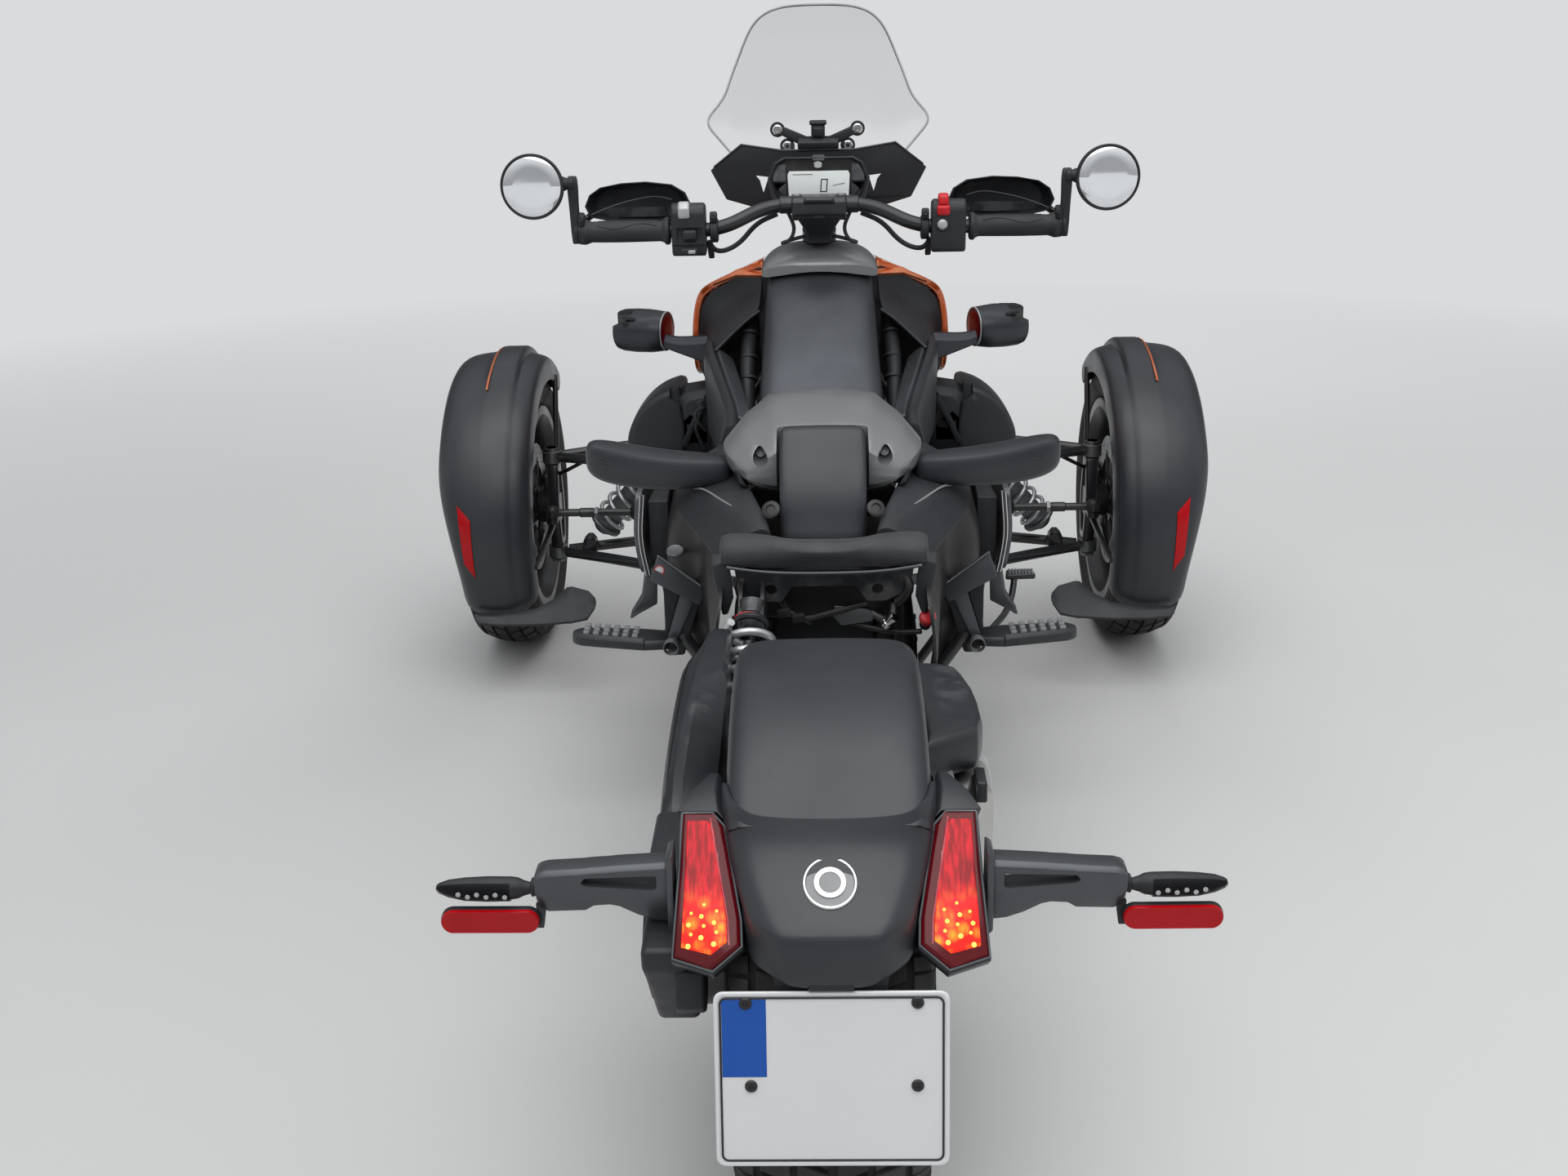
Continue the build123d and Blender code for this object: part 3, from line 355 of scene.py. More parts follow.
def rangeNode(tree, source, low, high, fromLow=0.3, fromHigh=0.7):
    node = tree.nodes.new("ShaderNodeMapRange")
    for key, value in (("From Min", fromLow), ("From Max", fromHigh), ("To Min", low), ("To Max", high)):
        node.inputs[key].default_value = value
    tree.links.new(source, node.inputs["Value"])
    return node.outputs["Result"]


def mixNode(tree, share, first, second):
    node = tree.nodes.new("ShaderNodeMix")
    node.data_type = "RGBA"
    for socket, value in ((node.inputs[6], first), (node.inputs[7], second)):
        if hasattr(value, "links"):
            tree.links.new(value, socket)
        else:
            socket.default_value = (*value, 1)
    tree.links.new(share, node.inputs[0])
    return node.outputs[2]


def bumpNode(tree, shader, height, strength, distance, before=None):
    node = tree.nodes.new("ShaderNodeBump")
    node.inputs["Strength"].default_value = strength
    node.inputs["Distance"].default_value = distance
    tree.links.new(height, node.inputs["Height"])
    if before:
        tree.links.new(before, node.inputs["Normal"])
    tree.links.new(node.outputs["Normal"], shader.inputs["Normal"])
    return node.outputs["Normal"]


dustColour = (0.30, 0.30, 0.295)

# Base colour, tone of its soft patches, roughness, grain, its depth, dust on top faces, worn edges, more
finishes = {
    "mouldedBlack": ((0.014, 0.0155, 0.019), (0.021, 0.0225, 0.027), (0.42, 0.56), 900, 0.10, 0.035,
        (0.09, 0.095, 0.10), {}),
    "softBlack": ((0.010, 0.011, 0.0135), (0.016, 0.0175, 0.021), (0.50, 0.66), 700, 0.16, 0.049,
        (0.06, 0.062, 0.065), {}),
    "satinGrey": ((0.080, 0.085, 0.094), (0.104, 0.110, 0.120), (0.30, 0.42), 1500, 0.05, 0.021,
        (0.22, 0.225, 0.23), {"metal": 0.55}),
    "consoleGrey": ((0.052, 0.056, 0.064), (0.068, 0.073, 0.082), (0.34, 0.46), 1200, 0.06, 0.021,
        (0.14, 0.145, 0.15), {"metal": 0.7}),
    "cowlGrey": ((0.20, 0.205, 0.212), (0.245, 0.250, 0.258), (0.30, 0.40), 1500, 0.05, 0.02,
        (0.26, 0.26, 0.27), {"metal": 0.4}),
    "fenderGrey": ((0.020, 0.022, 0.027), (0.029, 0.032, 0.038), (0.32, 0.44), 1100, 0.07, 0.02,
        (0.10, 0.105, 0.11), {"gloss": 0.55}),
    "powderBlack": ((0.013, 0.0135, 0.016), (0.022, 0.023, 0.026), (0.30, 0.44), 600, 0.18, 0.028,
        (0.20, 0.20, 0.20), {"metal": 0.2, "coat": 0.25}),
    "castGrey": ((0.17, 0.175, 0.18), (0.24, 0.245, 0.25), (0.42, 0.6), 420, 0.35, 0.042, (0.45, 0.45, 0.45),
        {"metal": 0.8}),
    "springSilver": ((0.56, 0.57, 0.58), (0.66, 0.67, 0.68), (0.28, 0.4), 900, 0.05, 0.021, (0.8, 0.8, 0.8),
        {"metal": 0.7}),
    "springGrey": ((0.30, 0.31, 0.33), (0.38, 0.39, 0.41), (0.36, 0.5), 900, 0.06, 0.028, (0.5, 0.5, 0.5),
        {"metal": 0.4}),
    "brightSteel": ((0.62, 0.62, 0.62), (0.74, 0.74, 0.74), (0.16, 0.28), 500, 0.05, 0.0105,
        (0.85, 0.85, 0.85), {"metal": 1.0}),
    "heatSteel": ((0.50, 0.50, 0.49), (0.62, 0.60, 0.57), (0.26, 0.42), 260, 0.12, 0.021, (0.8, 0.8, 0.8),
        {"metal": 1.0, "stretch": (1, 8, 1)}),
    "gripRubber": ((0.018, 0.019, 0.022), (0.028, 0.030, 0.034), (0.55, 0.72), 800, 0.22, 0.056,
        (0.07, 0.07, 0.07), {}),
    "tyreRubber": ((0.016, 0.016, 0.017), (0.030, 0.030, 0.030), (0.62, 0.82), 500, 0.28, 0.119,
        (0.10, 0.098, 0.094), {}),
    "orangePaint": ((0.66, 0.115, 0.022), (0.78, 0.160, 0.035), (0.20, 0.28), 2200, 0.03, 0.0105,
        (0.90, 0.34, 0.12), {"metal": 0.35, "coat": 0.8}),
    "reflectorRed": ((0.44, 0.002, 0.006), (0.54, 0.003, 0.008), (0.16, 0.24), 420, 0.35, 0.0,
        (0.8, 0.05, 0.05), {"gloss": 0.3}),
    "satinBlack": ((0.016, 0.018, 0.022), (0.024, 0.027, 0.032), (0.34, 0.46), 1200, 0.06, 0.02,
        (0.10, 0.105, 0.11), {"gloss": 0.55}),
    "lampRed": ((0.10, 0.001, 0.004), (0.14, 0.002, 0.006), (0.10, 0.16), 300, 0.04, 0.0, (0.5, 0.05, 0.06),
        {"gloss": 0.35}),
    "lampEdge": ((0.55, 0.05, 0.08), (0.62, 0.08, 0.11), (0.10, 0.16), 300, 0.04, 0.0, (0.9, 0.4, 0.4),
        {"gloss": 0.4}),
    "frameBlack": ((0.016, 0.017, 0.019), (0.028, 0.029, 0.032), (0.28, 0.42), 500, 0.14, 0.03,
        (0.16, 0.16, 0.16), {"coat": 0.35}),
    "midGrey": ((0.19, 0.195, 0.205), (0.25, 0.255, 0.265), (0.40, 0.54), 900, 0.10, 0.03,
        (0.36, 0.36, 0.37), {}),
    "darkMetal": ((0.055, 0.056, 0.060), (0.085, 0.087, 0.092), (0.30, 0.44), 420, 0.22, 0.03,
        (0.28, 0.28, 0.28), {"metal": 0.9}),
    "caliperGrey": ((0.10, 0.102, 0.106), (0.14, 0.143, 0.148), (0.34, 0.48), 420, 0.25, 0.03,
        (0.4, 0.4, 0.4), {"metal": 0.7}),
    "switchRed": ((0.60, 0.012, 0.02), (0.70, 0.02, 0.03), (0.34, 0.44), 900, 0.08, 0.021,
        (0.8, 0.2, 0.2), {}),
    "plateWhite": ((0.80, 0.81, 0.82), (0.86, 0.865, 0.87), (0.30, 0.40), 900, 0.04, 0.021, (0.6, 0.6, 0.6),
        {"coat": 0.3}),
    "plateBlue": ((0.004, 0.088, 0.44), (0.005, 0.094, 0.46), (0.30, 0.40), 900, 0.04, 0.0,
        (0.005, 0.094, 0.46), {}),
    "inkBlack": ((0.012, 0.012, 0.013), (0.02, 0.02, 0.021), (0.40, 0.5), 900, 0.05, 0.0105,
        (0.06, 0.06, 0.06), {}),
    "paleGrey": ((0.46, 0.47, 0.48), (0.55, 0.56, 0.57), (0.36, 0.5), 900, 0.08, 0.021, (0.7, 0.7, 0.7),
        {"metal": 0.3}),
}


def makeFinish(name, colour, tone, rough, grain, depth, dust, wear, more):
    material, tree, shader, place = newMaterial(name)
    patches = noiseNode(tree, place, 5.0, 5.0)
    colour = mixNode(tree, rangeNode(tree, patches, 0.0, 1.0), colour, tone)
    specks = noiseNode(tree, place, 60.0, 6.0)
    geometry = tree.nodes.new("ShaderNodeNewGeometry")
    split = tree.nodes.new("ShaderNodeSeparateXYZ")
    tree.links.new(geometry.outputs["Normal"], split.inputs["Vector"])
    upward = rangeNode(tree, split.outputs["Z"], 0.0, dust, 0.2, 1.0)
    dusty = product(tree, upward, rangeNode(tree, specks, 0.2, 1.0))
    colour = mixNode(tree, dusty, colour, dustColour)
    worn = rangeNode(tree, geometry.outputs["Pointiness"], 0.0, 0.6, 0.56, 0.66)
    scratched = rangeNode(tree, noiseNode(tree, place, 35.0, 3.0), 0.0, 1.0, 0.42, 0.62)
    colour = mixNode(tree, product(tree, worn, scratched), colour, wear)
    tree.links.new(colour, shader.inputs["Base Color"])
    tree.links.new(rangeNode(tree, noiseNode(tree, place, 14.0), *rough),
                   shader.inputs["Roughness"])
    shader.inputs["Metallic"].default_value = more.get("metal", 0.0)
    shader.inputs["Coat Weight"].default_value = more.get("coat", 0.0)
    shader.inputs["Specular IOR Level"].default_value = more.get("gloss", 0.5)
    shader.inputs["Coat Roughness"].default_value = 0.08
    bumpNode(tree, shader, noiseNode(tree, place, grain, 2.0, more.get("stretch")), depth, 0.0004)
    return material


materials = {name: makeFinish(name, *look) for name, look in finishes.items()}


def makeSeatCover():
    material, tree, shader, place = newMaterial("seatCover")
    cells = tree.nodes.new("ShaderNodeTexVoronoi")
    cells.feature = "DISTANCE_TO_EDGE"
    cells.inputs["Scale"].default_value = 320
    tree.links.new(place, cells.inputs["Vector"])
    folds = noiseNode(tree, place, 26.0, 3.0)
    tree.links.new(mixNode(tree, rangeNode(tree, folds, 0.0, 1.0), (0.018, 0.019, 0.022),
                           (0.033, 0.035, 0.039)), shader.inputs["Base Color"])
    tree.links.new(rangeNode(tree, noiseNode(tree, place, 12.0), 0.48, 0.64), shader.inputs["Roughness"])
    shader.inputs["Sheen Weight"].default_value = 0.15
    first = bumpNode(tree, shader, cells.outputs["Distance"], 0.35, 0.0005)
    bumpNode(tree, shader, folds, 0.25, 0.0015, first)
    return material


def makeGlass(name, tint, rough, alpha):
    material, tree, shader, place = newMaterial(name)
    shader.inputs["Base Color"].default_value = (*tint, 1)
    shader.inputs["Transmission Weight"].default_value = 1.0
    shader.inputs["IOR"].default_value = 1.12
    shader.inputs["Alpha"].default_value = alpha
    tree.links.new(rangeNode(tree, noiseNode(tree, place, 30.0), rough, rough + 0.03),
                   shader.inputs["Roughness"])
    return material


# Mirror glass: metallic silver in part, the rest pale diffuse white, a painted sky reflection
def makeMirror():
    material, tree, shader, place = newMaterial("mirrorSilverAndPaintedSky")
    shader.inputs["Metallic"].default_value = 0.55
    tree.links.new(mixNode(tree, rangeNode(tree, noiseNode(tree, place, 18.0, 2.0), 0.0, 1.0),
                           (0.86, 0.89, 0.92), (0.92, 0.94, 0.96)), shader.inputs["Base Color"])
    tree.links.new(rangeNode(tree, noiseNode(tree, place, 40.0), 0.02, 0.06), shader.inputs["Roughness"])
    return material


def makeGlow(name, first, second, glow, strength):
    material, tree, shader, place = newMaterial(name)
    tree.links.new(mixNode(tree, rangeNode(tree, noiseNode(tree, place, 40.0), 0.0, 1.0), first, second),
                   shader.inputs["Base Color"])
    shader.inputs["Emission Color"].default_value = (*glow, 1)
    shader.inputs["Emission Strength"].default_value = strength
    shader.inputs["Roughness"].default_value = 0.3
    return material


def makeLampLight():  # bright red, with orange light points in its lower part
    material, tree, shader, place = newMaterial("lampLight")
    split = tree.nodes.new("ShaderNodeSeparateXYZ")
    tree.links.new(place, split.inputs["Vector"])
    lower = rangeNode(tree, split.outputs["Z"], 1.0, 0.0, 0.486, 0.516)
    streaks = noiseNode(tree, place, 90.0, 3.0, (3.2, 0.5, 0.5))
    cells = tree.nodes.new("ShaderNodeTexVoronoi")
    cells.inputs["Scale"].default_value = 75
    cells.inputs["Randomness"].default_value = 0.8
    tree.links.new(place, cells.inputs["Vector"])
    points = rangeNode(tree, cells.outputs["Distance"], 1.0, 0.0, 0.05, 0.6)
    hot = product(tree, product(tree, points, lower), rangeNode(tree, streaks, 0.25, 1.0, 0.35, 0.6))
    base = mixNode(tree, rangeNode(tree, streaks, 0.0, 1.0, 0.4, 0.65), (0.26, 0.001, 0.004),
        (0.62, 0.004, 0.014))
    colour = mixNode(tree, lower, base, (0.78, 0.012, 0.008))
    colour = mixNode(tree, hot, colour, (1.0, 0.30, 0.02))
    tree.links.new(colour, shader.inputs["Base Color"])
    tree.links.new(colour, shader.inputs["Emission Color"])
    tree.links.new(rangeNode(tree, lower, 0.30, 1.15, 0.0, 1.0), shader.inputs["Emission Strength"])
    shader.inputs["Roughness"].default_value = 0.2
    shader.inputs["Specular IOR Level"].default_value = 0.3
    return material


materials["seatCover"] = makeSeatCover()
materials["clearScreen"] = makeGlass("clearScreen", (0.86, 0.89, 0.90), 0.16, 0.20)
materials["smokedLens"] = makeGlass("smokedLens", (0.30, 0.30, 0.31), 0.08, 0.85)
materials["clearLens"] = makeGlass("clearLens", (0.85, 0.87, 0.90), 0.04, 0.7)
materials["redLens"] = makeGlass("redLens", (0.75, 0.05, 0.08), 0.03, 0.55)
materials["mirrorSilverAndPaintedSky"] = makeMirror()
# pale, denser glass for a wire round the windscreen: a painted highlight along its edge
materials["screenEdgeHighlight"] = makeGlass("screenEdgeHighlight", (0.50, 0.54, 0.56), 0.05, 0.8)
materials["lcdGlow"] = makeGlow("lcdGlow", (0.60, 0.63, 0.62), (0.66, 0.69, 0.68), (0.80, 0.84, 0.84), 0.25)
materials["lightPoint"] = makeGlow("lightPoint", (1.0, 0.34, 0.04), (1.0, 0.46, 0.08), (1.0, 0.42, 0.06), 2.2)
materials["lampLight"] = makeLampLight()
print("materials ready:", len(materials))


# Camera, light and floor
shot = {"place": (-0.007, -2.408, 1.300), "yaw": -1.34, "pitch": 20.17, "roll": 1.11, "lens": 36.77}


def makeCamera():
    yaw, pitch, roll = (math.radians(shot[key]) for key in ("yaw", "pitch", "roll"))
    ahead = Vector((math.sin(yaw) * math.cos(pitch), math.cos(yaw) * math.cos(pitch), -math.sin(pitch)))
    right = Vector((math.cos(yaw), -math.sin(yaw), 0))
    down = ahead.cross(right)
    turnedRight = right * math.cos(roll) + down * math.sin(roll)
    turnedDown = down * math.cos(roll) - right * math.sin(roll)
    bpy.ops.object.camera_add()
    camera = bpy.context.object
    facing = Matrix((turnedRight, -turnedDown, -ahead)).transposed().to_4x4()
    camera.matrix_world = Matrix.Translation(shot["place"]) @ facing
    camera.data.lens = shot["lens"]
    camera.data.sensor_width = 36
    camera.data.clip_start = 0.02
    bpy.context.scene.camera = camera


lightPanels = {  # place, size, watts
    "skyPanel": ((0.0, -1.5, 4.2), 5.2, 120),
    "frontPanel": ((0.6, 4.6, 2.6), 3.2, 60),
    "rearPanel": ((-1.2, -3.8, 2.8), 2.6, 20),
    "sidePanel": ((3.8, -0.4, 2.2), 2.4, 26),
}
backdropColour = (0.70, 0.71, 0.72)


def seenShare(tree):  # 1 where the camera, a reflection or glass looks at the background
    path = tree.nodes.new("ShaderNodeLightPath")
    total = path.outputs["Is Camera Ray"]
    for name in ("Is Glossy Ray", "Is Transmission Ray"):
        total = mathNode(tree, "MAXIMUM", total, path.outputs[name])
    return total


def makeLight():
    for name, (place, size, watts) in lightPanels.items():
        bpy.ops.object.light_add(type="AREA", location=place)
        lamp = bpy.context.object
        lamp.name = name
        lamp.data.shape = "DISK"
        lamp.data.size = size
        lamp.data.energy = watts
        lamp.visible_glossy = name == "skyPanel"
        lamp.visible_transmission = False
        lamp.rotation_euler = (Vector((0, 0, 0.45)) - Vector(place)).to_track_quat("-Z", "Y").to_euler()
    world = bpy.data.worlds.new("studio")
    bpy.context.scene.world = world
    world.use_nodes = True
    tree = world.node_tree
    place = tree.nodes.new("ShaderNodeTexCoord").outputs["Object"]
    split = tree.nodes.new("ShaderNodeSeparateXYZ")
    tree.links.new(place, split.inputs["Vector"])
    light = tree.nodes["Background"]
    light.inputs["Color"].default_value = (0.86, 0.88, 0.91, 1)
    tree.links.new(rangeNode(tree, split.outputs["Z"], 0.15, 0.66, 0.0, 0.9), light.inputs["Strength"])
    seen = tree.nodes.new("ShaderNodeBackground")
    seen.inputs["Color"].default_value = (*backdropColour, 1)
    path = tree.nodes.new("ShaderNodeLightPath")
    ahead, behind = [product(tree, rangeNode(tree, split.outputs["Y"], 0.0, 1.0, near, far),
                             rangeNode(tree, split.outputs["Z"], 1.0, 0.0, top - 0.45, top))
                     for near, far, top in ((0.05, 0.6, 0.85), (-0.05, -0.6, 0.5))]
    lowSky = product(tree, mathNode(tree, "ADD", ahead, behind), path.outputs["Is Glossy Ray"])
    tree.links.new(rangeNode(tree, lowSky, 1.0, 0.12, 0.0, 1.0), seen.inputs["Strength"])
    mix = tree.nodes.new("ShaderNodeMixShader")
    tree.links.new(seenShare(tree), mix.inputs[0])
    tree.links.new(light.outputs[0], mix.inputs[1])
    tree.links.new(seen.outputs[0], mix.inputs[2])
    tree.links.new(mix.outputs[0], tree.nodes["World Output"].inputs["Surface"])
    bpy.context.scene.view_settings.view_transform = "Standard"


def makeFloor():
    bpy.ops.mesh.primitive_circle_add(vertices=128, radius=60, fill_type="NGON")
    floor = bpy.context.object
    floor.name = "floor"
    material, tree, shader, place = newMaterial("studioFloor")
    pale = mixNode(tree, rangeNode(tree, noiseNode(tree, place, 0.7), 0.0, 1.0),
                   (0.60, 0.60, 0.595), (0.63, 0.63, 0.625))
    # diffuse bounce rays see the floor dark grey, the camera sees it pale: painted shade on the bike's
    # undersides
    tree.links.new(mixNode(tree, rangeNode(tree, seenShare(tree), 1.0, 0.0), pale, (0.36, 0.36, 0.36)),
                   shader.inputs["Base Color"])
    shader.inputs["Roughness"].default_value = 0.75
    bumpNode(tree, shader, noiseNode(tree, place, 160.0), 0.08, 0.001)
    reach = tree.nodes.new("ShaderNodeVectorMath")
    reach.operation = "LENGTH"
    tree.links.new(place, reach.inputs[0])
    far = product(tree, rangeNode(tree, reach.outputs["Value"], 0.0, 1.0, 1.9, 5.5), seenShare(tree))
    glow = tree.nodes.new("ShaderNodeEmission")
    glow.inputs["Color"].default_value = (*backdropColour, 1)
    mix = tree.nodes.new("ShaderNodeMixShader")
    tree.links.new(far, mix.inputs[0])
    tree.links.new(shader.outputs[0], mix.inputs[1])
    tree.links.new(glow.outputs[0], mix.inputs[2])
    tree.links.new(mix.outputs[0], tree.nodes["Material Output"].inputs["Surface"])
    floor.data.materials.append(material)


makeCamera()
makeLight()
makeFloor()
print("camera, light and floor ready")

# Wheels
wheelSizes = {
    "front": {"outer": 290, "width": 145, "rim": 203.2, "rimWidth": 114, "pitches": 44, "face": 40,
              "hub": 42, "hubX": (-41, 45), "disc": 135, "discX": -46, "drop": 7},
    "rear": {"outer": 303, "width": 205, "rim": 190.5, "rimWidth": 178, "pitches": 46, "face": 52,
             "hub": 52, "hubX": (-79, 60), "disc": 125, "discX": -84, "drop": 8},
}


def treadRadius(size, x):
    share = abs(x) / (size["width"] / 2)
    table = [(0.0, 1.0), (0.40, 0.9868), (0.74, 0.955), (0.86, 0.940), (0.94, 0.915), (1.0, 0.872)]
    for (low, first), (high, second) in zip(table, table[1:]):
        if share <= high:
            return size["outer"] * (first + (second - first) * (share - low) / (high - low))
    return size["outer"] * 0.872


def treadBlock(size, shares, start, end, skew):
    half = size["width"] / 2
    spots = [(share * half, start) for share in shares] + [(share * half, end) for share in shares[::-1]]
    midX = sum(x for x, angle in spots) / len(spots)
    midA = (start + end) / 2
    rings = []
    for lift, keep in ((-size["drop"] - 2, 1.0), (-1.0, 1.0), (0.0, 0.90)):
        ring = []
        for x, angle in spots:
            x = midX + (x - midX) * keep
            angle = midA + (angle - midA) * keep + skew * abs(x) / half
            radius = treadRadius(size, x) + lift
            ring.append((x, radius * math.sin(angle), radius * math.cos(angle)))
        rings.append(ring)
    return loft("block", rings)


def makeTyre(name, size, centre):
    half, bead, outer, rim = size["width"] / 2, size["rimWidth"] / 2, size["outer"], size["rim"]
    lip, mid = rim + 13.5, rim + 0.5 * (outer - rim)
    wall = half - bead
    edge = [(bead, rim), (bead, lip), (bead + 0.35 * wall, lip + 3), (bead + 0.62 * wall, lip + 8),
            (bead + 0.60 * wall, lip + 12), (half - 3, mid - 12), (half - 0.6, mid - 4), (half, mid),
            (half - 0.2, mid + 0.14 * (outer - mid)), (half - 2.2, mid + 0.17 * (outer - mid)),
            (half - 3.2, mid + 0.30 * (outer - mid)), (half - 5.5, mid + 0.48 * (outer - mid))]
    crown = [(x * half, treadRadius(size, x * half) - size["drop"]) for x in (0.86, 0.72, 0.5, 0.25)]
    profileHalf = edge + crown
    top = [(0, outer - size["drop"])]
    inner = [(bead - 13, rim), (bead - 13, lip), (half - 11, mid), (0.66 * half, outer - 26)]
    profile = profileHalf + top + [(-x, radius) for x, radius in profileHalf[::-1]]
    profile += [(-x, radius) for x, radius in inner] + inner[::-1]
    carcass = spun(name + "Carcass", profile, (0, 0, 0), 120)
    pitch = fullTurn / size["pitches"]
    blocks = []
    for side in (1, -1):
        shift = 0 if side > 0 else pitch / 2
        rows = [((0.05, 0.20, 0.34), 0.05, 0.84, 0.16), ((0.41, 0.55, 0.70), 0.10, 0.88, 0.10),
                ((0.77, 0.86, 0.94, 0.985), 0.06, 0.50, 0.04), ((0.77, 0.86, 0.94), 0.58, 0.94, 0.04)]
        for shares, start, end, skew in rows:
            blocks.append(treadBlock(size, [side * share for share in shares], shift + start * pitch,
                                     shift + end * pitch, skew))
    tread = around(joined(blocks, "pitch"), size["pitches"], name + "Tread")
    tidyNormals(tread)
    tyre = joined([carcass, tread], name)
    tyre.data.transform(Matrix.Translation(mm(centre)))
    return tyre


def makeSpokes(size):
    reach = size["rim"] - 19
    face = size["face"]
    rings = []
    for radius, wide, front, back in ((26, 15, 3, -20), (0.30 * reach, 11.5, 3.5, -17),
                                      (0.55 * reach, 8.5, 2, -15), (0.80 * reach, 8, 3, -17),
                                      (0.93 * reach, 11, 6, -24), (reach + 1, 16, 8, -30)):
        rings.append([(face + back, -wide, radius), (face + front - 5, -wide, radius),
                      (face + front, -0.62 * wide, radius), (face + front - 3, -0.30 * wide, radius),
                      (face + front - 3, 0.30 * wide, radius), (face + front, 0.62 * wide, radius),
                      (face + front - 5, wide, radius), (face + back, wide, radius)])
    spoke = loft("spoke", blendRings(rings, 3))
    bevel(spoke, 1.2)
    return around(spoke, 10, "spokes")


def makeRim(name, size, centre, side):
    half, rim = size["rimWidth"] / 2 + 0.3, size["rim"]
    seat, well = rim - 0.3, rim - 14
    profile = [(half + 7, rim + 10.5), (half + 5.5, rim + 12.6), (half + 1.5, rim + 12.6), (half, rim + 11),
               (half, seat), (half - 22, seat), (half - 32, well), (-half + 32, well), (-half + 22, seat),
               (-half, seat), (-half, rim + 11), (-half - 1.5, rim + 12.6), (-half - 5.5, rim + 12.6),
               (-half - 7, rim + 10.5), (-half - 7, seat - 6), (-half - 2, seat - 9), (-half + 26, well - 7),
               (half - 26, well - 7), (half - 4, seat - 12), (half + 1, seat - 9), (half + 7, seat - 7)]
    barrel = spun("barrel", profile, (0, 0, 0))
    low, high = size["hubX"]
    hubR = size["hub"]
    hub = turned("hub", [(0, hubR - 6), (3, hubR - 3), (20, hubR - 8), (high - low - 34, hubR - 8),
                         (high - low - 22, hubR + 6), (high - low - 5, hubR + 8),
                         (high - low - 2, hubR + 5), (high - low, hubR - 8),
                         (high - low - 3, hubR - 12), (high - low - 3, 23)], (low, 0, 0), alongX, 40)
    pieces = [barrel, hub, makeSpokes(size)]
    for index in range(5):
        angle = fullTurn * (index + 0.5) / 5
        spot = (high - 4, (hubR - 3) * math.sin(angle), (hubR - 3) * math.cos(angle))
        pieces.append(turned("bolt", [(0, 8), (6, 8), (7.5, 6.5), (7.5, 4.2), (4, 4)], spot, alongX, 12))
    pieces.append(between("valve", (size["face"] + 6, 0, rim - 32), (size["face"] + 26, 0,
            rim - 40), 3.6, 10))
    wheel = joined(pieces, name)
    coat("powderBlack", wheel)
    rotor = makeRotor(size)
    coat("darkMetal", rotor)
    wheel = joined([wheel, rotor], name)
    if side < 0:
        wheel = flip(wheel, name)
    wheel.data.transform(Matrix.Translation(mm(centre)))
    return wheel


def flip(piece, name):
    other = mirrored(piece, name)
    bpy.data.objects.remove(piece)
    other.name = name
    return other


def makeRotor(size):
    radius, x = size["disc"], size["discX"]
    ring = spun("rotor", [(x, radius), (x + 5, radius), (x + 5, radius - 44), (x, radius - 44)], (0, 0, 0))
    holes = []
    for index in range(30):
        angle = fullTurn * index / 30
        reach = radius - (13, 22, 31)[index % 3]
        spot = (x - 4, reach * math.sin(angle), reach * math.cos(angle))
        holes.append(between("hole", spot, (x + 9, spot[1], spot[2]), 3.4, 10))
    cut(ring, joined(holes, "holes"))
    arms = []
    for index in range(6):
        angle = fullTurn * index / 6
        a = (x + 2.5, 34 * math.sin(angle), 34 * math.cos(angle))
        reach = radius - 38
        b = (x + 2.5, reach * math.sin(angle + 0.35), reach * math.cos(angle + 0.35))
        arms.append(between("carrierArm", a, b, 6, 10))
        arms.append(between("button", (x - 1.5, b[1], b[2]), (x + 6.5, b[1], b[2]), 7.5, 14))
    carrier = spun("carrier", [(x, 30), (x, 46), (x + 5, 46), (x + 5, 30)], (0, 0, 0), 48)
    return joined([ring, carrier] + arms, "rotor")


for wheel, centre, side in (("front_right", (654, 866, 290), 1), ("front_left", (-654, 866, 290), -1),
                            ("rear", rearHub, 1)):
    size = wheelSizes["rear" if wheel == "rear" else "front"]
    tyre = makeTyre("tyre_" + wheel + "_look", size, centre)
    settle(tyre, "wheel_" + wheel, materials["tyreRubber"], ["tyre_" + wheel])
    rim = makeRim("rim_" + wheel + "_look", size, centre, side)
    settle(rim, "wheel_" + wheel, None, ["rim_" + wheel])
print("wheels done")

# Front fenders, right-hand side first; x from the middle of the wheel, then the radius
fenderLook = {
    "start": 50, "end": 205, "step": 4, "wall": 4,
    "ridge": [(-85, 268), (-84, 306), (-78, 316), (-69, 321), (-54, 325), (-47, 326),
        (-42, 338), (-37, 341.5),
              (4, 341.5), (10, 339.5), (15, 330), (48, 327.5), (72, 323), (88, 314), (97, 301), (100.5, 288),
              (98, 266)],
    "plain": [(-85, 268), (-84, 307), (-76, 318), (-66, 324), (-56, 327.5), (-50, 329),
        (-43, 332), (-36, 334.5),
              (4, 337), (11, 336.8), (18, 336.2), (46, 334), (72, 328), (88, 317), (97, 303), (100.5, 288),
              (98, 266)],
}
frontWheel = Vector((654, 866, 290))


def ease(value, low, high):
    share = min(max((value - low) / (high - low), 0), 1)
    return share * share * (3 - 2 * share)


def fenderShift(x, angle):  # the outer side draws in towards the lower end
    if x <= 0:
        return x
    return x * (1 - 0.36 * ease(angle, 146, 200))


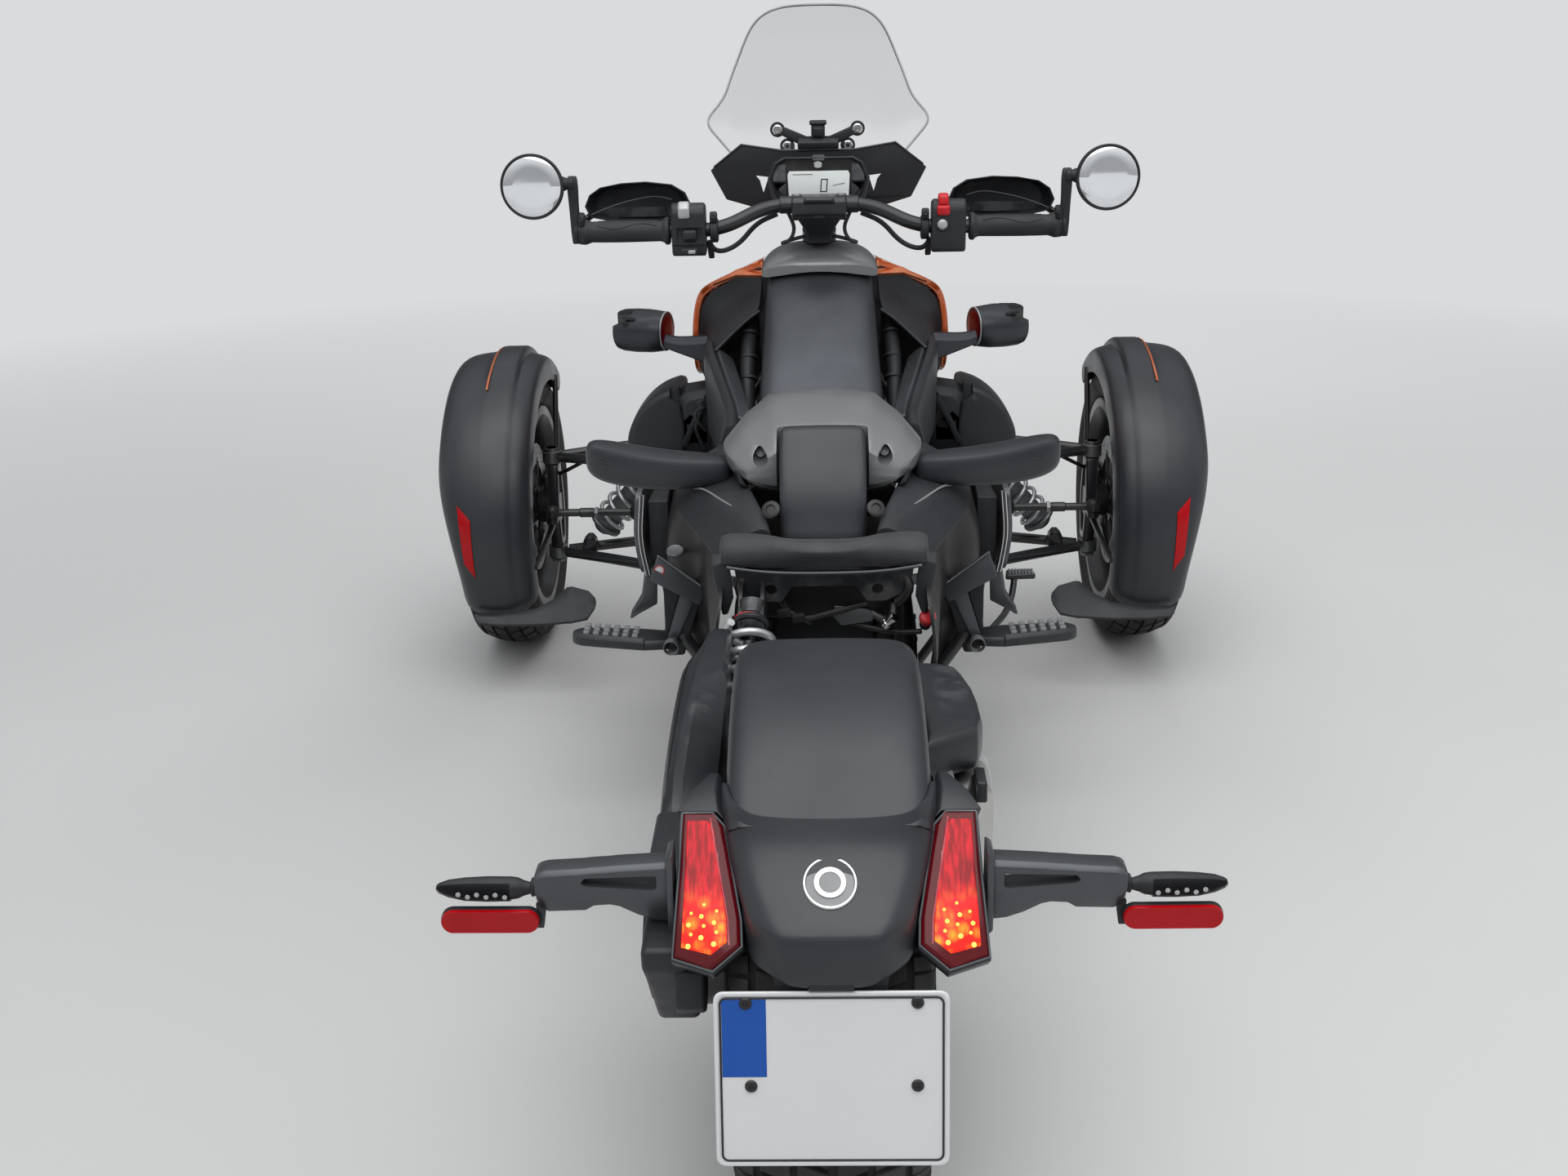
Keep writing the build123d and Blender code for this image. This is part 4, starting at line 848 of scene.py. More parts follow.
def fenderRadius(x, angle):
    ridge = fenderLook["ridge"]
    plain = [radius for x, radius in fenderLook["plain"]]
    best = None
    for (x0, ridge0), (x1, ridge1), plain0, plain1 in zip(ridge, ridge[1:], plain, plain[1:]):
        if x0 <= x <= x1:
            share = (x - x0) / (x1 - x0)
            rear = ease(angle, 98, 130)
            best = (ridge0 + (ridge1 - ridge0) * share) * (1 - rear) + (plain0
                + (plain1 - plain0) * share) * rear
    return best


def onFender(x, radius, angle):
    turn = math.radians(angle)
    return (frontWheel.x + fenderShift(x, angle), frontWheel.y + radius * math.cos(turn),
            frontWheel.z + radius * math.sin(turn))


def fenderRing(angle):
    rear = ease(angle, 98, 130)
    groove = 6 * ease(angle, 116, 128) * (1 - ease(angle, 142, 160))
    outside = []
    for (x0, r0), (x1, r1) in zip(fenderLook["ridge"], fenderLook["plain"]):
        x, radius = x0 + (x1 - x0) * rear, r0 + (r1 - r0) * rear
        if x0 == 88:
            radius -= groove
        outside.append((x, radius))
    inside = [(x * 0.95 + 1.5, radius - fenderLook["wall"]) for x, radius in outside[::-1]]
    inside[0] = (94, 266)
    inside[-1] = (-81, 268)
    inside[-2] = (-80, 304)
    return [onFender(x, radius, angle) for x, radius in outside + inside]


def makeFender():
    angles = list(range(fenderLook["start"], fenderLook["end"] + 1, fenderLook["step"]))
    angles[-1] = fenderLook["end"]
    shell = loft("fenderShell", [fenderRing(angle) for angle in angles],
        {5: 0.6, 6: 0.8, 7: 0.9, 8: 0.9, 9: 0.6})
    smooth(shell, 1)
    stripe = []
    for angle in range(84, 121, 3):
        stripe.append([onFender(x, radius, angle) for x, radius in
                       ((5.2, 342.2), (9.4, 340.8), (9.0, 339.2), (5.2, 340.4))])
    pinstripe = loft("pinstripe", stripe)
    rings = []
    for angle in range(165, 188, 4):
        slide = (angle - 167) * 0.3
        corners = []
        for x in (32, 59):
            corners.append((x + slide, fenderRadius(x + slide, angle)))
        (xa, ra), (xb, rb) = corners
        lean = 2.6 if angle in (165, 185) else 0
        ring = [onFender(xa, ra - 1, angle + lean), onFender(xa, ra + 1.8, angle + lean),
                onFender(xb, rb + 1.8, angle - lean), onFender(xb, rb - 1, angle - lean)]
        rings.append(ring)
    reflector = loft("sideReflector", rings)
    bevel(reflector, 0.8)
    flapRows = [  # x, front edge (y, z), rear edge (y, z)
        (449, (553, 190), (549, 186)), (452, (562, 194), (545, 178)), (466, (578, 202), (535, 160)),
        (500, (588, 208), (532, 154)), (510, (588, 207), (532, 154)), (532, (572, 190), (531, 152)),
        (570, (556, 174), (530, 150)), (640, (551, 168), (530, 150)), (680, (550, 168), (532, 153)),
        (690, (552, 170), (538, 160))]
    rings = []
    for x, (y0, z0), (y1, z1) in flapRows:
        rings.append([(x, y0, z0), (x, (y0 + y1) / 2, (z0 + z1) / 2 + 3), (x, y1, z1), (x, y1, z1 - 5),
                      (x, (y0 + y1) / 2, (z0 + z1) / 2 - 3), (x, y0, z0 - 6)])
    flap = loft("mudFlap", rings)
    bevel(flap, 1.6, 3, 20)
    # both stays end on the fender's inner wall, the rear one below the tie rod
    stays = [wire("stay", [(568, 898, 342), (570, 951, 482), (571, 982, 550)], 6),
             wire("stay", [(568, 831, 268), (570, 770, 256), (571, 584, 250)], 6)]
    return shell, pinstripe, reflector, flap, joined(stays, "stays")


def makeFenders():
    shell, pinstripe, reflector, flap, stays = makeFender()
    coat("fenderGrey", shell)
    coat("orangePaint", pinstripe)
    coat("reflectorRed", reflector)
    coat("mouldedBlack", flap)
    coat("powderBlack", stays)
    right = joined([shell, pinstripe, reflector, flap, stays], "fenderRight")
    left = mirrored(right, "fenderLeft")
    settle(right, "knuckle_right", None, ["fender_right"])
    settle(left, "knuckle_left", None, ["fender_left"])


makeFenders()
print("fenders done")

# Body pieces. A row is a station Y and half a front outline from the bottom up
def stations(rows):  # rows of y and the outline of (x, z) there
    return [[(x, y, z) for x, z in points] for y, points in rows]


def arch(y, half):
    return [(x, y, z) for x, z in half] + [(-x, y, z) for x, z in half[::-1]]


def archLines(count, weights):
    lines = dict(weights)
    for spot, weight in weights.items():
        lines[2 * count - 1 - spot] = weight
    return lines


def grid(name, rows, thick, levels=2, side=-1.0, firm=None):  # an open sheet; firm is a crisp row
    clearSelection()
    bpy.ops.mesh.primitive_grid_add(x_subdivisions=len(rows[0]) - 1, y_subdivisions=len(rows) - 1)
    piece = bpy.context.object
    piece.name = name
    for vertex, point in zip(piece.data.vertices, [point for row in rows for point in row]):
        vertex.co = mm(point)
    if firm is not None:
        crease = piece.data.attributes.new("crease_edge", "FLOAT", "EDGE")
        for edge in piece.data.edges:
            if all(spot // len(rows[0]) == firm for spot in edge.vertices):
                crease.data[edge.index].value = 1.0
    if levels:
        smooth(piece, levels)
    change(piece, "SOLIDIFY", thickness=thick * 0.001, offset=side)
    tidyNormals(piece)
    return piece


def screw(name, spot, direction, radius, height=3.0):
    return turned(name, [(-2, radius), (height - 1, radius), (height, radius - 1), (height, radius * 0.62),
                         (height - 1.6, radius * 0.5)], spot, direction, 16)


consoleRows = [  # y, base half width, waist half width, crown z, fall of the crown to its edge
    (352, 104, 92, 869, 9), (300, 104, 94, 834, 13), (250, 106, 97, 796, 18), (200, 108, 100, 754, 24),
    (160, 111, 105, 712, 28), (130, 116, 111, 674, 30), (108, 120, 117, 646, 30)]


def makeConsole():
    rings = []
    for y, base, waist, crown, fall in consoleRows:
        low = crown - fall - 16
        rings.append(arch(y, [(base, 596), (waist + 1, 596 + 0.5 * (low - 596)), (waist, low),
                              (waist * 0.965, crown - fall - 2), (waist * 0.8, crown - fall * 0.5),
                              (waist * 0.45, crown - fall * 0.14), (waist * 0.14, crown)]))
    console = loft("consoleLook", rings, None, 1.0)
    smooth(console)
    settle(console, "chassis", materials["consoleGrey"], ["console"])


capRows = [
    (331, [(30, 865), (70, 862), (93, 855), (98, 858), (99, 866), (92, 872), (64, 876), (28, 877)]),
    (344, [(30, 866), (70, 863), (93, 857), (99, 861), (100, 871), (92, 881), (62, 890), (28, 892)]),
    (370, [(30, 868), (70, 866), (92, 860), (99, 866), (99, 877), (88, 892), (60, 903), (28, 906)]),
    (408, [(28, 870), (66, 870), (88, 866), (95, 870), (94, 880), (82, 895), (56, 907), (26, 910)]),
    (440, [(24, 872), (58, 872), (78, 869), (85, 872), (83, 880), (70, 891), (46, 899), (20, 901)]),
    (458, [(22, 873), (52, 873), (70, 870), (77, 873), (74, 878), (62, 885), (40, 890), (18, 891)])]


def makeCap():
    cap = loft("capLook", [arch(y, half) for y, half in capRows], archLines(8, {3: 0.6}), 0.7)
    smooth(cap)
    nut = turned("stemNut", [(-14, 24), (6, 24), (9, 21), (9, 16)], (0, 400, 905), (0, -0.42, 0.906), 6)
    bevel(nut, 1.5)
    coat("cowlGrey", cap)
    coat("powderBlack", nut)
    fit([cap, nut], "capLook", ["cap"])


seatRows = [
    (106, [(92, 560), (97, 590), (96, 618), (82, 634), (46, 640), (15, 641)]),
    (66, [(96, 548), (108, 572), (108, 588), (92, 598), (52, 598), (17, 597)]),
    (10, [(98, 546), (120, 568), (121, 582), (104, 592), (58, 591), (19, 590)]),
    (-38, [(98, 546), (122, 568), (124, 586), (108, 600), (60, 602), (20, 602)])]


def inflate(piece, voxel, pressure, cap, frames=20):
    change(piece, "REMESH", mode="VOXEL", voxel_size=voxel * 0.001)
    start = [vertex.co.copy() for vertex in piece.data.vertices]
    pick(piece)
    bpy.ops.object.modifier_add(type="CLOTH")
    cloth = piece.modifiers[-1]
    cloth.settings.use_pressure = True
    cloth.settings.uniform_pressure_force = pressure
    cloth.settings.effector_weights.gravity = 0
    cloth.settings.quality = 5
    cloth.settings.tension_stiffness = 15
    cloth.settings.bending_stiffness = 0.5
    for number in range(1, frames + 1):
        bpy.context.scene.frame_set(number)
    bpy.ops.object.modifier_apply(modifier=cloth.name)
    bpy.context.scene.frame_set(1)
    for vertex, first in zip(piece.data.vertices, start):
        move = vertex.co - first
        if move.length > cap * 0.001:
            vertex.co = first + move.normalized() * cap * 0.001
    return piece


def makeSeat():
    cushion = loft("seatLook", [arch(y, half) for y, half in seatRows], archLines(6, {0: 0.7, 3: 0.3}), 0.6)
    smooth(cushion)
    inflate(cushion, 5, 4.0, 7)
    smooth(cushion, 1)
    settle(cushion, "chassis", materials["seatCover"], ["seat"], 0)
    piping = []
    for side in (1, -1):
        piping.append(wire("piping", [(side * 98, 104, 630), (side * 114, 66, 592), (side * 126, 10, 584),
                                      (side * 130, -36, 594)], 2.2))
    settle(joined(piping, "seatPiping"), "chassis", materials["gripRubber"])


cowlRows = [  # the top facet narrows back to the tongue; spots 3 and 4 are its outer and inner creases
    (-40, [(104, 600), (112, 640), (114, 690), (104, 716), (82, 742), (30, 750)]),
    (-66, [(104, 602), (126, 652), (132, 694), (114, 722), (78, 750), (30, 754)]),
    (-110, [(104, 606), (140, 664), (144, 694), (118, 722), (70, 744), (30, 746)]),
    (-150, [(102, 614), (143, 668), (147, 691), (118, 714), (66, 733), (30, 735)]),
    (-186, [(98, 634), (132, 664), (134, 682), (108, 700), (63, 722), (30, 724)]),
    (-214, [(84, 646), (108, 658), (106, 668), (90, 684), (62, 700), (30, 702)])]


def makeTailCowl():
    shell = loft("tailCowlLook", [arch(y, half) for y, half in cowlRows],
                 archLines(6, {1: 0.6, 2: 0.75, 3: 0.8, 4: 0.75}), 0.85)
    smooth(shell)
    slot = slab("slot", [(-65, -173), (65, -173), (67, -300), (-67, -300)], "Z", 560, 790)
    bevel(slot, 5, 3)
    cut(shell, slot)
    pockets = []
    for side in (1, -1):
        pocket = loft("pocket", [[(side * (89 + a * wide), -236 + depth, 688 + b * tall + lift)
                                  for a, b in ((0, -1), (0.8, -0.6), (1, 0.1), (0.6, 0.9), (0.1, 1.5),
                                               (-0.5, 0.9), (-1, 0.1), (-0.8, -0.6))]
                                 for depth, wide, tall, lift in ((0, 15, 15, 0), (44, 11, 12, 0),
                                                                 (62, 9, 9, 0))])
        smooth(pocket, 1)
        pockets.append(pocket)
    for pocket in pockets:
        cut(shell, pocket)
    bevel(shell, 1.0, 2, 40)
    bolts = [screw("pocketBolt", (side * 89, -178, 688), (0, -0.9, 0.45), 7, 5) for side in (1, -1)]
    lip = loft("cowlLip", [[(132 - 4 * k, -160 - 22 * k, 668 - 1.5 * k + 1.2 * k * k),
                            (124 - 5 * k, -158 - 22 * k, 650 + 2.0 * k),
                            (118 - 5 * k, -166 - 20 * k, 636 + 4.0 * k),
                            (128 - 4 * k, -172 - 20 * k, 650 + 2.0 * k)] for k in (0, 0.6, 1.2, 1.8, 2.4)])
    bevel(lip, 2.0)
    lips = bothSides(lip, "cowlLip")
    coat("cowlGrey", shell)
    coat("mouldedBlack", lips)
    coat("castGrey", joined(bolts, "pocketBolts"))
    fit([shell, lips, bolts[0]], "tailCowlLook", ["tail_cowl"], 40)


tonguePath = [  # y, z of the skin, half width; then the flat rolls down between the tail sides
    (-168, 722, 58), (-180, 728, 59), (-196, 729, 60), (-206, 721, 60), (-221, 702, 61), (-244, 670, 61),
    (-260, 640, 61), (-270, 612, 60), (-277, 594, 59), (-280, 580, 58)]


def makeTongue():
    rings = []
    for index, (y, z, half) in enumerate(tonguePath):
        y0, z0 = tonguePath[max(index - 1, 0)][:2]
        y1, z1 = tonguePath[min(index + 1, len(tonguePath) - 1)][:2]
        length = math.hypot(y1 - y0, z1 - z0)
        ny, nz = -(z0 - z1) / length, -(y1 - y0) / length
        def place(x, depth):
            return (x, y - ny * depth, z - nz * depth)
        outline = [(half, 18), (half, 6), (half - 4, 2), (half - 12, 0), (14, -0.6), (-14, -0.6),
                   (-half + 12, 0), (-half + 4, 2), (-half, 6), (-half, 18)]
        rings.append([place(x, depth) for x, depth in outline])
    tongue = loft("tongueLook", blendRings(rings, 2), {3: 0.5, 6: 0.5}, 0.8)
    bevel(tongue, 1.2, 2, 30)
    settle(tongue, "chassis", materials["fenderGrey"], ["tail_tongue"], 30)


sideRows = [  # right tail side from its upper inner edge over the ridge to the lower edge
    (-40, [(118, 690), (150, 668), (196, 642), (222, 612), (214, 596), (130, 590)]),
    (-110, [(112, 668), (146, 652), (192, 628), (222, 606), (214, 588), (130, 582)]),
    (-180, [(100, 656), (132, 646), (180, 640), (212, 598), (200, 582), (124, 576)]),
    (-250, [(84, 648), (112, 640), (136, 634), (180, 590), (166, 574), (106, 570)]),
    (-300, [(70, 636), (98, 632), (108, 628), (158, 582), (148, 568), (92, 568)]),
    (-330, [(64, 622), (88, 622), (98, 618), (146, 578), (138, 564), (84, 566)])]


def makeTailSides():
    side = loft("tailSideLook", stations(sideRows),
                {2: 0.85, 3: 0.8, 4: 0.6, 1: 0.3}, 0.7)
    smooth(side)
    blade = loft("blade", [[(156, -334, 590), (132, -340, 592), (130, -352, 586), (154, -352, 578)],
                           [(152, -336, 560), (128, -342, 562), (126, -356, 560), (150, -356, 556)],
                           [(146, -338, 532), (126, -344, 534), (124, -358, 532), (144, -358, 528)],
                           [(141, -350, 508), (133, -352, 510), (132, -359, 509), (140, -359, 507)]])
    bevel(blade, 3.0, 3)
    # a mid grey wire along the ridge paints the light line on its edge: a painted highlight, not a groove
    groove = wire("edgeBead", [(206, -60, 622), (196, -130, 618), (176, -186, 641), (140, -240, 634),
                               (106, -288, 629), (96, -326, 616)], 1.6)
    plug = turned("sidePlug", [(0, 13), (2.5, 13), (4, 11), (4, 7), (2, 6)], (72, -300, 640),
        (0.25, -0.75, 0.6), 24)
    coat("mouldedBlack", side, blade)
    # mid grey on the ridge wire: painted highlight
    coat("midGrey", groove)
    coat("inkBlack", plug)
    fitPair([side, blade, groove, plug], "tailSidesLook", ["tail_sides"], 40)


padRows = [  # x, size of the outline there
    (0, 1.0), (40, 1.0), (80, 1.0), (112, 0.98), (132, 0.92), (142, 0.78)]
padShape = [  # y, z from the upper front edge over the face to the lower edge
    (-326, 618), (-336, 621), (-350, 612), (-361, 598), (-366, 584), (-364, 574), (-352, 571),
    (-330, 582)]


def makePad():
    rings = []
    for x, keep in [(-x, keep) for x, keep in padRows[:0:-1]] + padRows:
        notch = 6 * ease(52 - abs(x), 0, 10)
        ring = []
        for y, z in padShape:
            drop = notch if z > 610 else 0
            bow = 4.0 * (abs(x) / 140) ** 2 if z < 600 else 0
            ring.append((x, -342 + (y + 342) * keep, 596 + (z - drop + bow - 596) * keep))
        rings.append(ring)
    pad = loft("padLook", rings, {0: 0.3, 5: 0.2}, 0.4)
    smooth(pad)
    inflate(pad, 4, 4.0, 5)
    smooth(pad, 1)
    settle(pad, "chassis", materials["seatCover"], ["tail_valance"], 0)
    # a satin grey wire along the pad's lower edge paints its bright edge: a painted highlight
    bead = wire("padBead", [(-132, -362, 579), (-90, -369, 573), (0, -370, 571), (90, -369, 573),
                (132, -362, 579)], 2.4)
    settle(bead, "chassis", materials["satinGrey"])


handleRows = [  # x, y from front to back, z from below to above
    (134, -168, -136, 640, 672), (146, -176, -126, 636, 677), (176, -183, -120, 632, 681),
    (214, -185, -117, 630, 684), (252, -182, -112, 630, 688), (290, -176, -107, 632, 694),
    (322, -168, -102, 638, 698), (340, -158, -102, 646, 697), (348, -146, -110, 658, 690)]


def makeHandles():
    rings = []
    for x, y0, y1, z0, z1 in handleRows:
        my, mz = (y0 + y1) / 2, (z0 + z1) / 2
        hy, hz = (y1 - y0) / 2, (z1 - z0) / 2
        ring = []
        for a, b in ((-1, -0.35), (-0.82, -0.86), (-0.3, -1), (0.3, -1), (0.82, -0.86), (1, -0.35), (1, 0.35),
                     (0.82, 0.82), (0.3, 1), (-0.3, 1), (-0.86, 0.86), (-1, 0.35)):
            ring.append((x, my + a * hy, mz + b * hz))
        rings.append(ring)
    handle = loft("handleLook", rings, {10: 0.45}, 0.2)
    smooth(handle)
    seam = wire("handleSeam", [(176, -181, 662), (214, -183, 663), (252, -179, 666), (290, -173, 670),
                               (322, -169, 674)], 0.9)
    plug = turned("handlePlug", [(-1, 4), (1, 4), (1.6, 3)], (196, -180.5, 655), (0, -1, -0.1), 12)
    coat("fenderGrey", handle)
    coat("softBlack", seam, plug)
    fitPair([handle, seam, plug], "handlesLook", ["grab_handles"], 40)


makeConsole()
makeCap()
makeSeat()
makeTailCowl()
makeTongue()
makeTailSides()
makePad()
makeHandles()
print("console, seat and tail done")

# Flanks: orange shell, concave dash, side covers and struts, right-hand side first
# y at the inner edge, y at the outer edge, then X and Z from the inner top edge round to the lower edge
panelRows = [
    (362, 448, [(99, 882), (150, 858), (196, 834), (214, 818), (225, 790), (230, 740),
        (229, 700), (226, 672)]),
    (420, 500, [(98, 878), (150, 852), (198, 826), (216, 808), (227, 780), (232, 730),
        (231, 690), (222, 652)]),
    (520, 580, [(96, 867), (150, 840), (200, 808), (216, 792), (227, 764), (232, 716),
        (229, 680), (214, 640)]),
    (640, 680, [(92, 840), (144, 808), (192, 776), (207, 760), (218, 732), (224, 700),
        (220, 660), (206, 622)]),
    (760, 780, [(88, 800), (136, 768), (182, 738), (196, 724), (208, 706), (215, 680),
        (212, 640), (196, 600)]),
    (960, 960, [(74, 716), (112, 700), (148, 680), (160, 670), (174, 654), (184, 632),
        (182, 606), (172, 577)]),
    (1058, 1058, [(60, 660), (86, 652), (110, 644), (120, 638), (136, 626), (150, 612),
        (148, 598), (140, 582)])]
dashRows = [  # the rim under the orange band, the bowl and the lip of the arch
    [(97, 362, 873), (128, 380, 857), (160, 402, 840), (194, 428, 816), (209, 440, 796), (216, 446, 760),
     (218, 448, 715), (216, 446, 668)],
    [(99, 366, 856), (130, 390, 838), (162, 410, 820), (190, 428, 798), (202, 436, 778), (207, 438, 744),
     (208, 436, 706), (206, 430, 662)],
    [(101, 364, 834), (130, 386, 816), (156, 398, 798), (180, 410, 778), (192, 412, 762), (199, 410, 734),
     (201, 404, 700), (200, 398, 656)],
    [(104, 348, 812), (126, 350, 800), (148, 352, 783), (168, 348, 765), (183, 342, 749), (192, 346, 726),
     (195, 350, 696), (194, 352, 650)],
    [(106, 334, 800), (124, 328, 788), (145, 320, 770), (163, 312, 754), (178, 304, 741), (187, 300, 720),
     (190, 300, 690), (188, 300, 646)]]
coverRows = [  # y, then X and Z of the wall from its inner foot over the top to its outer foot
    (446, [(184, 600), (184, 734), (192, 744), (203, 738), (208, 716), (205, 600)]),
    (400, [(184, 600), (183, 734), (190, 744), (201, 738), (206, 716), (203, 600)]),
    (300, [(178, 600), (177, 730), (184, 742), (195, 736), (200, 714), (197, 600)]),
    (180, [(156, 600), (155, 712), (162, 723), (174, 717), (180, 694), (178, 600)]),
    (60, [(134, 600), (134, 694), (141, 704), (153, 698), (160, 674), (160, 600)]),
    (0, [(130, 600), (130, 692), (136, 702), (149, 696), (157, 670), (157, 600)]),
    (-44, [(130, 602), (130, 690), (135, 698), (147, 692), (155, 668), (156, 602)])]
strutRows = [
    (318, [(181, 700), (181, 738), (176, 742), (152, 722), (148, 712), (150, 690)]),
    (260, [(172, 690), (172, 728), (167, 733), (143, 714), (139, 704), (141, 680)]),
    (160, [(155, 674), (155, 714), (150, 719), (128, 702), (124, 692), (126, 668)]),
    (60, [(137, 656), (137, 698), (132, 703), (115, 690), (111, 680), (113, 656)]),
    (2, [(131, 650), (131, 694), (127, 698), (112, 688), (108, 678), (109, 652)])]
podRows = [  # y, scale about the pod's lower inner corner, rear face to front face
    (346, 0.90), (349, 0.965), (356, 1.0), (430, 1.0), (500, 0.93), (540, 0.84), (560, 0.72)]
podShape = [(243, 547), (241, 600), (250, 640), (252, 660), (260, 662), (284, 655), (311, 637), (331, 610),
            (344, 582), (347, 566), (343, 546), (300, 544)]


def makePanels():
    outer = []
    for inner, outerY, points in panelRows:
        row = []
        for index, (x, z) in enumerate(points):
            share = min(index / 3.0, 1.0)
            row.append((x, inner + (outerY - inner) * share, z))
        outer.append(row)
    shell = grid("panelLook", outer, 11)
    bevel(shell, 1.6, 3, 50)
    edge = wire("panelEdge", [(101, 360, 873), (150, 394, 848), (196, 428, 822), (213, 444, 800),
                              (220, 449, 760), (221, 449, 712), (219, 448, 676)], 1.8)
    wedge = loft("panelWedge", [[(x, y0 - 5, z0 + 5), (x, y1 - 3, z1 + 3), (x, y1 + 3, z1), (x, y0 + 3, z0)]
                                for x, y0, z0, y1, z1
                                in ((99, 360, 852, 384, 873), (145, 379, 850, 391, 859),
                                    (186, 398, 832, 401, 834))])
    coat("orangePaint", shell, edge, wedge)
    fitPair([shell, edge, wedge], "panelsLook", ["side_panels"], 40)


def makeDash():
    bowl = grid("dashLook", dashRows, 3, 2, 1.0)
    lip = wire("archLip", [(104, 336, 799), (124, 328, 787), (145, 320, 769), (163, 312, 753),
               (180, 302, 738)], 3.2)
    walls = loft("coverLook", blendRings(stations(coverRows), 3))
    bevel(walls, 2.2, 2, 40)
    filler = slab("consoleFiller", [(86, 700), (104, 700), (106, 800), (102, 858), (92, 864), (84, 850)],
        "Y", 366, 372)
    bridgeRows = ((352, 246, 640), (366, 254, 652), (420, 256, 656), (452, 246, 640))
    bridge = loft("podBridge", [[(190, y, 530), (reach - 4, y, 536), (reach, y, 560), (reach, y, top - 14),
                                 (reach - 14, y, top), (190, y, top + 8)] for y, reach, top in bridgeRows])
    bevel(bridge, 3, 3, 30)
    notchBox = slab("bridgeNotch", [(206, 600), (238, 596), (238, 584), (206, 586)], "Y", 340, 362)
    cut(bridge, notchBox)
    under = loft("bridgeUnder", [[(182, y, 470), (b - 22, y, 486), (b, y, 548), (182, y, 560)]
                                 for y, b in ((362, 240), (440, 244))])
    bevel(under, 3, 3, 30)
    wall = slab("cavityWall", [(101, 600), (184, 600), (184, 738), (150, 764), (101, 800)], "Y", 392, 396)
    tray = slab("cavityTray", [(100, 396), (186, 396), (134, -40), (100, -40)], "Z", 600, 606)
    hose = wire("cavityHose", [(122, 384, 770), (124, 330, 742), (126, 280, 690), (124, 230, 640)],
        13, "NURBS", 8)
    ribs = [turned("hoseRing", [(-3, 15), (-2, 16), (2, 16), (3, 15)], (123, y, z), (0.02, -0.6, -0.8), 20)
            for y, z in ((352, 756), (312, 722), (282, 692))]
    coat("mouldedBlack", bowl, lip, walls, bridge, under)
    coat("softBlack", filler, wall, tray, hose, *ribs)
    fitPair([bowl, lip, walls, bridge, under, filler, wall, tray, hose] + ribs, "dashLook",
        ["side_covers"], 40)


def makeStruts():
    strut = loft("strutLook", blendRings(stations(strutRows), 2))
    bevel(strut, 2.4, 3, 30)
    coat("satinGrey", strut)
    fitPair([strut], "strutsLook", ["side_struts"], 30)


def makePods():
    rings = []
    for y, scale in podRows:
        rings.append([(243 + (x - 243) * scale, y, 546 + (z - 546) * scale) for x, z in podShape])
    shell = loft("podLook", rings, {3: 0.8, 4: 0.8, 0: 0.7, 10: 0.5}, 0.3)
    smooth(shell)
    notch = slab("podNotch", [(238, 700), (238, 636), (246, 630), (266, 644), (268, 700)], "Y", 300, 372)
    bevel(notch, 2)
    cut(shell, notch)
    bevel(shell, 0.8, 2, 50)
    step = slab("podStep", [(200, 560), (246, 560), (246, 604), (232, 618), (206, 600), (200, 590)],
        "Y", 352, 430)
    bevel(step, 3, 3)
    lug = between("podLug", (190, 380, 622), (250, 380, 622), 11, 24, 2)
    bracket = loft("podBracket", [[(198, 330, 640), (204, 330, 652), (204, 350, 652), (198, 350, 640)],
                                  [(222, 330, 598), (230, 330, 604), (230, 350, 604), (222, 350, 598)],
                                  [(238, 334, 560), (248, 334, 562), (248, 352, 562), (238, 352, 560)]])
    bevel(bracket, 1.5)
    coat("mouldedBlack", shell)
    coat("softBlack", step, lug, bracket)
    half = joined([shell, step, lug, bracket], "podLook")
    pods = bothSides(half, "podsLook")
    loom = [wire("loom", [(-212, 338, 640), (-214, 330, 616), (-222, 332, 596), (-216, 336, 574),
                          (-208, 340, 556)], 3.2),
            wire("loom", [(-206, 340, 636), (-226, 328, 622), (-214, 326, 604), (-204, 332, 590)], 2.4),
            turned("loomPlug", [(0, 7), (1, 8), (14, 8), (15, 7)], (-212, 332, 644), (0.3, 0, -0.95), 16),
            screw("podScrew", (-190, 345, 560), (0, -1, 0.2), 5, 4)]
    coat("gripRubber", joined(loom, "loom"))
    fit([pods, loom[0]], "podsLook", ["side_pods"], 40)


cupAxis = Vector((0.955, 0.296, 0)).normalized()
cupSide = Vector((-0.296, 0.955, 0)).normalized()
cupRows = [  # distance along the cup, half depth, half height, lift
    (-46, 29, 30, 1), (-45, 33, 34, 1), (-41, 35.5, 37, 0.5), (-20, 38, 40, 0), (10, 39, 41, 0),
    (34, 37.5, 39.5, 0),
    (44, 34.5, 36, 0), (46, 32, 33, 0)]


def onCup(along, side, up):
    return tuple(Vector((318, 456, 745)) + cupAxis * along + cupSide * side + Vector((0, 0, up)))


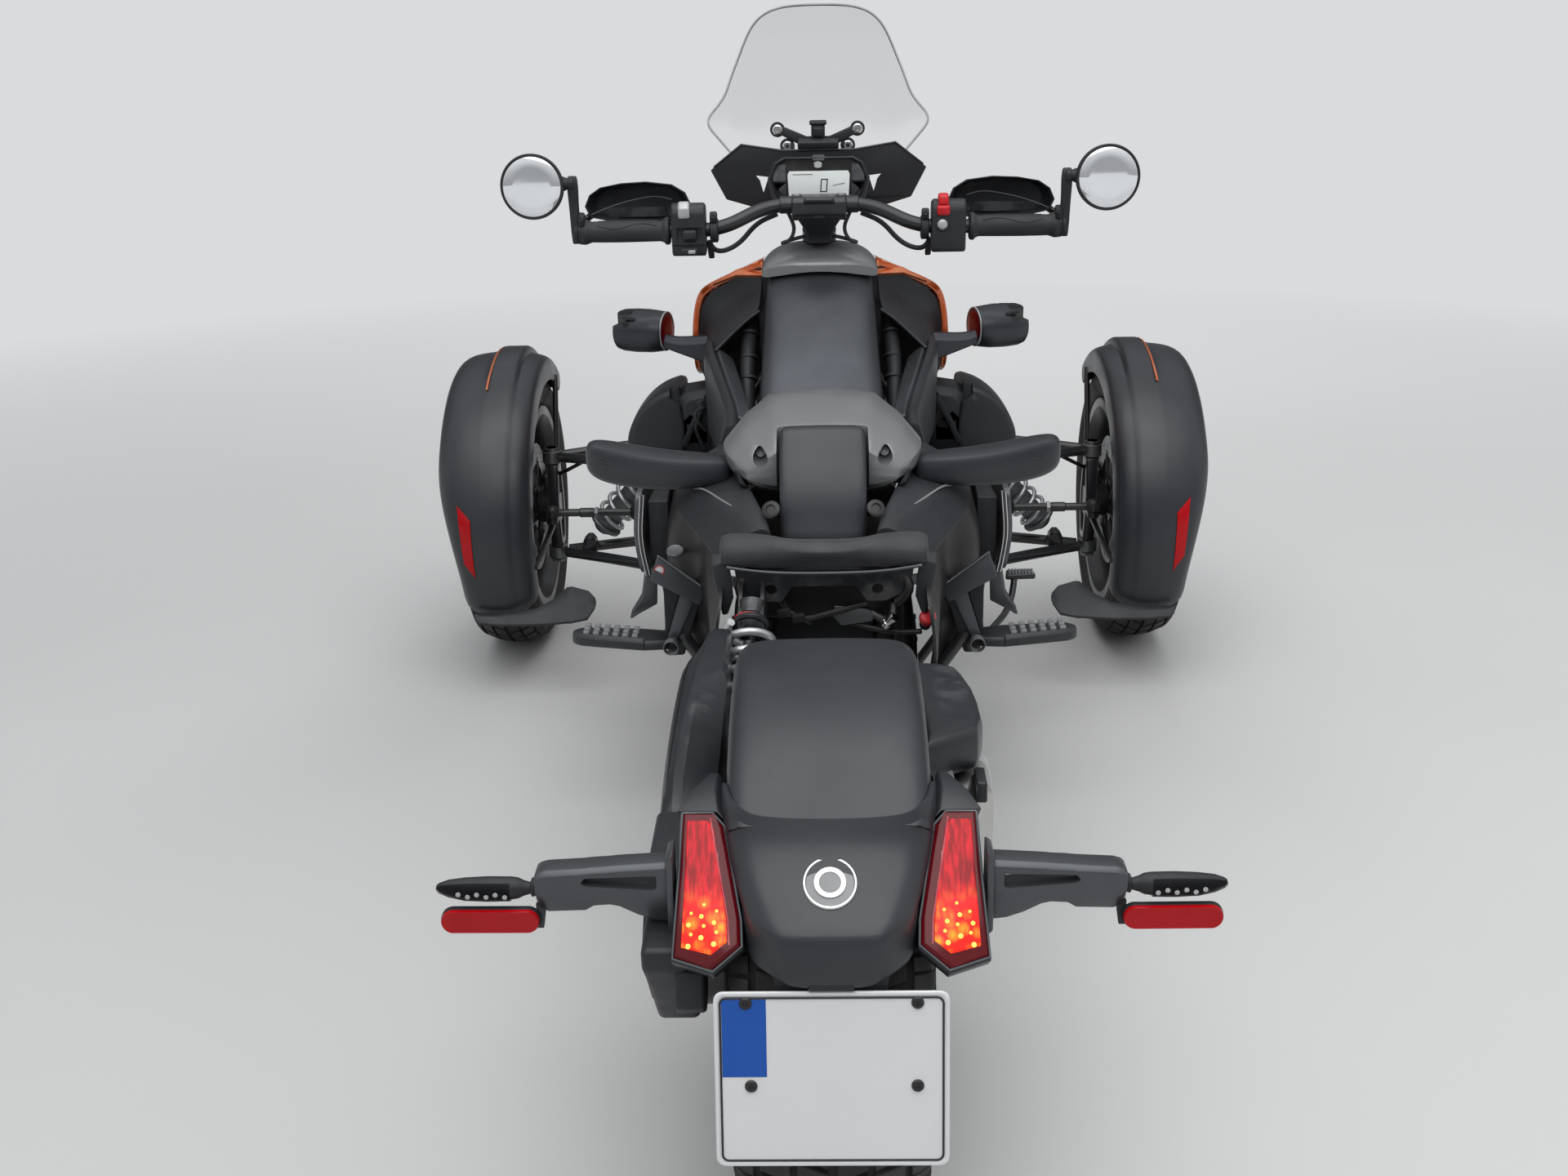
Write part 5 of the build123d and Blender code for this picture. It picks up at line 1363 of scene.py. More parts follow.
def makeIndicators():
    rings = []
    for along, deep, tall, lift in cupRows:
        ring = []
        for step in range(24):
            turn = fullTurn * step / 24
            ring.append(onCup(along, deep * math.cos(turn) * (1 + 0.06 * math.cos(2 * turn)),
                              lift + tall * math.sin(turn) * (1 + 0.05 * math.cos(2 * turn))))
        rings.append(ring)
    cup = loft("cupLook", rings)
    notch = loft("cupNotch", [[onCup(a, s, u) for a, u in ((8, 60), (14, 30), (24, 16), (60, 10), (60, 60))]
                              for s in (-60, -8)])
    cut(cup, notch)
    bevel(cup, 1.0, 3, 30)
    liner = loft("cupLiner", [[onCup(a, (d - 5) * math.cos(fullTurn * k / 20),
                               (t - 5) * math.sin(fullTurn * k / 20))
                               for k in range(20)] for a, d, t in ((-30, 34, 36), (10, 37, 39),
                               (38, 35, 37))])
    bezel = wire("cupBezel", [onCup(-45, 33 * math.cos(k * math.pi / 12), 1 + 34 * math.sin(k * math.pi / 12))
                              for k in range(25)], 1.6, "POLY")
    inner = turned("innerLens", [(0, 30), (1.5, 29), (3, 24), (3.8, 12)], onCup(-44.5, 0, 1),
        tuple(-cupAxis), 36)
    blades = [slab("cupBlade", [(330, z), (352, z + 3), (352, z + 7), (330, z + 4)], "Y", 424, 440)
        for z in (757, 769)]
    stalkRings = []
    stalkRows = [(192, 424, 689, 741, 12), (206, 424, 691, 741, 13), (232, 426, 700, 738, 12),
                 (258, 429, 709, 738, 11), (276, 433, 715, 742, 11), (290, 438, 716, 748, 12)]
    for x, y, low, high, deep in stalkRows:
        stalkRings.append([(x, y - deep, low + 3), (x, y - deep - 1, high - 12), (x, y - deep * 0.4, high),
                           (x, y + deep, high), (x, y + deep, low)])
    stalk = loft("stalkLook", blendRings(stalkRings, 3))
    bevel(stalk, 2.4, 3)
    front = turned("frontLens", [(-2, 33), (2, 33), (5, 29), (8, 18)], onCup(6, 36, 0), tuple(cupSide), 40)
    coat("consoleGrey", cup)
    coat("inkBlack", liner)
    coat("paleGrey", bezel)
    coat("lampRed", inner)
    coat("consoleGrey", stalk)
    coat("clearLens", front)
    coat("inkBlack", *blades)
    fitPair([cup, liner, bezel, inner, stalk, front] + blades, "indicatorsLook",
        ["front_indicators"], 40)


# Nose, seen from the front
deckRows = [(459, 94, 871, 9), (520, 93, 866, 10), (640, 90, 838, 11), (760, 86, 800, 11), (860, 81, 762, 11),
            (960, 73, 715, 10), (1058, 60, 660, 8), (1100, 46, 632, 6), (1122, 32, 614, 3)]


def makeNose():
    deck = loft("deckLook", blendRings([arch(y, [(edge - 4, z - 8), (edge, z - 4), (edge * 0.9, z),
                                                 (edge * 0.6, z + fall), (edge * 0.14, z + fall + 2)])
                                                 for y, edge, z, fall in deckRows], 2),
                archLines(5, {1: 0.6, 3: 0.5}), 0.6)
    smooth(deck, 1)
    vents = []
    for y, z in ((560, 872), (600, 862), (640, 851)):
        vents.append(slab("vent", [(-40, z - 6), (40, z - 6), (34, z + 30), (-34, z + 30)], "Y", y, y + 14))
    cut(deck, joined(vents, "vents"))
    wall = slab("noseWall", [(-112, 520), (112, 520), (150, 545), (166, 600), (150, 664),
                             (66, 704), (-66, 704), (-150, 664), (-166, 600), (-150, 545)], "Y", 972, 984)
    bevel(wall, 3)
    settle(joined([deck, wall], "noseLook"), "chassis", materials["mouldedBlack"],
        ["nose_cowl"])


lampRows = [(986, [(40, 532), (104, 528), (130, 560), (122, 592), (30, 606)]),
            (1050, [(38, 532), (104, 528), (126, 556), (112, 590), (28, 604)]),
            (1076, [(41, 534), (96, 532), (115, 556), (101, 584), (33, 596)])]


def makeHeadlamps():
    body = loft("lampBody", stations(lampRows))
    bevel(body, 3, 3)
    dish = loft("lampDish", [[(46 + (x - 46) * k, y, 566 + (z - 566) * k) for x, z in lampRows[2][1]]
                             for y, k in ((1090, 0.86), (1062, 0.84), (1040, 0.6))])
    cut(body, dish)
    pod = [turned("lampEye", [(0, 19), (22, 20), (25, 18), (25, 14), (20, 12)], (x, 1046, z), alongY)
           for x, z in ((86, 558), (54, 570))]
    lens = loft("lampLens", [[(x, 1076, z) for x, z in lampRows[2][1]],
                             [(44 + (x - 44) * 0.97, 1083, 560 + (z - 560) * 0.97)
                                 for x, z in lampRows[2][1]],
                             [(60 + (x - 60) * 0.8, 1086, 560 + (z - 560) * 0.8) for x, z in lampRows[2][1]]])
    bevel(lens, 1)
    coat("mouldedBlack", body)
    coat("brightSteel", joined(pod, "lampEyes"))
    coat("clearLens", lens)
    fitPair([body, pod[0], lens], "headlampsLook", ["headlamps"])


def makeGrille():
    outline = [(-96, 344), (96, 344), (124, 500), (112, 527), (-112, 527), (-124, 500)]
    rings = []
    for y, k in ((1046, 1.0), (1094, 1.0), (1100, 0.97), (1098, 0.90), (1060, 0.89), (1046, 0.9)):
        rings.append([(x * k, y, 436 + (z - 436) * k) for x, z in outline])
    bezel = loft("grilleBezel", rings)
    rib = []
    for row in range(8):
        z = 366 + 20 * row
        half = 82 + (z - 366) * 0.19
        rib.append(wire("meshRow", [(-half, 1088, z), (0, 1094, z), (half, 1088, z)], 2.2, "NURBS", 2))
    for column in range(-5, 6):
        rib.append(wire("meshColumn", [(column * 15, 1088, 352), (column * 19, 1092, 436),
                        (column * 20, 1088, 520)], 1.8, "NURBS", 2))
    mesh = joined(rib, "mesh")
    chinRows = [(960, 118, 188, 206), (1080, 112, 187, 207), (1104, 104, 190, 214), (1140, 96, 222, 250),
                (1160, 90, 262, 300), (1176, 84, 318, 344)]
    chin = loft("chinLook", blendRings([[(-h, y - (z1 - z0) * 0.4, z1), (-h + 10, y, z0), (h - 10, y, z0),
                                         (h, y - (z1 - z0) * 0.4, z1)] for y, h, z0, z1 in chinRows[:-1]]
                                       + [[(-84, 1158, 344), (-74, 1176, 320), (74, 1176, 320),
                                           (84, 1158, 344)]], 2))
    bevel(chin, 3, 2, 30)
    coat("mouldedBlack", bezel)
    coat("powderBlack", mesh)
    coat("softBlack", chin)
    fit([bezel, mesh, chin], "grilleLook", ["grille"])


def makeRadiator():
    tanks = [slab("tank", [(-140, z0), (140, z0), (140, z1), (-140, z1)], "Y", 1012, 1044)
             for z0, z1 in ((206, 232), (480, 505))]
    sides = [slab("tankSide", [(x0, 230), (x1, 230), (x1, 482), (x0, 482)], "Y", 1014, 1042)
             for x0, x1 in ((-116, -106), (106, 116))]
    tubes = [slab("flat", [(-108, z), (108, z), (108, z + 2.5), (-108, z + 2.5)], "Y", 1018, 1038)
             for z in range(238, 478, 9)]
    fins = [slab("fin", [(x, 232), (x + 0.8, 232), (x + 0.8, 480), (x, 480)], "Y", 1020, 1036)
            for x in range(-104, 106, 6)]
    for piece in tanks + sides:
        bevel(piece, 4, 3)
    settle(joined(tanks + sides + tubes + fins, "radiatorLook"), "chassis",
           materials["powderBlack"],
           ["radiator"])


makePanels()
makeDash()
makeStruts()
makePods()
makeIndicators()
makeNose()
makeHeadlamps()
makeGrille()
makeRadiator()
print("flanks and nose done")

# Handlebar group; all of it turns with the steering
def bent(points, reach, steps=6):  # a path with its corners rounded
    made = [points[0]]
    for before, corner, after in zip(points, points[1:], points[2:]):
        a, b, c = Vector(before), Vector(corner), Vector(after)
        start = b + (a - b).normalized() * min(reach, (a - b).length * 0.5)
        end = b + (c - b).normalized() * min(reach, (c - b).length * 0.5)
        for step in range(steps + 1):
            t = step / steps
            made.append(tuple(start * (1 - t) ** 2 + b * (2 * t * (1 - t)) + end * t * t))
    made.append(points[-1])
    return made


def steerParts(pieces, name, stands, angle=35):
    return settle(joined(pieces, name), "handlebar", None, stands, angle)


def lump(name, x0, x1, outline, width=4, segments=3):  # a side outline of (y, z) with rounded edges
    return bevel(slab(name, outline, "X", x0, x1), width, segments, 20)


barPath = [(-406, 282, 944), (-165, 282, 944), (-84, 325, 978), (84, 325, 978), (165, 282, 944),
    (406, 282, 944)]


def makeBar():
    bar = wire("barLook", bent(barPath, 38, 8), 11.5, "POLY", 8)
    sleeves = [between("clampSleeve", (side * 20, 325, 978), (side * 66, 325, 978), 14.5, 28, 1.5)
               for side in (1, -1)]
    coat("powderBlack", bar, joined(sleeves, "clampSleeves"))
    steerParts([bar, sleeves[0]], "barLook", ["handlebar"])


def makeStem():
    lean = math.radians(25)
    def axis(distance):
        return (0, 400 - math.sin(lean) * distance, 905 + math.cos(lean) * distance)
    post = turned("postLook", [(0, 12), (2, 14), (200, 14), (202, 20), (214, 20), (216, 15), (296, 15)],
                  axis(-226), (0, -math.sin(lean), math.cos(lean)))
    column = turned("columnLook", [(0, 26), (3, 29), (26, 29), (30, 21), (52, 19), (66, 24)], axis(2),
                    (0, -math.sin(lean), math.cos(lean)))
    clamp = lump("clampLook", -46, 46, [(304, 962), (303, 984), (310, 992), (340, 992),
                                        (372, 990), (378, 980), (376, 960), (352, 952), (320, 952)])
    gap = slab("clampGap", [(-12, 900), (12, 900), (9, 962), (-9, 962)], "Y", 296, 312)
    cut(clamp, gap)
    cover = loft("clampCover", [[(-26, 300, 982), (26, 300, 982), (32, 340, 984), (-32, 340, 984)],
                                [(-24, 298, 989), (24, 298, 989), (30, 342, 991), (-30, 342, 991)],
                                [(-20, 302, 992), (20, 302, 992), (26, 338, 994), (-26, 338, 994)]])
    bevel(cover, 2, 3)
    screws = [screw("clampScrew", (x, 326, 992), alongZ, 9, 3) for x in (-37, 37)]
    skirt = loft("clampSkirt", [[(-40, 312, 960), (40, 312, 960), (40, 352, 960), (-40, 352, 960)],
                                [(-24, 322, 936), (24, 322, 936), (24, 366, 932), (-24, 366, 932)],
                                [(-19, 342, 912), (19, 342, 912), (19, 384, 906), (-19, 384, 906)]])
    bevel(skirt, 4, 3)
    loops = []
    for side in (1, -1):
        loops.append(wire("wireGuide", bent([(side * 52, 322, 966), (side * 40, 330, 938),
                                             (side * 50, 334, 916),
                                             (side * 68, 336, 912), (side * 40, 344, 920),
                                             (side * 14, 352, 924)],
                                            14), 3.2, "POLY"))
        loops.append(wire("conduit", bent([(side * 186, 306, 922), (side * 172, 322, 900),
                                           (side * 136, 332, 912),
                                           (side * 106, 334, 948), (side * 70, 336, 962)], 24),
                                           4.2, "POLY", 5))
        sleeve = loft("connector", [[(side * 182 + a, y - 9, z - 6 + b)
                                    for a, b in ((-5, -5), (5, -5), (5, 5), (-5, 5))]
                                    for y, z in ((300, 926), (318, 910), (330, 902))])
        bevel(sleeve, 2)
        loops.append(sleeve)
    steering = [post, column, clamp, cover, skirt]
    coat("powderBlack", *steering)
    coat("gripRubber", *loops)
    coat("castGrey", *screws)
    steerParts(steering + loops + screws, "stemLook", ["stem"])


gripProfile = [(246, 15), (246.5, 20), (249, 22.5), (254, 22.5), (257, 19), (262, 16.8),
               (290, 17.2), (330, 17.6),
               (360, 17.4), (376, 17), (381, 18.6), (386, 20.5), (392, 20.5), (395.5, 18), (396, 15)]


def makeGrips():
    halves = []
    for side in (1, -1):
        grip = turned("gripLook", [(x - 246, radius) for x, radius in gripProfile], (side * 246, 282, 944),
                      (side, 0, 0), 36)
        waves = []
        for lift in (0, 1):
            points = []
            for step in range(13):
                x = 268 + step * 8.2
                angle = math.radians(38 + 16 * math.sin(step * 0.55 + lift) + lift * 60)
                reach = 17.6
                points.append((side * x, 282 - reach * math.cos(angle), 944 + reach * math.sin(angle)))
            waves.append(wire("gripWave", points, 0.9, "NURBS", 2))
        coat("gripRubber", grip)
        coat("mouldedBlack", joined(waves, "gripWaves"))
        halves += [grip, waves[0]]
    steerParts(halves, "gripsLook", ["grips"], 50)


podOutline = [(258, 908), (256, 926), (255, 974), (260, 986), (270, 991), (292, 986), (302, 972), (304, 930),
              (300, 914), (288, 906), (266, 904)]


def makeSwitches():
    left = lump("leftPod", -243, -187, podOutline)
    right = lump("rightPod", 184, 240, podOutline, 7, 4)
    recess = slab("recess", [(-234, 928), (-192, 928), (-192, 952), (-234, 952)], "Y", 240, 260)
    bevel(recess, 2)
    cut(left, recess)
    seam = slab("seam", [(-250, 922), (-180, 922), (-180, 924.5), (-250, 924.5)], "Y", 240, 259)
    cut(left, seam)
    rocker = lump("rocker", -231, -212, [(252, 966), (250, 984), (262, 994), (270, 992), (268, 966)], 4, 4)
    buttons = [lump("indicatorSwitch", -224, -202, [(250, 933), (249, 947), (262, 949), (262, 932)], 3),
               lump("hornButton", -228, -200, [(252, 908), (250, 918), (262, 919), (262, 907)], 2.5),
               lump("hornCap", -216, -204, [(249, 910), (248, 916), (258, 916), (258, 910)], 1.5)]
    red = [lump("stopRocker", 192, 213, [(252, 964), (249, 980), (262, 984), (268, 972)], 4, 4),
           lump("stopTip", 194, 211, [(252, 982), (254, 997), (268, 1001), (276, 990), (262, 982)], 4, 4)]
    ring = turned("startRing", [(-3, 12), (1, 12), (3, 10.5), (3, 9), (0.5, 8.5)],
        (201, 256, 951), backward, 28)
    start = turned("startButton", [(-2, 8.2), (2.5, 8.2), (4, 6.5), (4.6, 3)], (201, 256, 951), backward, 28)
    clamps = []
    for side in (1, -1):
        clamps.append(turned("innerClamp", [(0, 17), (1.5, 20), (12, 20), (13.5, 17)], (side * 167, 282, 944),
                             (side, 0, 0), 28))
        clamps.append(lump("clampLug", *sorted((side * 168, side * 180)), [(264, 958), (262, 970), (272, 976),
                                                                         (284, 972), (284, 956)], 2.5))
        clamps.append(screw("lugScrew", (side * 174, 264, 968), (0, -0.9, 0.4), 4.5, 3))
    coat("mouldedBlack", left, right)
    coat("paleGrey", rocker)
    coat("gripRubber", buttons[0], buttons[1])
    coat("paleGrey", buttons[2])
    coat("switchRed", *red)
    coat("mouldedBlack", ring)
    coat("paleGrey", start)
    coat("softBlack", *clamps)
    steerParts([left, right, rocker, ring, start] + buttons + red + clamps, "switchesLook", ["switch_pods"])


guardRim = [(214, 958), (214, 978), (224, 1000), (246, 1013), (290, 1018), (332, 1016),
            (366, 1010), (384, 998), (392, 980), (384, 962), (340, 952), (270, 950)]


def makeGuards():
    centre = (305, 984)
    rings = []
    for y, scale in ((334, 1.0), (337, 1.012), (344, 1.0), (360, 0.95), (372, 0.84), (378, 0.6),
                     (375, 0.59), (369, 0.82), (357, 0.92), (342, 0.965), (335, 0.975)):
        rings.append([(centre[0] + (x - centre[0]) * scale, y - 8 * ((x - 305) / 90) ** 2,
                       centre[1] + (z - centre[1]) * scale) for x, z in guardRim])
    shell = loft("guardLook", rings[:6])
    hollow = loft("guardHollow", [[(x, y - 30, z) for x, y, z in rings[10]]] + rings[:5:-1])
    cut(shell, hollow)
    bevel(shell, 1.0, 2, 45)
    line = wire("guardLine", bent([(248, 350, 987), (276, 354, 994), (330, 352, 984), (368, 342, 972),
                                  (392, 330, 962)], 20), 1.2, "POLY", 3)
    plate = slab("guardPlate", [(256, 958), (372, 958), (366, 974), (262, 974)], "Y", 360, 364)
    stay = wire("guardStay", bent([(402, 288, 946), (402, 330, 952), (378, 362, 968)], 20), 6, "POLY", 6)
    inner = wire("guardInner", bent([(200, 296, 954), (206, 340, 968), (234, 366, 980)], 20), 5, "POLY", 6)
    coat("softBlack", shell)
    coat("satinGrey", line)
    coat("mouldedBlack", plate, stay, inner)
    half = joined([shell, line, plate, stay, inner], "guardLook")
    steerParts([bothSides(half, "guardsLook")], "guardsLook", ["hand_guards"])


def makeMirrors():
    normal = Vector((0.06, -1, 0.04)).normalized()
    centre = Vector((466, 250, 1022))
    shell = turned("mirrorShell", [(-18, 20), (-16, 34), (-10, 47), (-2, 52), (3, 52.4), (5.5, 51), (5.5, 49),
                                   (3, 48.4)], tuple(centre - normal * 3), normal, 64)
    glass = turned("mirrorGlassLook", [(-1, 47.5), (0.6, 47.5), (1.0, 47), (1.4, 30)],
                   tuple(centre + normal * 1.2), normal,
                   64)
    ball = turned("mirrorBall", [(0, 8), (3, 11), (9, 13), (16, 11), (22, 8), (26, 9), (30, 9)],
                  (430, 262, 1024), (-1, 0, 0.05), 24)
    boss = between("mirrorBoss", (430, 262, 1024), (452, 264, 1022), 9, 20, 2)
    arm = loft("mirrorArm", blendRings([[(396, 268, 1036), (410, 266, 1036), (410, 276, 1036),
                                        (396, 276, 1036)],
                                        [(394, 264, 1020), (411, 262, 1020), (411, 276, 1020),
                                            (394, 276, 1020)],
                                        [(395, 268, 980), (410, 266, 980), (410, 280, 980), (395, 280, 980)],
                                        [(393, 268, 946), (409, 266, 946), (409, 290, 946), (393, 290, 946)],
                                        [(394, 272, 926), (408, 270, 926), (408, 288, 926),
                                            (394, 288, 926)]], 3))
    bevel(arm, 2.5, 3)
    collar = turned("endClamp", [(0, 16), (2, 20), (13, 20), (14, 18), (15, 19), (20, 19), (22, 16)],
                    (384, 282, 944), (1, 0, 0))
    lug = lump("endLug", 386, 396, [(262, 956), (260, 970), (272, 978), (284, 972), (284, 956)], 2.5)
    square = screw("endScrew", (391, 262, 967), (0, -0.9, 0.4), 4.5, 3)
    coat("mouldedBlack", shell, arm, ball, boss)
    coat("softBlack", collar, lug, square)
    # mirror glass: silver with a painted sky reflection
    coat("mirrorSilverAndPaintedSky", glass)
    arms = bothSides(joined([shell, arm, ball, boss, collar, lug, square], "mirrorsLook"), "mirrorsLook")
    steerParts([arms], "mirrorsLook", ["mirror_arms"])
    fitPair([glass], "mirrorGlassLook", ["mirror_glass"], 40, body="handlebar")


dialOutline = [(-60, 1049), (60, 1049), (76, 1040), (87, 1014), (80, 984), (70, 972), (-70, 972), (-80, 984),
               (-87, 1014), (-76, 1040)]


def makeInstrument():
    def ringAt(y, scale, drop=0.0):
        return [(x * scale, y, 1011 + (z - 1011) * scale - drop) for x, z in dialOutline]
    body = loft("dialLook", [ringAt(424, 0.8), ringAt(420, 0.92), ringAt(396, 1.0), ringAt(386, 1.0),
                             ringAt(382, 0.975), ringAt(383, 0.93), ringAt(392, 0.90)])
    bevel(body, 1.2, 2, 30)
    face = slab("dialFace", [(x * 0.895, 1011 + (z - 1011) * 0.895) for x, z in dialOutline], "Y", 390.5, 393)
    screen = slab("lcd", [(-50, 1026), (50, 1026), (53, 1020), (51, 984), (-51, 984), (-53, 1020)],
        "Y", 387.4, 391)
    bevel(screen, 1.0)
    wings = []
    for side in (1, -1):
        for z0, z1, keep in ((1010, 1038, 0.0), (980, 1007, 1.0)):
            outline = [(side * 56, z0), (side * 56, z1), (side * (68 - 3 * keep), z1 - 1 + keep),
                       (side * (77 - 6 * keep), 1009 + (12 if keep == 0 else -14)),
                       (side * (78 - 2 * keep), z0 if keep == 0 else z1)]
            wings.append(slab("gaugeWing", outline, "Y", 388, 391))
    digit = [slab("digit", outline, "Y", 386.9, 387.6) for outline in
             ([(4, 1013), (14, 1013), (14, 1011.2), (4, 1011.2)], [(2, 992.8), (12, 992.8),
                 (12, 991), (2, 991)],
              [(2, 991), (4, 991), (6, 1013), (4, 1013)], [(12, 991), (14, 991), (16, 1013), (14, 1013)],
              [(-44, 1021), (-10, 1021), (-10, 1020), (-44, 1020)], [(24, 1002), (44, 1006),
                  (44, 1005), (24, 1001)],
              [(-44, 989), (-30, 989), (-30, 988), (-44, 988)])]
    dot = turned("dialDot", [(-2, 7), (1, 7), (2.2, 5.5)], (-1, 386, 1037), backward, 28)
    hood = loft("dialHood", [[(-11, 384, 1050), (11, 384, 1050), (9, 400, 1052), (-9, 400, 1052)],
                             [(-9, 381, 1044), (9, 381, 1044), (9, 400, 1046), (-9, 400, 1046)]])
    coat("mouldedBlack", body)
    coat("inkBlack", face)
    coat("lcdGlow", screen)
    coat("satinGrey", joined(wings, "gaugeWings"))
    coat("inkBlack", joined(digit, "digits"))
    coat("brightSteel", dot)
    coat("mouldedBlack", hood)
    steerParts([body, face, screen, wings[0], digit[0], dot, hood], "dialLook", ["instrument"])


wingHalf = [(0, 956), (52, 958), (92, 962), (119, 956), (164, 968), (191, 1018), (135, 1063),
    (66, 1052), (0, 1050)]


def makeWing():
    def wingRing(y, inset):
        points = []
        for x, z in wingHalf[1:-1]:
            points.append((x * (1 - inset / 190), y + 26 * (x / 190) ** 2, 1008
                    + (z - 1008) * (1 - inset / 60)))
        return points + [(-x, yy, z) for x, yy, z in points[::-1]]
    body = loft("wingLook", [wingRing(480, 2), wingRing(484, 0), wingRing(492, 0), wingRing(496, 3)])
    bevel(body, 1.4, 2, 30)
    for side in (1, -1):
        hole = slab("wingHole", [(side * 88, 1007), (side * 112, 1010), (side * 104, 1000),
                    (side * 98, 978)], "Y", 460, 520)
        cut(body, hole)
    brim = wire("wingBrim", [(-185, 506, 1024), (-135, 493, 1063), (-64, 482, 1053), (64, 482, 1053),
                             (135, 493, 1063), (185, 506, 1024)], 1.6, "POLY")
    neck = [slab("wingArm", [(x, 1000), (x + 14, 1000), (x + 14, 1022), (x, 1022)], "Y", 424, 484)
            for x in (-44, 30)]
    bridge = loft("screenBridge", [[(-70, 494, 1080), (-62, 494, 1092), (-20, 500, 1074), (20, 500, 1074),
                                    (62, 494, 1092), (70, 494, 1080), (24, 496, 1056), (-24, 496, 1056)],
                                   [(-70, 506, 1080), (-62, 506, 1092), (-20, 510, 1074), (20, 510, 1074),
                                    (62, 506, 1092), (70, 506, 1080), (24, 508, 1056), (-24, 508, 1056)]])
    bevel(bridge, 2.5, 3)
    shelf = lump("screenShelf", -36, 36, [(478, 1054), (476, 1066), (486, 1072), (506, 1070), (506, 1054)], 3)
    feet = [slab("screenFoot", [(x - 10, 1030), (x + 10, 1030), (x + 8, 1064), (x - 8, 1064)], "Y", 494, 504)
            for x in (-50, 50)]
    knobs = []
    for x, z in ((-71, 1086), (69, 1086), (-54, 1058), (52, 1058)):
        knobs.append(turned("screenKnob", [(0, 12), (2, 13), (7, 13), (9, 12)], (x, 506, z),
                (0, -1, 0.1), 24))
        knobs.append(turned("knobBolt", [(0, 9), (3, 9), (5, 6.5), (5, 3.5), (3, 3)], (x, 498, z),
                (0, -1, 0.1), 20))
    clip = [lump("phoneClip", -12, 12, [(486, 1066), (485, 1092), (490, 1098), (504, 1098), (508, 1068)]),
            lump("phonePad", -9, 9, [(482, 1074), (481, 1090), (488, 1092), (488, 1072)], 3),
            lump("clipJaw", -15, 15, [(483, 1094), (483, 1100), (500, 1102), (500, 1094)], 2.5)]
    coat("softBlack", body, *neck, bridge, shelf, *feet, *clip)
    coat("satinGrey", brim)
    for index, piece in enumerate(knobs):
        paint(piece, materials["brightSteel" if index % 2 else "softBlack"])
    steerParts([body, brim, bridge, shelf] + neck + feet + knobs + clip, "wingLook", ["wing"])


screenRows = [(1044, 152), (1070, 172), (1096, 192), (1112, 189), (1132, 170), (1150, 158),
              (1180, 147), (1212, 133), (1240, 121), (1262, 108), (1278, 90), (1287, 66), (1291, 34)]


def onScreen(x, z):
    lean = (z - 1040) * 0.4
    fold = 10 * ease(abs(x), 118 - (z - 1040) * 0.2, 150 - (z - 1040) * 0.2)
    return (x, 558 - lean - 50 * (x / 205) ** 2 - fold * ease(1290 - z, 30, 120), z)


def makeScreen():
    shares = (-1, -0.93, -0.84, -0.74, -0.62, -0.45, -0.22, 0, 0.22, 0.45, 0.62, 0.74, 0.84, 0.93, 1)
    pane = grid("screenLook", [[onScreen(share * half, z) for share in shares]
            for z, half in screenRows], 3.2, 2, 0)
    edge = [onScreen(-half, z) for z, half in screenRows] + [onScreen(half, z)
        for z, half in screenRows[::-1]]
    # a pale wire round the windscreen's outline paints the bright highlight along its edge
    rim = wire("screenRim", edge, 2.0, "NURBS", 3)
    coat("clearScreen", pane)
    coat("screenEdgeHighlight", rim)
    steerParts([pane, rim], "screenLook", ["windscreen"], 60)


makeBar()
makeStem()
makeGrips()
makeSwitches()
makeGuards()
makeMirrors()
makeInstrument()
makeWing()
makeScreen()
print("handlebar group done")

# Rear: fender hump, tail panel, lamps, arms, plate and covers
rearAxle = Vector(rearHub)
humpShape = [  # x, radius of the outer skin, then of the inner skin back out
    (101, 306), (100.5, 320), (97.5, 331), (88, 338.5), (72, 341.6), (42, 342.6), (14, 343),
    (12, 339), (42, 338.4), (70, 337.5), (84, 334.5), (93, 328), (96, 318), (96.5, 306)]
humpRows = [  # angle over the wheel, share of the width, drop towards the axle
    (64.8, 0.42, 27), (65.4, 0.62, 19), (66.8, 0.77, 12), (69.4, 0.88, 6.5), (72.6, 0.95, 2.8),
    (76.6, 0.985, 0.8), (84, 1, 0), (96, 1, 0), (108, 1, 0), (120, 1, 0), (130, 1, 0)]


def makeHump():
    rings = []
    for angle, wide, drop in humpRows:
        turn = math.radians(angle)
        half = []
        for x, radius in humpShape:
            reach = radius - drop
            half.append((x * wide, rearAxle.y + reach * math.cos(turn), rearAxle.z + reach * math.sin(turn)))
        outer, inner = half[:7], half[7:]
        left = [(-x, y, z) for x, y, z in outer[::-1]]
        back = [(-x, y, z) for x, y, z in inner]
        rings.append(outer + left + sorted(back[::-1] + inner[::-1], key=lambda point: point[0]))
    hump = loft("humpLook", rings, None, 0.8)
    smooth(hump)
    settle(hump, "chassis", materials["fenderGrey"], ["rear_fender"], 50)


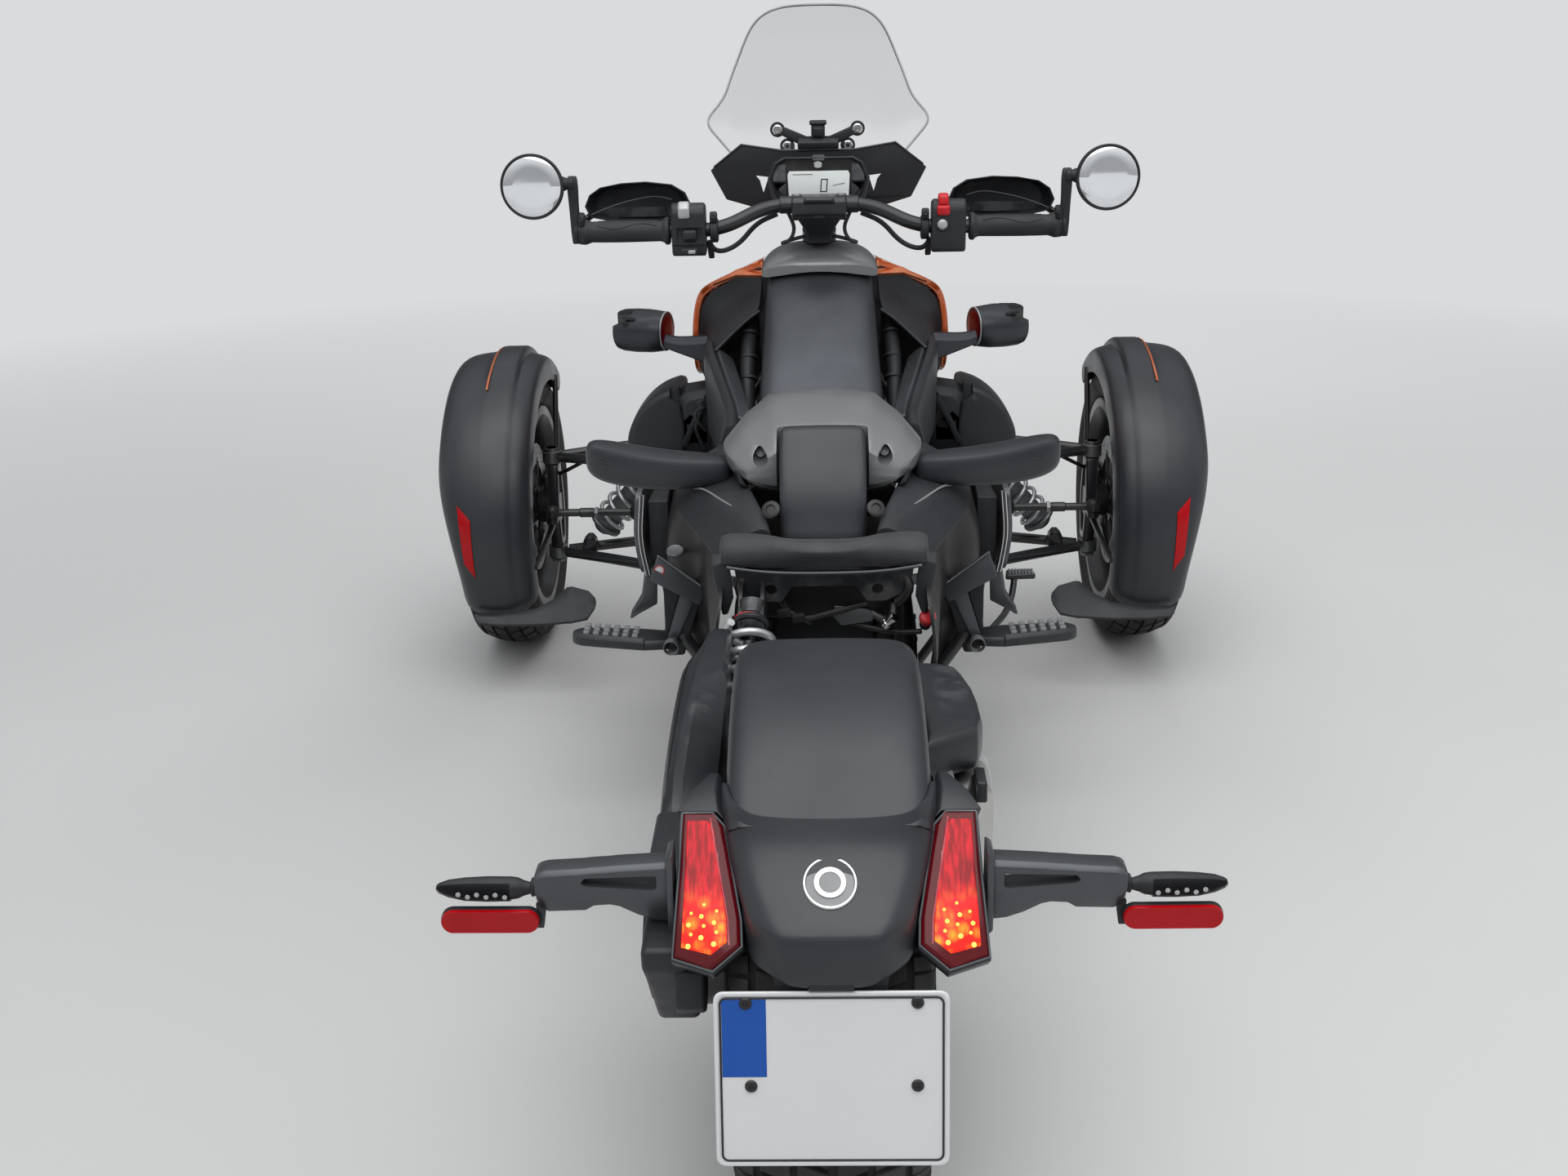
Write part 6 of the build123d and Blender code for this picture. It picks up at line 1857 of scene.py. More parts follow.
tailHalf = [
    [(103.5, -1000, 583), (102, -1016, 583), (98, -1031, 581.5), (92, -1041, 579.5), (84, -1050, 576.5),
     (73, -1057, 574), (46, -1061, 573), (0, -1062.5, 572.5)],
    [(106, -1002, 573), (104.5, -1022, 571), (100.5, -1038, 569), (94, -1048, 567), (84, -1057, 564.5),
     (70, -1063, 563), (40, -1067, 562), (0, -1068, 562)],
    [(106, -1000, 548), (104, -1024, 548), (101, -1044, 547), (96, -1054, 547), (83, -1067, 546),
     (66, -1073, 545), (36, -1077, 545), (0, -1078, 545)],
    [(98, -1036, 522), (96, -1060, 521), (92, -1076, 520), (87, -1086, 520), (71, -1100, 519),
     (57, -1105, 518), (30, -1107, 518), (0, -1107, 518)],
    [(87, -1070, 500), (84, -1092, 499), (80, -1109, 498), (74, -1117, 498), (52, -1135, 494),
        (44, -1138, 494),
     (26, -1139, 494), (0, -1139, 494)],
    [(86.5, -1072, 494), (83.5, -1095, 493), (79.5, -1112, 492), (73.5, -1121, 492), (51, -1140, 487),
     (44, -1143, 487), (26, -1144, 487), (0, -1144, 487)],
    [(85, -1076, 470), (82, -1098, 468), (78, -1114, 466), (72, -1122, 465), (50, -1142, 463),
        (43, -1145, 462),
     (25, -1147, 461), (0, -1147, 461)],
    [(83, -1082, 454), (80, -1101, 451), (75.5, -1113, 449), (70, -1121, 447), (48, -1141, 443),
     (42, -1144, 441), (24, -1146, 440), (0, -1146, 440)],
    [(78, -1086, 450), (75, -1099, 447), (71, -1108, 445), (65, -1115, 443), (44, -1133, 439),
        (38, -1136, 437),
     (22, -1138, 436), (0, -1138, 436)]]

lampTop = Vector((0, -1030, 563))
lampDown = Vector((0, -90, -93)).normalized()
lampOut = Vector((0, -93, 90)).normalized()


def onLamp(x, down, out):
    return tuple(Vector((x, 0, 0)) + lampTop + lampDown * -down + lampOut * out)


lampShape = [(142, 0), (113, 0), (101, -13), (84, -104), (83, -129), (110, -152), (148, -140), (144, -60)]
lampWindow = [(137, -8), (117, -8), (111, -16), (98, -104), (97, -125), (112, -137), (140, -130), (138, -60)]


def makeLamps():
    def ringAt(shape, out, grow=1.0):
        return [onLamp(116 + (x - 116) * grow, -74 + (d + 74) * grow, out) for x, d in shape]
    lens = loft("lampLens", [ringAt(lampShape, -11, 0.99), ringAt(lampShape, -3, 1.0),
                             [onLamp(x + (3 if x < 112 else -2) * 1.5, d * 0.97 - 2, 0.6)
                                 for x, d in lampShape]])
    bevel(lens, 1.0, 2, 20)
    window = loft("lampWindow", [ringAt(lampWindow, -4), ringAt(lampWindow, 0.8),
            ringAt(lampWindow, 1.6, 0.96)])
    bevel(window, 0.6, 2, 20)
    rim = wire("lampRim", [onLamp(x, d, -1.5) for x, d in lampShape + lampShape[:1]], 1.5, "POLY")
    facet = wire("lampFacet", [onLamp(114.5, -6, 1.2), onLamp(96.5, -104, 1.2), onLamp(95, -128, 1.2)],
        0.8, "POLY", 3)
    bars = []
    for column, start in ((0, -96), (1, -90), (2, -98)):
        x = 107 + column * 12
        for row, (size, gap) in enumerate(((1.6, 0), (2.3, 11), (1.8, 20), (2.6, 31))):
            spot = Vector(onLamp(x + (row % 2) * 2.4, start - gap, 1.0))
            bars.append(turned("lightPoint", [(0, size), (1.0, size * 0.9), (1.6, size * 0.4)], tuple(spot),
                               tuple(lampOut), 10))
    lights = joined(bars, "lightPoints")
    ribs = [wire("lampRib", [onLamp(x, -10 - start, 0.9), onLamp(x + lean, -130, 0.9)], 0.5, "POLY", 3)
            for x, lean, start in ((120, -6, 0), (127, -3, 0), (133, 0, 2), (107, -4, 30))]
    back = loft("lampHousing", [ringAt(lampShape, -40, 0.92), ringAt(lampShape, -24, 1.03),
                                ringAt(lampShape, -6, 1.045),
                                ringAt(lampShape, -4, 1.03)])
    bevel(back, 1.5, 2, 30)
    roof = loft("lampRoof", [[onLamp(148, 3, -4), onLamp(108, 3, -4), onLamp(96, -12, -6),
                              onLamp(100, -12, -30),
                              onLamp(146, 0, -34)],
                             [(136, -1000, 571), (112, -1000, 573), (104, -1004, 566), (106, -1000, 548),
                              (140, -1000, 546)],
                             [(118, -966, 574), (110, -966, 574), (106, -968, 570), (108, -968, 556),
                              (120, -968, 556)]])
    bevel(roof, 1.5, 2, 30)
    coat("lampEdge", *ribs)
    coat("lampRed", lens)
    coat("lampLight", window)
    coat("lightPoint", lights)
    coat("satinGrey", rim)
    coat("lampEdge", facet)
    lamps = bothSides(joined([lens, window, lights, rim, facet] + ribs, "tailLampsLook"), "tailLampsLook")
    coat("satinBlack", back, roof)
    housings = bothSides(joined([back, roof], "lampHousings"), "lampHousings")
    reflector = []
    for out, grow, material in ((0, 1.0, "mouldedBlack"), (4, 0.94, "reflectorRed")):
        rings = []
        for depth, keep in ((0, 1.0), (4, 1.0), (5.5, 0.95)):
            ring = []
            for step in range(28):
                turn = fullTurn * step / 28
                shift = 35.5 if math.cos(turn) > 0 else -35.5
                ring.append((328 + shift + 13 * grow * keep * math.cos(turn), -1066 - out - depth,
                             470 + 13 * grow * keep * math.sin(turn)))
            rings.append(ring)
        reflector.append(paint(loft("rearReflector", rings), materials[material]))
    reflectors = bothSides(joined(reflector, "reflectorsLook"), "reflectorsLook")
    fit([lamps, reflectors], "tailLampsLook", ["tail_lamps"], 30)
    return housings


def makeTailPanel(housings):
    rows = [[(x, y, z) for x, y, z in half] + [(-x, y, z) for x, y, z in half[-2::-1]] for half in tailHalf]
    panel = grid("tailPanelLook", rows, 4, 2, -1.0, 4)
    badge = turned("badge", [(-3, 26), (1.6, 26), (3.0, 25), (3.0, 23.4), (1.2, 22.4)],
                   badgeSpot, badgeFacing, 56)
    band = turned("badgeBand", [(1, 10), (3.4, 10.5), (3.4, 15), (1, 15.5)], badgeSpot, badgeFacing, 56)
    face = turned("badgeFace", [(-1, 22.6), (1.2, 22.5), (1.6, 15.5), (2.3, 15), (2.7, 13.5), (2.9, 6)],
                  badgeSpot, badgeFacing, 56)
    coat("castGrey", face)
    cheeks = slab("tailInner", [(-78, 548), (78, 548), (72, 452), (-72, 452)], "Y", -1056, -1030)
    bevel(cheeks, 4)
    cut(cheeks, between("tyreSpace", (-110, -843, 303), (110, -843, 303), 312, 96))
    coat("fenderGrey", panel)
    coat("brightSteel", badge, band)
    coat("softBlack", cheeks)
    fit([panel, badge, band, face, cheeks, housings], "tailPanelLook", ["tail_panel"], 32)


armRows = [(154, 464, 531), (170, 466, 530), (186, 472, 529), (203, 481, 528), (212, 483, 527),
           (228, 482, 526), (236, 477, 525), (272, 476, 523), (279, 480, 521), (283, 488, 518)]
budRows = [(280, 5.5, 5.5, 0), (290, 6, 6, 0), (296, 7, 8, 0), (301, 9.5, 10.5, 0), (308, 10.5, 11.5, 0),
           (330, 10.5, 12, 0), (352, 9.5, 11, 0), (368, 7.5, 8, 1), (377, 4.5, 4.5, 1.5), (380, 2, 2, 2)]


def makeIndicatorArms():
    rings = []
    for x, low, high in armRows:
        mid = low + 0.45 * (high - low)
        rings.append([(x, -1047, low + 1), (x, -1066, low), (x, -1073, mid), (x, -1074, high - 5),
                      (x, -1069, high), (x, -1047, high)])
    arm = loft("armLook", rings)
    slot = slab("armSlot", [(166, 518), (166, 505), (170, 503), (234, 508), (238, 511), (234, 516)],
        "Y", -1090, -1030)
    cut(arm, slot)
    bevel(arm, 1.4, 2, 25)
    root = slab("armRoot", [(149, 452), (156, 458), (156, 538), (149, 543)], "Y", -1078, -1042)
    bevel(root, 2)
    tab = slab("reflectorTab", [(274, 484), (284, 484), (284, 458), (278, 458)], "Y", -1066, -1061)
    bud = loft("bud", [[(x, -1060 + a * math.cos(fullTurn * k / 20), 499 + lift
                        + b * math.sin(fullTurn * k / 20))
                        for k in range(20)] for x, a, b, lift in budRows])
    lens = loft("budLens", [[(x, -1062 + a * 1.06 * math.cos(fullTurn * k / 20),
                              498 + lift + b * 0.94 * math.sin(fullTurn * k / 20)) for k in range(20)]
                            for x, a, b, lift in budRows[4:]])
    collar = turned("budCollar", [(0, 6), (1, 8), (7, 9.5), (8, 8)], (280, -1060, 500), alongX, 20)
    diodes = [turned("diode", [(0, 2.4), (1.2, 2.4), (1.8, 1.2)], (312 + 9 * k, -1072.6 + 0.25 * k, 496.5
                     + (k % 2) * 2.4), (0, -1, 0), 10) for k in range(6)]
    # the arms are satin black; this lighter satin grey paints the light on them
    coat("satinGrey", arm, root)
    coat("softBlack", tab, bud, collar)
    coat("smokedLens", lens)
    coat("paleGrey", *diodes)
    fitPair([arm, root, tab, bud, collar, lens] + diodes, "armsLook", ["indicator_arms"], 32)


plateLean = math.radians(11)


def onPlate(x, up, out):
    y = -1176 + 87 * math.sin(plateLean) + up * math.sin(plateLean) - out * math.cos(plateLean)
    z = 436 - 87 * math.cos(plateLean) + up * math.cos(plateLean) + out * math.sin(plateLean)
    return (x, y, z)


def plateRing(half, tall, corner, out):
    ring = []
    for cx, cz, start in ((1, 1, 0), (-1, 1, 90), (-1, -1, 180), (1, -1, 270)):
        for step in range(6):
            turn = math.radians(start + step * 18)
            ring.append(onPlate(cx * (half - corner) + corner * math.cos(turn),
                                cz * (tall - corner) + corner * math.sin(turn), out))
    return ring


def makePlate():
    plate = loft("plateLook", [plateRing(110, 87, 9, -1.5), plateRing(110, 87, 9, -0.3),
                               plateRing(109, 86, 8.5, 0.9),
                               plateRing(106.5, 83.5, 7, 0.9), plateRing(105.5, 82.5, 6.5, 0.1)])
    border = wire("plateBorder", plateRing(104, 81, 6, 0.3) + plateRing(104, 81, 6, 0.3)[:1], 1.1, "POLY", 3)
    band = loft("plateBand", [[onPlate(x, up, out) for x, up in ((-102.6, 79.6), (-61, 79.6),
                              (-61, 3), (-102.6, 3))]
                              for out in (-0.5, 0.5)])
    coat("plateWhite", plate)
    coat("inkBlack", border)
    coat("plateBlue", band)
    screws = [turned("plateScrew", [(-1, 6), (1.2, 6), (2.4, 4.8), (2.6, 2.6), (1.6, 2.2)],
                     onPlate(x, up, 0.2),
                     (0, -math.cos(plateLean), math.sin(plateLean)), 18)
              for x, up in ((-80, 76), (80, 76), (-76, -6), (80, -6))]
    coat("inkBlack", *screws)
    fit([plate, border, band] + screws, "plateLook", ["number_plate"], 30)
    back = loft("holderLook", [plateRing(106, 83, 9, -8), plateRing(108, 85, 9, -7),
            plateRing(109, 86, 9, -1.8)])
    neck = loft("holderNeck", [[onPlate(x, 40, d) for x, d in ((-46, -7), (46, -7), (46, -18), (-46, -18))],
                               [onPlate(x, 84, d) for x, d in ((-52, -7), (52, -7), (52, -22), (-52, -22))],
                               [onPlate(x, 106, d) for x, d in ((-56, -6), (56, -6), (56, -30), (-56, -30))]])
    bevel(neck, 3)
    ribs = [loft("holderRib", [[onPlate(x + w, -70, -8), onPlate(x - w, -70, -8), onPlate(x - w, -70, -11),
                                onPlate(x + w, -70, -11)],
                               [onPlate(x + w, 40, -8), onPlate(x - w, 40, -8), onPlate(x - w, 40, -15),
                                onPlate(x + w, 40, -15)]]) for x, w in ((-60, 2), (-20, 2), (20, 2), (60, 2))]
    lamp = loft("plateLamp", [[onPlate(x, up, d) for x, up in ((-22, 88), (22, 88), (20, 98), (-20, 98))]
                              for d in (-8, 4)])
    bevel(lamp, 2)
    settle(joined([back, neck, lamp] + ribs, "holderLook"), "chassis",
           materials["softBlack"],
           ["plate_holder"], 32)


coverRuns = [  # y, top z, plateau x, outer x, shoulder z
    (-438, 508, -136, -158, 440), (-442, 520, -141, -162, 448), (-452, 525, -146, -168, 462),
    (-480, 526, -149, -177, 480), (-520, 526, -153, -182, 496), (-580, 525, -159, -184, 504),
    (-700, 519, -166, -184, 504), (-800, 511, -168, -183, 496), (-850, 503, -168, -182, 489),
    (-888, 488, -167, -182, 475), (-905, 466, -166, -181, 455)]


def makeRearCovers():
    rings = []
    for y, top, flat, out, shoulder in coverRuns:
        rings.append([(-122, y, 372), (-122, y, top - 8), (-127, y, top - 1), (flat, y, top),
                      (flat - 6, y, top - 4),
                      (out + 3, y, shoulder + 4), (out, y, shoulder - 8), (out, y, 430), (out + 4, y, 376)])
    cover = loft("coverLeft", blendRings(rings, 3))
    pocket = loft("coverPocket", [[(-100, y, low), (edge, y, high), (edge, y, high + 60), (-100, y, low + 80)]
                                  for y, low, edge, high in ((-570, 524, -126, 528), (-592, 508, -138, 526),
                                                             (-630, 496, -152, 523), (-720, 490, -156, 517),
                                                             (-820, 484, -157, 508), (-880, 470, -157, 494),
                                                             (-940, 440, -157, 460))])
    cut(cover, pocket)
    bevel(cover, 3, 3, 30)
    seams = [wire("coverSeam", [(-171 + a, -470, 494), (-175 + a, -520, 510), (-177 + a, -600, 515),
                                (-177 + a, -700, 513), (-177 + a, -800, 505), (-176 + a, -850, 498),
                                (-175 + a, -888, 482)], 0.9, "NURBS", 3) for a in (0, 6)]
    strut = slab("strutLook", [(-905, 340), (-912, 292), (-990, 299), (-1060, 385),
                               (-1104, 432), (-1106, 456),
                               (-1046, 462), (-1036, 480), (-1012, 500), (-905, 500)], "X", -181, -136)
    bevel(strut, 7, 4, 30)
    rib = slab("strutRib", [(-930, 470), (-1010, 470), (-1070, 420), (-1000, 330), (-930, 330)],
        "X", -185, -180)
    bevel(rib, 2.5, 3)
    foot = slab("strutFoot", [(-1060, 430), (-1100, 430), (-1112, 396), (-1096, 380), (-1070, 384)],
        "X", -150, -120)
    bevel(foot, 4, 3)
    plan = [(109, -550), (140, -556), (159, -568), (166, -592), (175, -645), (178, -690),
            (178, -742), (170, -772), (109, -815)]
    guard = loft("coverRight", [[(143 + (x - 143) * keep, -680 + (y + 680) * keep, z + rise * (y + 680) / 100)
                                 for x, y in plan]
                                for keep, z, rise in ((0.96, 478, 0), (1.0, 488, -1), (1.0, 510, -2),
                                    (0.985, 518, -3),
                                                      (0.94, 524, -3.5), (0.80, 527, -3.5))])
    bevel(guard, 2.5, 3, 24)
    shield = slab("heatShield", [(117, -770), (139, -770), (142, -838), (147, -895), (118, -884)],
        "Z", 484, 487)
    bevel(shield, 1)
    wall = slab("heatWall", [(-838, 487), (-895, 487), (-890, 468), (-838, 468)], "X", 143, 146)
    hook = slab("coverHook", [(-770, 480), (-806, 478), (-812, 456), (-800, 450), (-792, 462), (-770, 462)],
        "X", 166, 178)
    bevel(hook, 2.5)
    coat("satinBlack", cover, guard)
    coat("inkBlack", *seams)
    coat("springSilver", shield, wall)
    coat("mouldedBlack", strut, rib, foot, hook)
    fit([cover, strut, rib, foot, guard, hook, shield, wall] + seams, "rearCoversLook",
        ["rear_covers"])


def canRing(y, wide, tall, corner, middle=(153, 400)):
    ring = []
    for cx, cz, start in ((1, 1, 0), (-1, 1, 90), (-1, -1, 180), (1, -1, 270)):
        for step in range(5):
            turn = math.radians(start + step * 22.5)
            ring.append((middle[0] + cx * (wide / 2 - corner) + corner * math.cos(turn), y,
                         middle[1] + cz * (tall / 2 - corner) + corner * math.sin(turn)))
    return ring


def makeSilencer():
    can = loft("canLook", [canRing(-430, 54, 96, 24), canRing(-436, 62, 108, 28), canRing(-500, 70, 130, 32),
                           canRing(-556, 74, 148, 34), canRing(-562, 76, 151, 35), canRing(-568, 74, 149, 34),
                           canRing(-770, 72, 146, 34), canRing(-776, 72, 148, 34),
                           canRing(-800, 54, 142, 26, (144, 400)), canRing(-846, 32, 132, 15, (132, 400)),
                           canRing(-852, 27, 126, 12, (131, 400))])
    bevel(can, 0.8, 2, 40)
    pipe = wire("pipeLook", bent([(150, -60, 215), (186, -170, 215), (176, -330, 300),
                (158, -436, 395)], 60, 8), 19, "POLY", 10)
    rings = [turned("pipeClamp", [(0, 20), (1, 22), (11, 22), (12, 20)], (161, -414, 378),
             (-0.14, -0.78, 0.62), 28),
             turned("outletLook", [(0, 22), (2, 24), (8, 22), (36, 21), (38, 22.5), (40, 22),
                 (40, 18), (6, 17)],
                    (131, -848, 385), backward, 36)]
    bolts = [screw("canBolt", (131, -851, z), backward, 5, 4) for z in (352, 448)]
    band = loft("canStrap", [canRing(y, w, t, 36) for y, w, t in ((-700, 75, 148), (-702, 79, 152),
                                                                  (-722, 79, 152), (-724, 75, 148))])
    coat("heatSteel", can, pipe)
    coat("castGrey", *rings, *bolts)
    coat("springSilver", band)
    fit([can, pipe, band] + rings + bolts, "silencerLook", ["silencer"])


def makeSwingArm():
    leg = slab("legLook", [(-300, 372), (-300, 288), (-560, 268), (-800, 250), (-905, 268), (-912, 330),
                           (-880, 372), (-560, 398)], "X", -168, -112)
    recess = slab("legRecess", [(-360, 352), (-360, 308), (-560, 292), (-740, 280), (-740, 340),
                  (-560, 370)], "X", -180, -160)
    cut(leg, recess)
    bevel(leg, 6, 3, 30)
    pivot = turned("pivotLook", [(0, 26), (2, 31), (290, 31), (303, 31), (304, 26)],
        (-168, -330, 330), alongX, 40)
    drive = turned("driveLook", [(0, 60), (6, 70), (14, 72), (66, 72), (70, 66)],
        (-182, -843, 303), alongX, 48)
    cap = turned("driveCap", [(0, 30), (4, 34), (12, 34)], (-188, -843, 303), alongX, 40)
    axle = turned("axleLook", [(0, 20), (176, 20), (178, 18)], (-114, -843, 303), alongX, 28)
    nut = turned("axleNut", [(0, 26), (1, 30), (10, 30), (12, 26), (12, 14)], (62, -843, 303), alongX, 6)
    mount = slab("mountLook", [(-121, 372), (-118, 396), (-92, 396), (-92, 372)], "Y", -545, -520)
    tabs = [slab("mountTab", [(x, 388), (x + 5.7, 388), (x + 5.7, 414), (x, 418)], "Y", -545, -520)
            for x in (-130, -99.7)]
    caliper = lump("caliperLook", -111.7, -62, [(-759, 341), (-700, 341), (-692, 330),
                                                (-692, 276), (-700, 265), (-759, 265)], 6)
    slot = between("caliperSlot", (-86, -843, 303), (-77, -843, 303), 128, 64)
    cut(caliper, slot)
    bolts = [screw("driveBolt", (-182, -843 + 56 * math.cos(k * 1.047), 303
                   + 56 * math.sin(k * 1.047)), (-1, 0, 0), 5, 5) for k in range(6)]
    coat("powderBlack", leg, pivot, drive, cap, mount, *tabs)
    coat("castGrey", axle, nut, *bolts, caliper)
    fit([leg, pivot, drive, cap, mount, axle, nut, caliper] + tabs + bolts, "swingArmLook",
        ["swing_arm"])


makeHump()
makeTailPanel(makeLamps())
makeIndicatorArms()
makePlate()
makeRearCovers()
makeSilencer()
makeSwingArm()
print("rear done")

# Feet, suspension, springs and the parts under the tail
railRows = {  # y: inner edge and outer edge of the blade, from the bottom up
    196: [(299, 372), (303, 392), (308, 425), (309, 452), (306, 485), (303, 516)],
    240: [(294, 366), (299, 388), (304, 424), (305, 454), (301, 492), (297, 524)],
    330: [(282, 352), (287, 380), (291, 422), (291, 456), (287, 505), (282, 540)],
    440: [(268, 350), (272, 380), (275, 422), (275, 456), (271, 505), (266, 545)]}


def makeFootRails():
    rows = [[(x + 6, y, z) for x, z in points] for y, points in railRows.items()]
    blade = grid("railBlade", rows, 9)
    edge = loft("railEdge", [[(x + a, 196 - b, z) for a, b in ((-4, 0), (-2, 5), (7, 6), (9, 0))]
                             for x, z in railRows[196]])
    bevel(edge, 2, 3, 30)
    # two bright steel wires along the blade's rounded rear edge paint its highlight; they are not real trims
    railHighlights = [wire("railStripe", [(x + a, 189.5, z) for x, z in railRows[196]], 1.5, "NURBS", 3)
               for a in (-0.5, 5.5)]
    fin = loft("railFin", [[(286, 196, 372), (304, 196, 372), (309, 206, 380), (288, 208, 380)],
                           [(288, 190, 318), (313, 190, 330), (316, 202, 335), (290, 204, 322)],
                           [(321, 192, 299), (333, 192, 302), (334, 200, 306), (322, 201, 302)],
                           [(333, 194, 290), (338, 194, 290), (338, 198, 292), (334, 198, 292)]])
    bevel(fin, 2, 3, 30)
    inner = loft("railInner", [[(264, y, low), (a, y, low), (a, y, high), (264, y, high)]
                               for y, low, high, a in ((206, 384, 500, 298), (330, 366, 520, 282),
                                   (440, 360, 530, 268))])
    bevel(inner, 4)
    arm = wire("railArm", [(160, 250, 168), (220, 250, 250), (290, 250, 372)], 9, "NURBS", 6)
    bolts = [screw("railBolt", spot, alongX, 5, 3) for spot in ((299, 300, 440), (287, 400, 470))]
    coat("satinGrey", blade, edge, fin)
    coat("softBlack", inner)
    coat("frameBlack", arm)
    # bright steel on the edge wires: painted highlight
    coat("brightSteel", *railHighlights)
    coat("inkBlack", *bolts)
    fitPair([blade, edge, fin, inner, arm] + railHighlights + bolts, "footRailsLook",
        ["foot_rails"], 40)


def makePegBrackets():
    blade = slab("bracketBlade", [(270, 400), (250, 396), (196, 381), (214, 330), (232, 275),
                                  (236, 262), (262, 262), (268, 300), (264, 350)], "Y", 91, 105)
    bevel(blade, 4, 3, 30)
    window = slab("bracketRib", [(266, 392), (236, 386), (262, 300), (266, 310)], "Y", 86, 92)
    bevel(window, 2, 3, 30)
    arm = wire("bracketArm", [(152, 98, 168), (196, 98, 236), (240, 98, 300)], 11, "NURBS", 6)
    plate = loft("heelPlate", [[(273, y + 12, 444), (286, y, 404), (205, y, 360), (192, y + 10, 383)]
            for y in (70, 82)])
    bevel(plate, 3, 3, 30)
    lip = wire("heelLip", [(273, 81, 445), (246, 81, 424), (193, 79, 384)], 1.2, "POLY", 3)
    bolt = screw("heelScrew", (216, 78, 381), backward, 3.2, 2.0)
    knuckle = turned("pegKnuckle", [(0, 9), (2, 12), (34, 12), (36, 9)], (256, 84, 285), alongY, 28)
    spring = wire("pegSpring", [(256 + 13 * math.cos(k * 0.7), 82 - k * 0.5, 285 + 13 * math.sin(k * 0.7))
                                for k in range(34)], 1.3, "NURBS", 3)
    facet = loft("bracketFacet", [[(210, y, 372), (236, y, 384), (262, y, 300), (258, y, 270)]
            for y in (86.5, 91)])
    bevel(facet, 1.5, 2, 30)
    coat("satinGrey", facet)
    coat("softBlack", blade, window, knuckle)
    coat("frameBlack", arm)
    coat("satinGrey", plate)
    coat("midGrey", lip)
    coat("castGrey", bolt, spring)
    half = joined([blade, window, facet, arm, plate, lip, knuckle, spring, bolt], "pegBracket")
    both = bothSides(half, "pegBracketsLook")
    disc = turned("heelSign", [(0, 8.5), (0.5, 8.5), (0.8, 8)], (-270, 76.6, 421), backward, 28)
    ring = spun("heelRing", [(0, 7), (0, 8.6), (0.8, 8.6), (0.8, 7)], (0, 0, 0), 28)
    ring.matrix_world = Matrix.Translation((-0.270, 0.0760,
            0.421)) @ Matrix.Rotation(math.radians(-90), 4, "Z")
    freeze(ring)
    coat("plateWhite", disc)
    coat("switchRed", ring)
    fit([both, disc, ring], "pegBracketsLook", ["peg_brackets"])


def freeze(piece):
    pick(piece)
    bpy.ops.object.transform_apply(location=True, rotation=True, scale=True)


pegOutline = [(262, 80, 128), (280, 78, 132), (302, 76, 137), (340, 84, 141), (380, 93, 145), (412, 101, 147),
              (422, 108, 140), (428, 116, 132)]


def makePegs():
    rings = [[(x, back, 277), (x, back - 2, 284), (x, back + 2, 294), (x, front - 2, 295),
              (x, front + 1, 284), (x, front, 277)] for x, back, front in pegOutline]
    body = loft("pegBody", rings)
    bevel(body, 3, 3, 30)
    rail = loft("pegRail", [[(x, back - 3, 280), (x, back - 5, 292), (x, back + 1, 300), (x, back + 6, 297),
                             (x, back + 6, 284)] for x, back, front in pegOutline[2:-1]])
    bevel(rail, 1.5, 2, 30)
    pieces = [body, rail]
    cleats = []
    for column in range(6):
        x = 318 + column * 17
        back = 82 + (x - 302) * 0.225
        for row in range(3):
            y = back + 8 + row * 17
            cleat = loft("cleat", [[(x + a * keep, y + b * keep, z) for a, b in ((-6, -6), (5, -7),
                                   (7, 6), (-4, 7))]
                                   for z, keep in ((293, 1.0), (299, 0.9), (300.5, 0.72))])
            cleats.append(cleat)
    coat("satinBlack", *pieces)
    coat("midGrey", *cleats)
    pads = joined(cleats, "cleats")
    bevel(pads, 1.0, 2, 30)
    fitPair(pieces + [pads], "pegsLook", ["footpegs"], 32)


def makePedal():
    pad = slab("pedalPad", [(332, 340), (388, 344), (384, 374), (336, 371)], "Z", 300, 311)
    bevel(pad, 4, 3, 30)
    pins = []
    for row in range(4):
        for column in range(8):
            spot = (340 + column * 5.9 + (row % 2) * 1.5, 346.5 + row * 6.6, 310.5)
            pins.append(turned("pedalPin", [(0, 2.1), (2.2, 2.0), (3.0, 1.2)], spot, alongZ, 8))
    lever = wire("pedalLever", bent([(350, 352, 304), (344, 330, 274), (330, 300, 252), (262, 176, 236),
                                     (250, 96, 276)], 26, 8), 6, "POLY", 6)
    hub = turned("pedalHub", [(0, 10), (1.5, 12), (16, 12), (18, 10)], (250, 88, 276), alongY, 24)
    coat("powderBlack", pad, lever, hub)
    grips = joined(pins, "pedalPins")
    coat("midGrey", grips)
    fit([pad, grips, lever, hub], "pedalLook", ["brake_pedal"], 32)


shocks = {
    "frontShock": {"low": (495, 835, 220), "top": (250, 800, 500), "eye": (0, 1, 0), "thick": 4.4,
        "turns": 8.5, "lip": 37},
    "rearShock": {"low": (-112, -533, 410.3), "top": (-99, -400, 515), "eye": (1, 0, 0), "thick": 5.6,
        "turns": 4.6, "lip": 24, "cup": 0.96}}


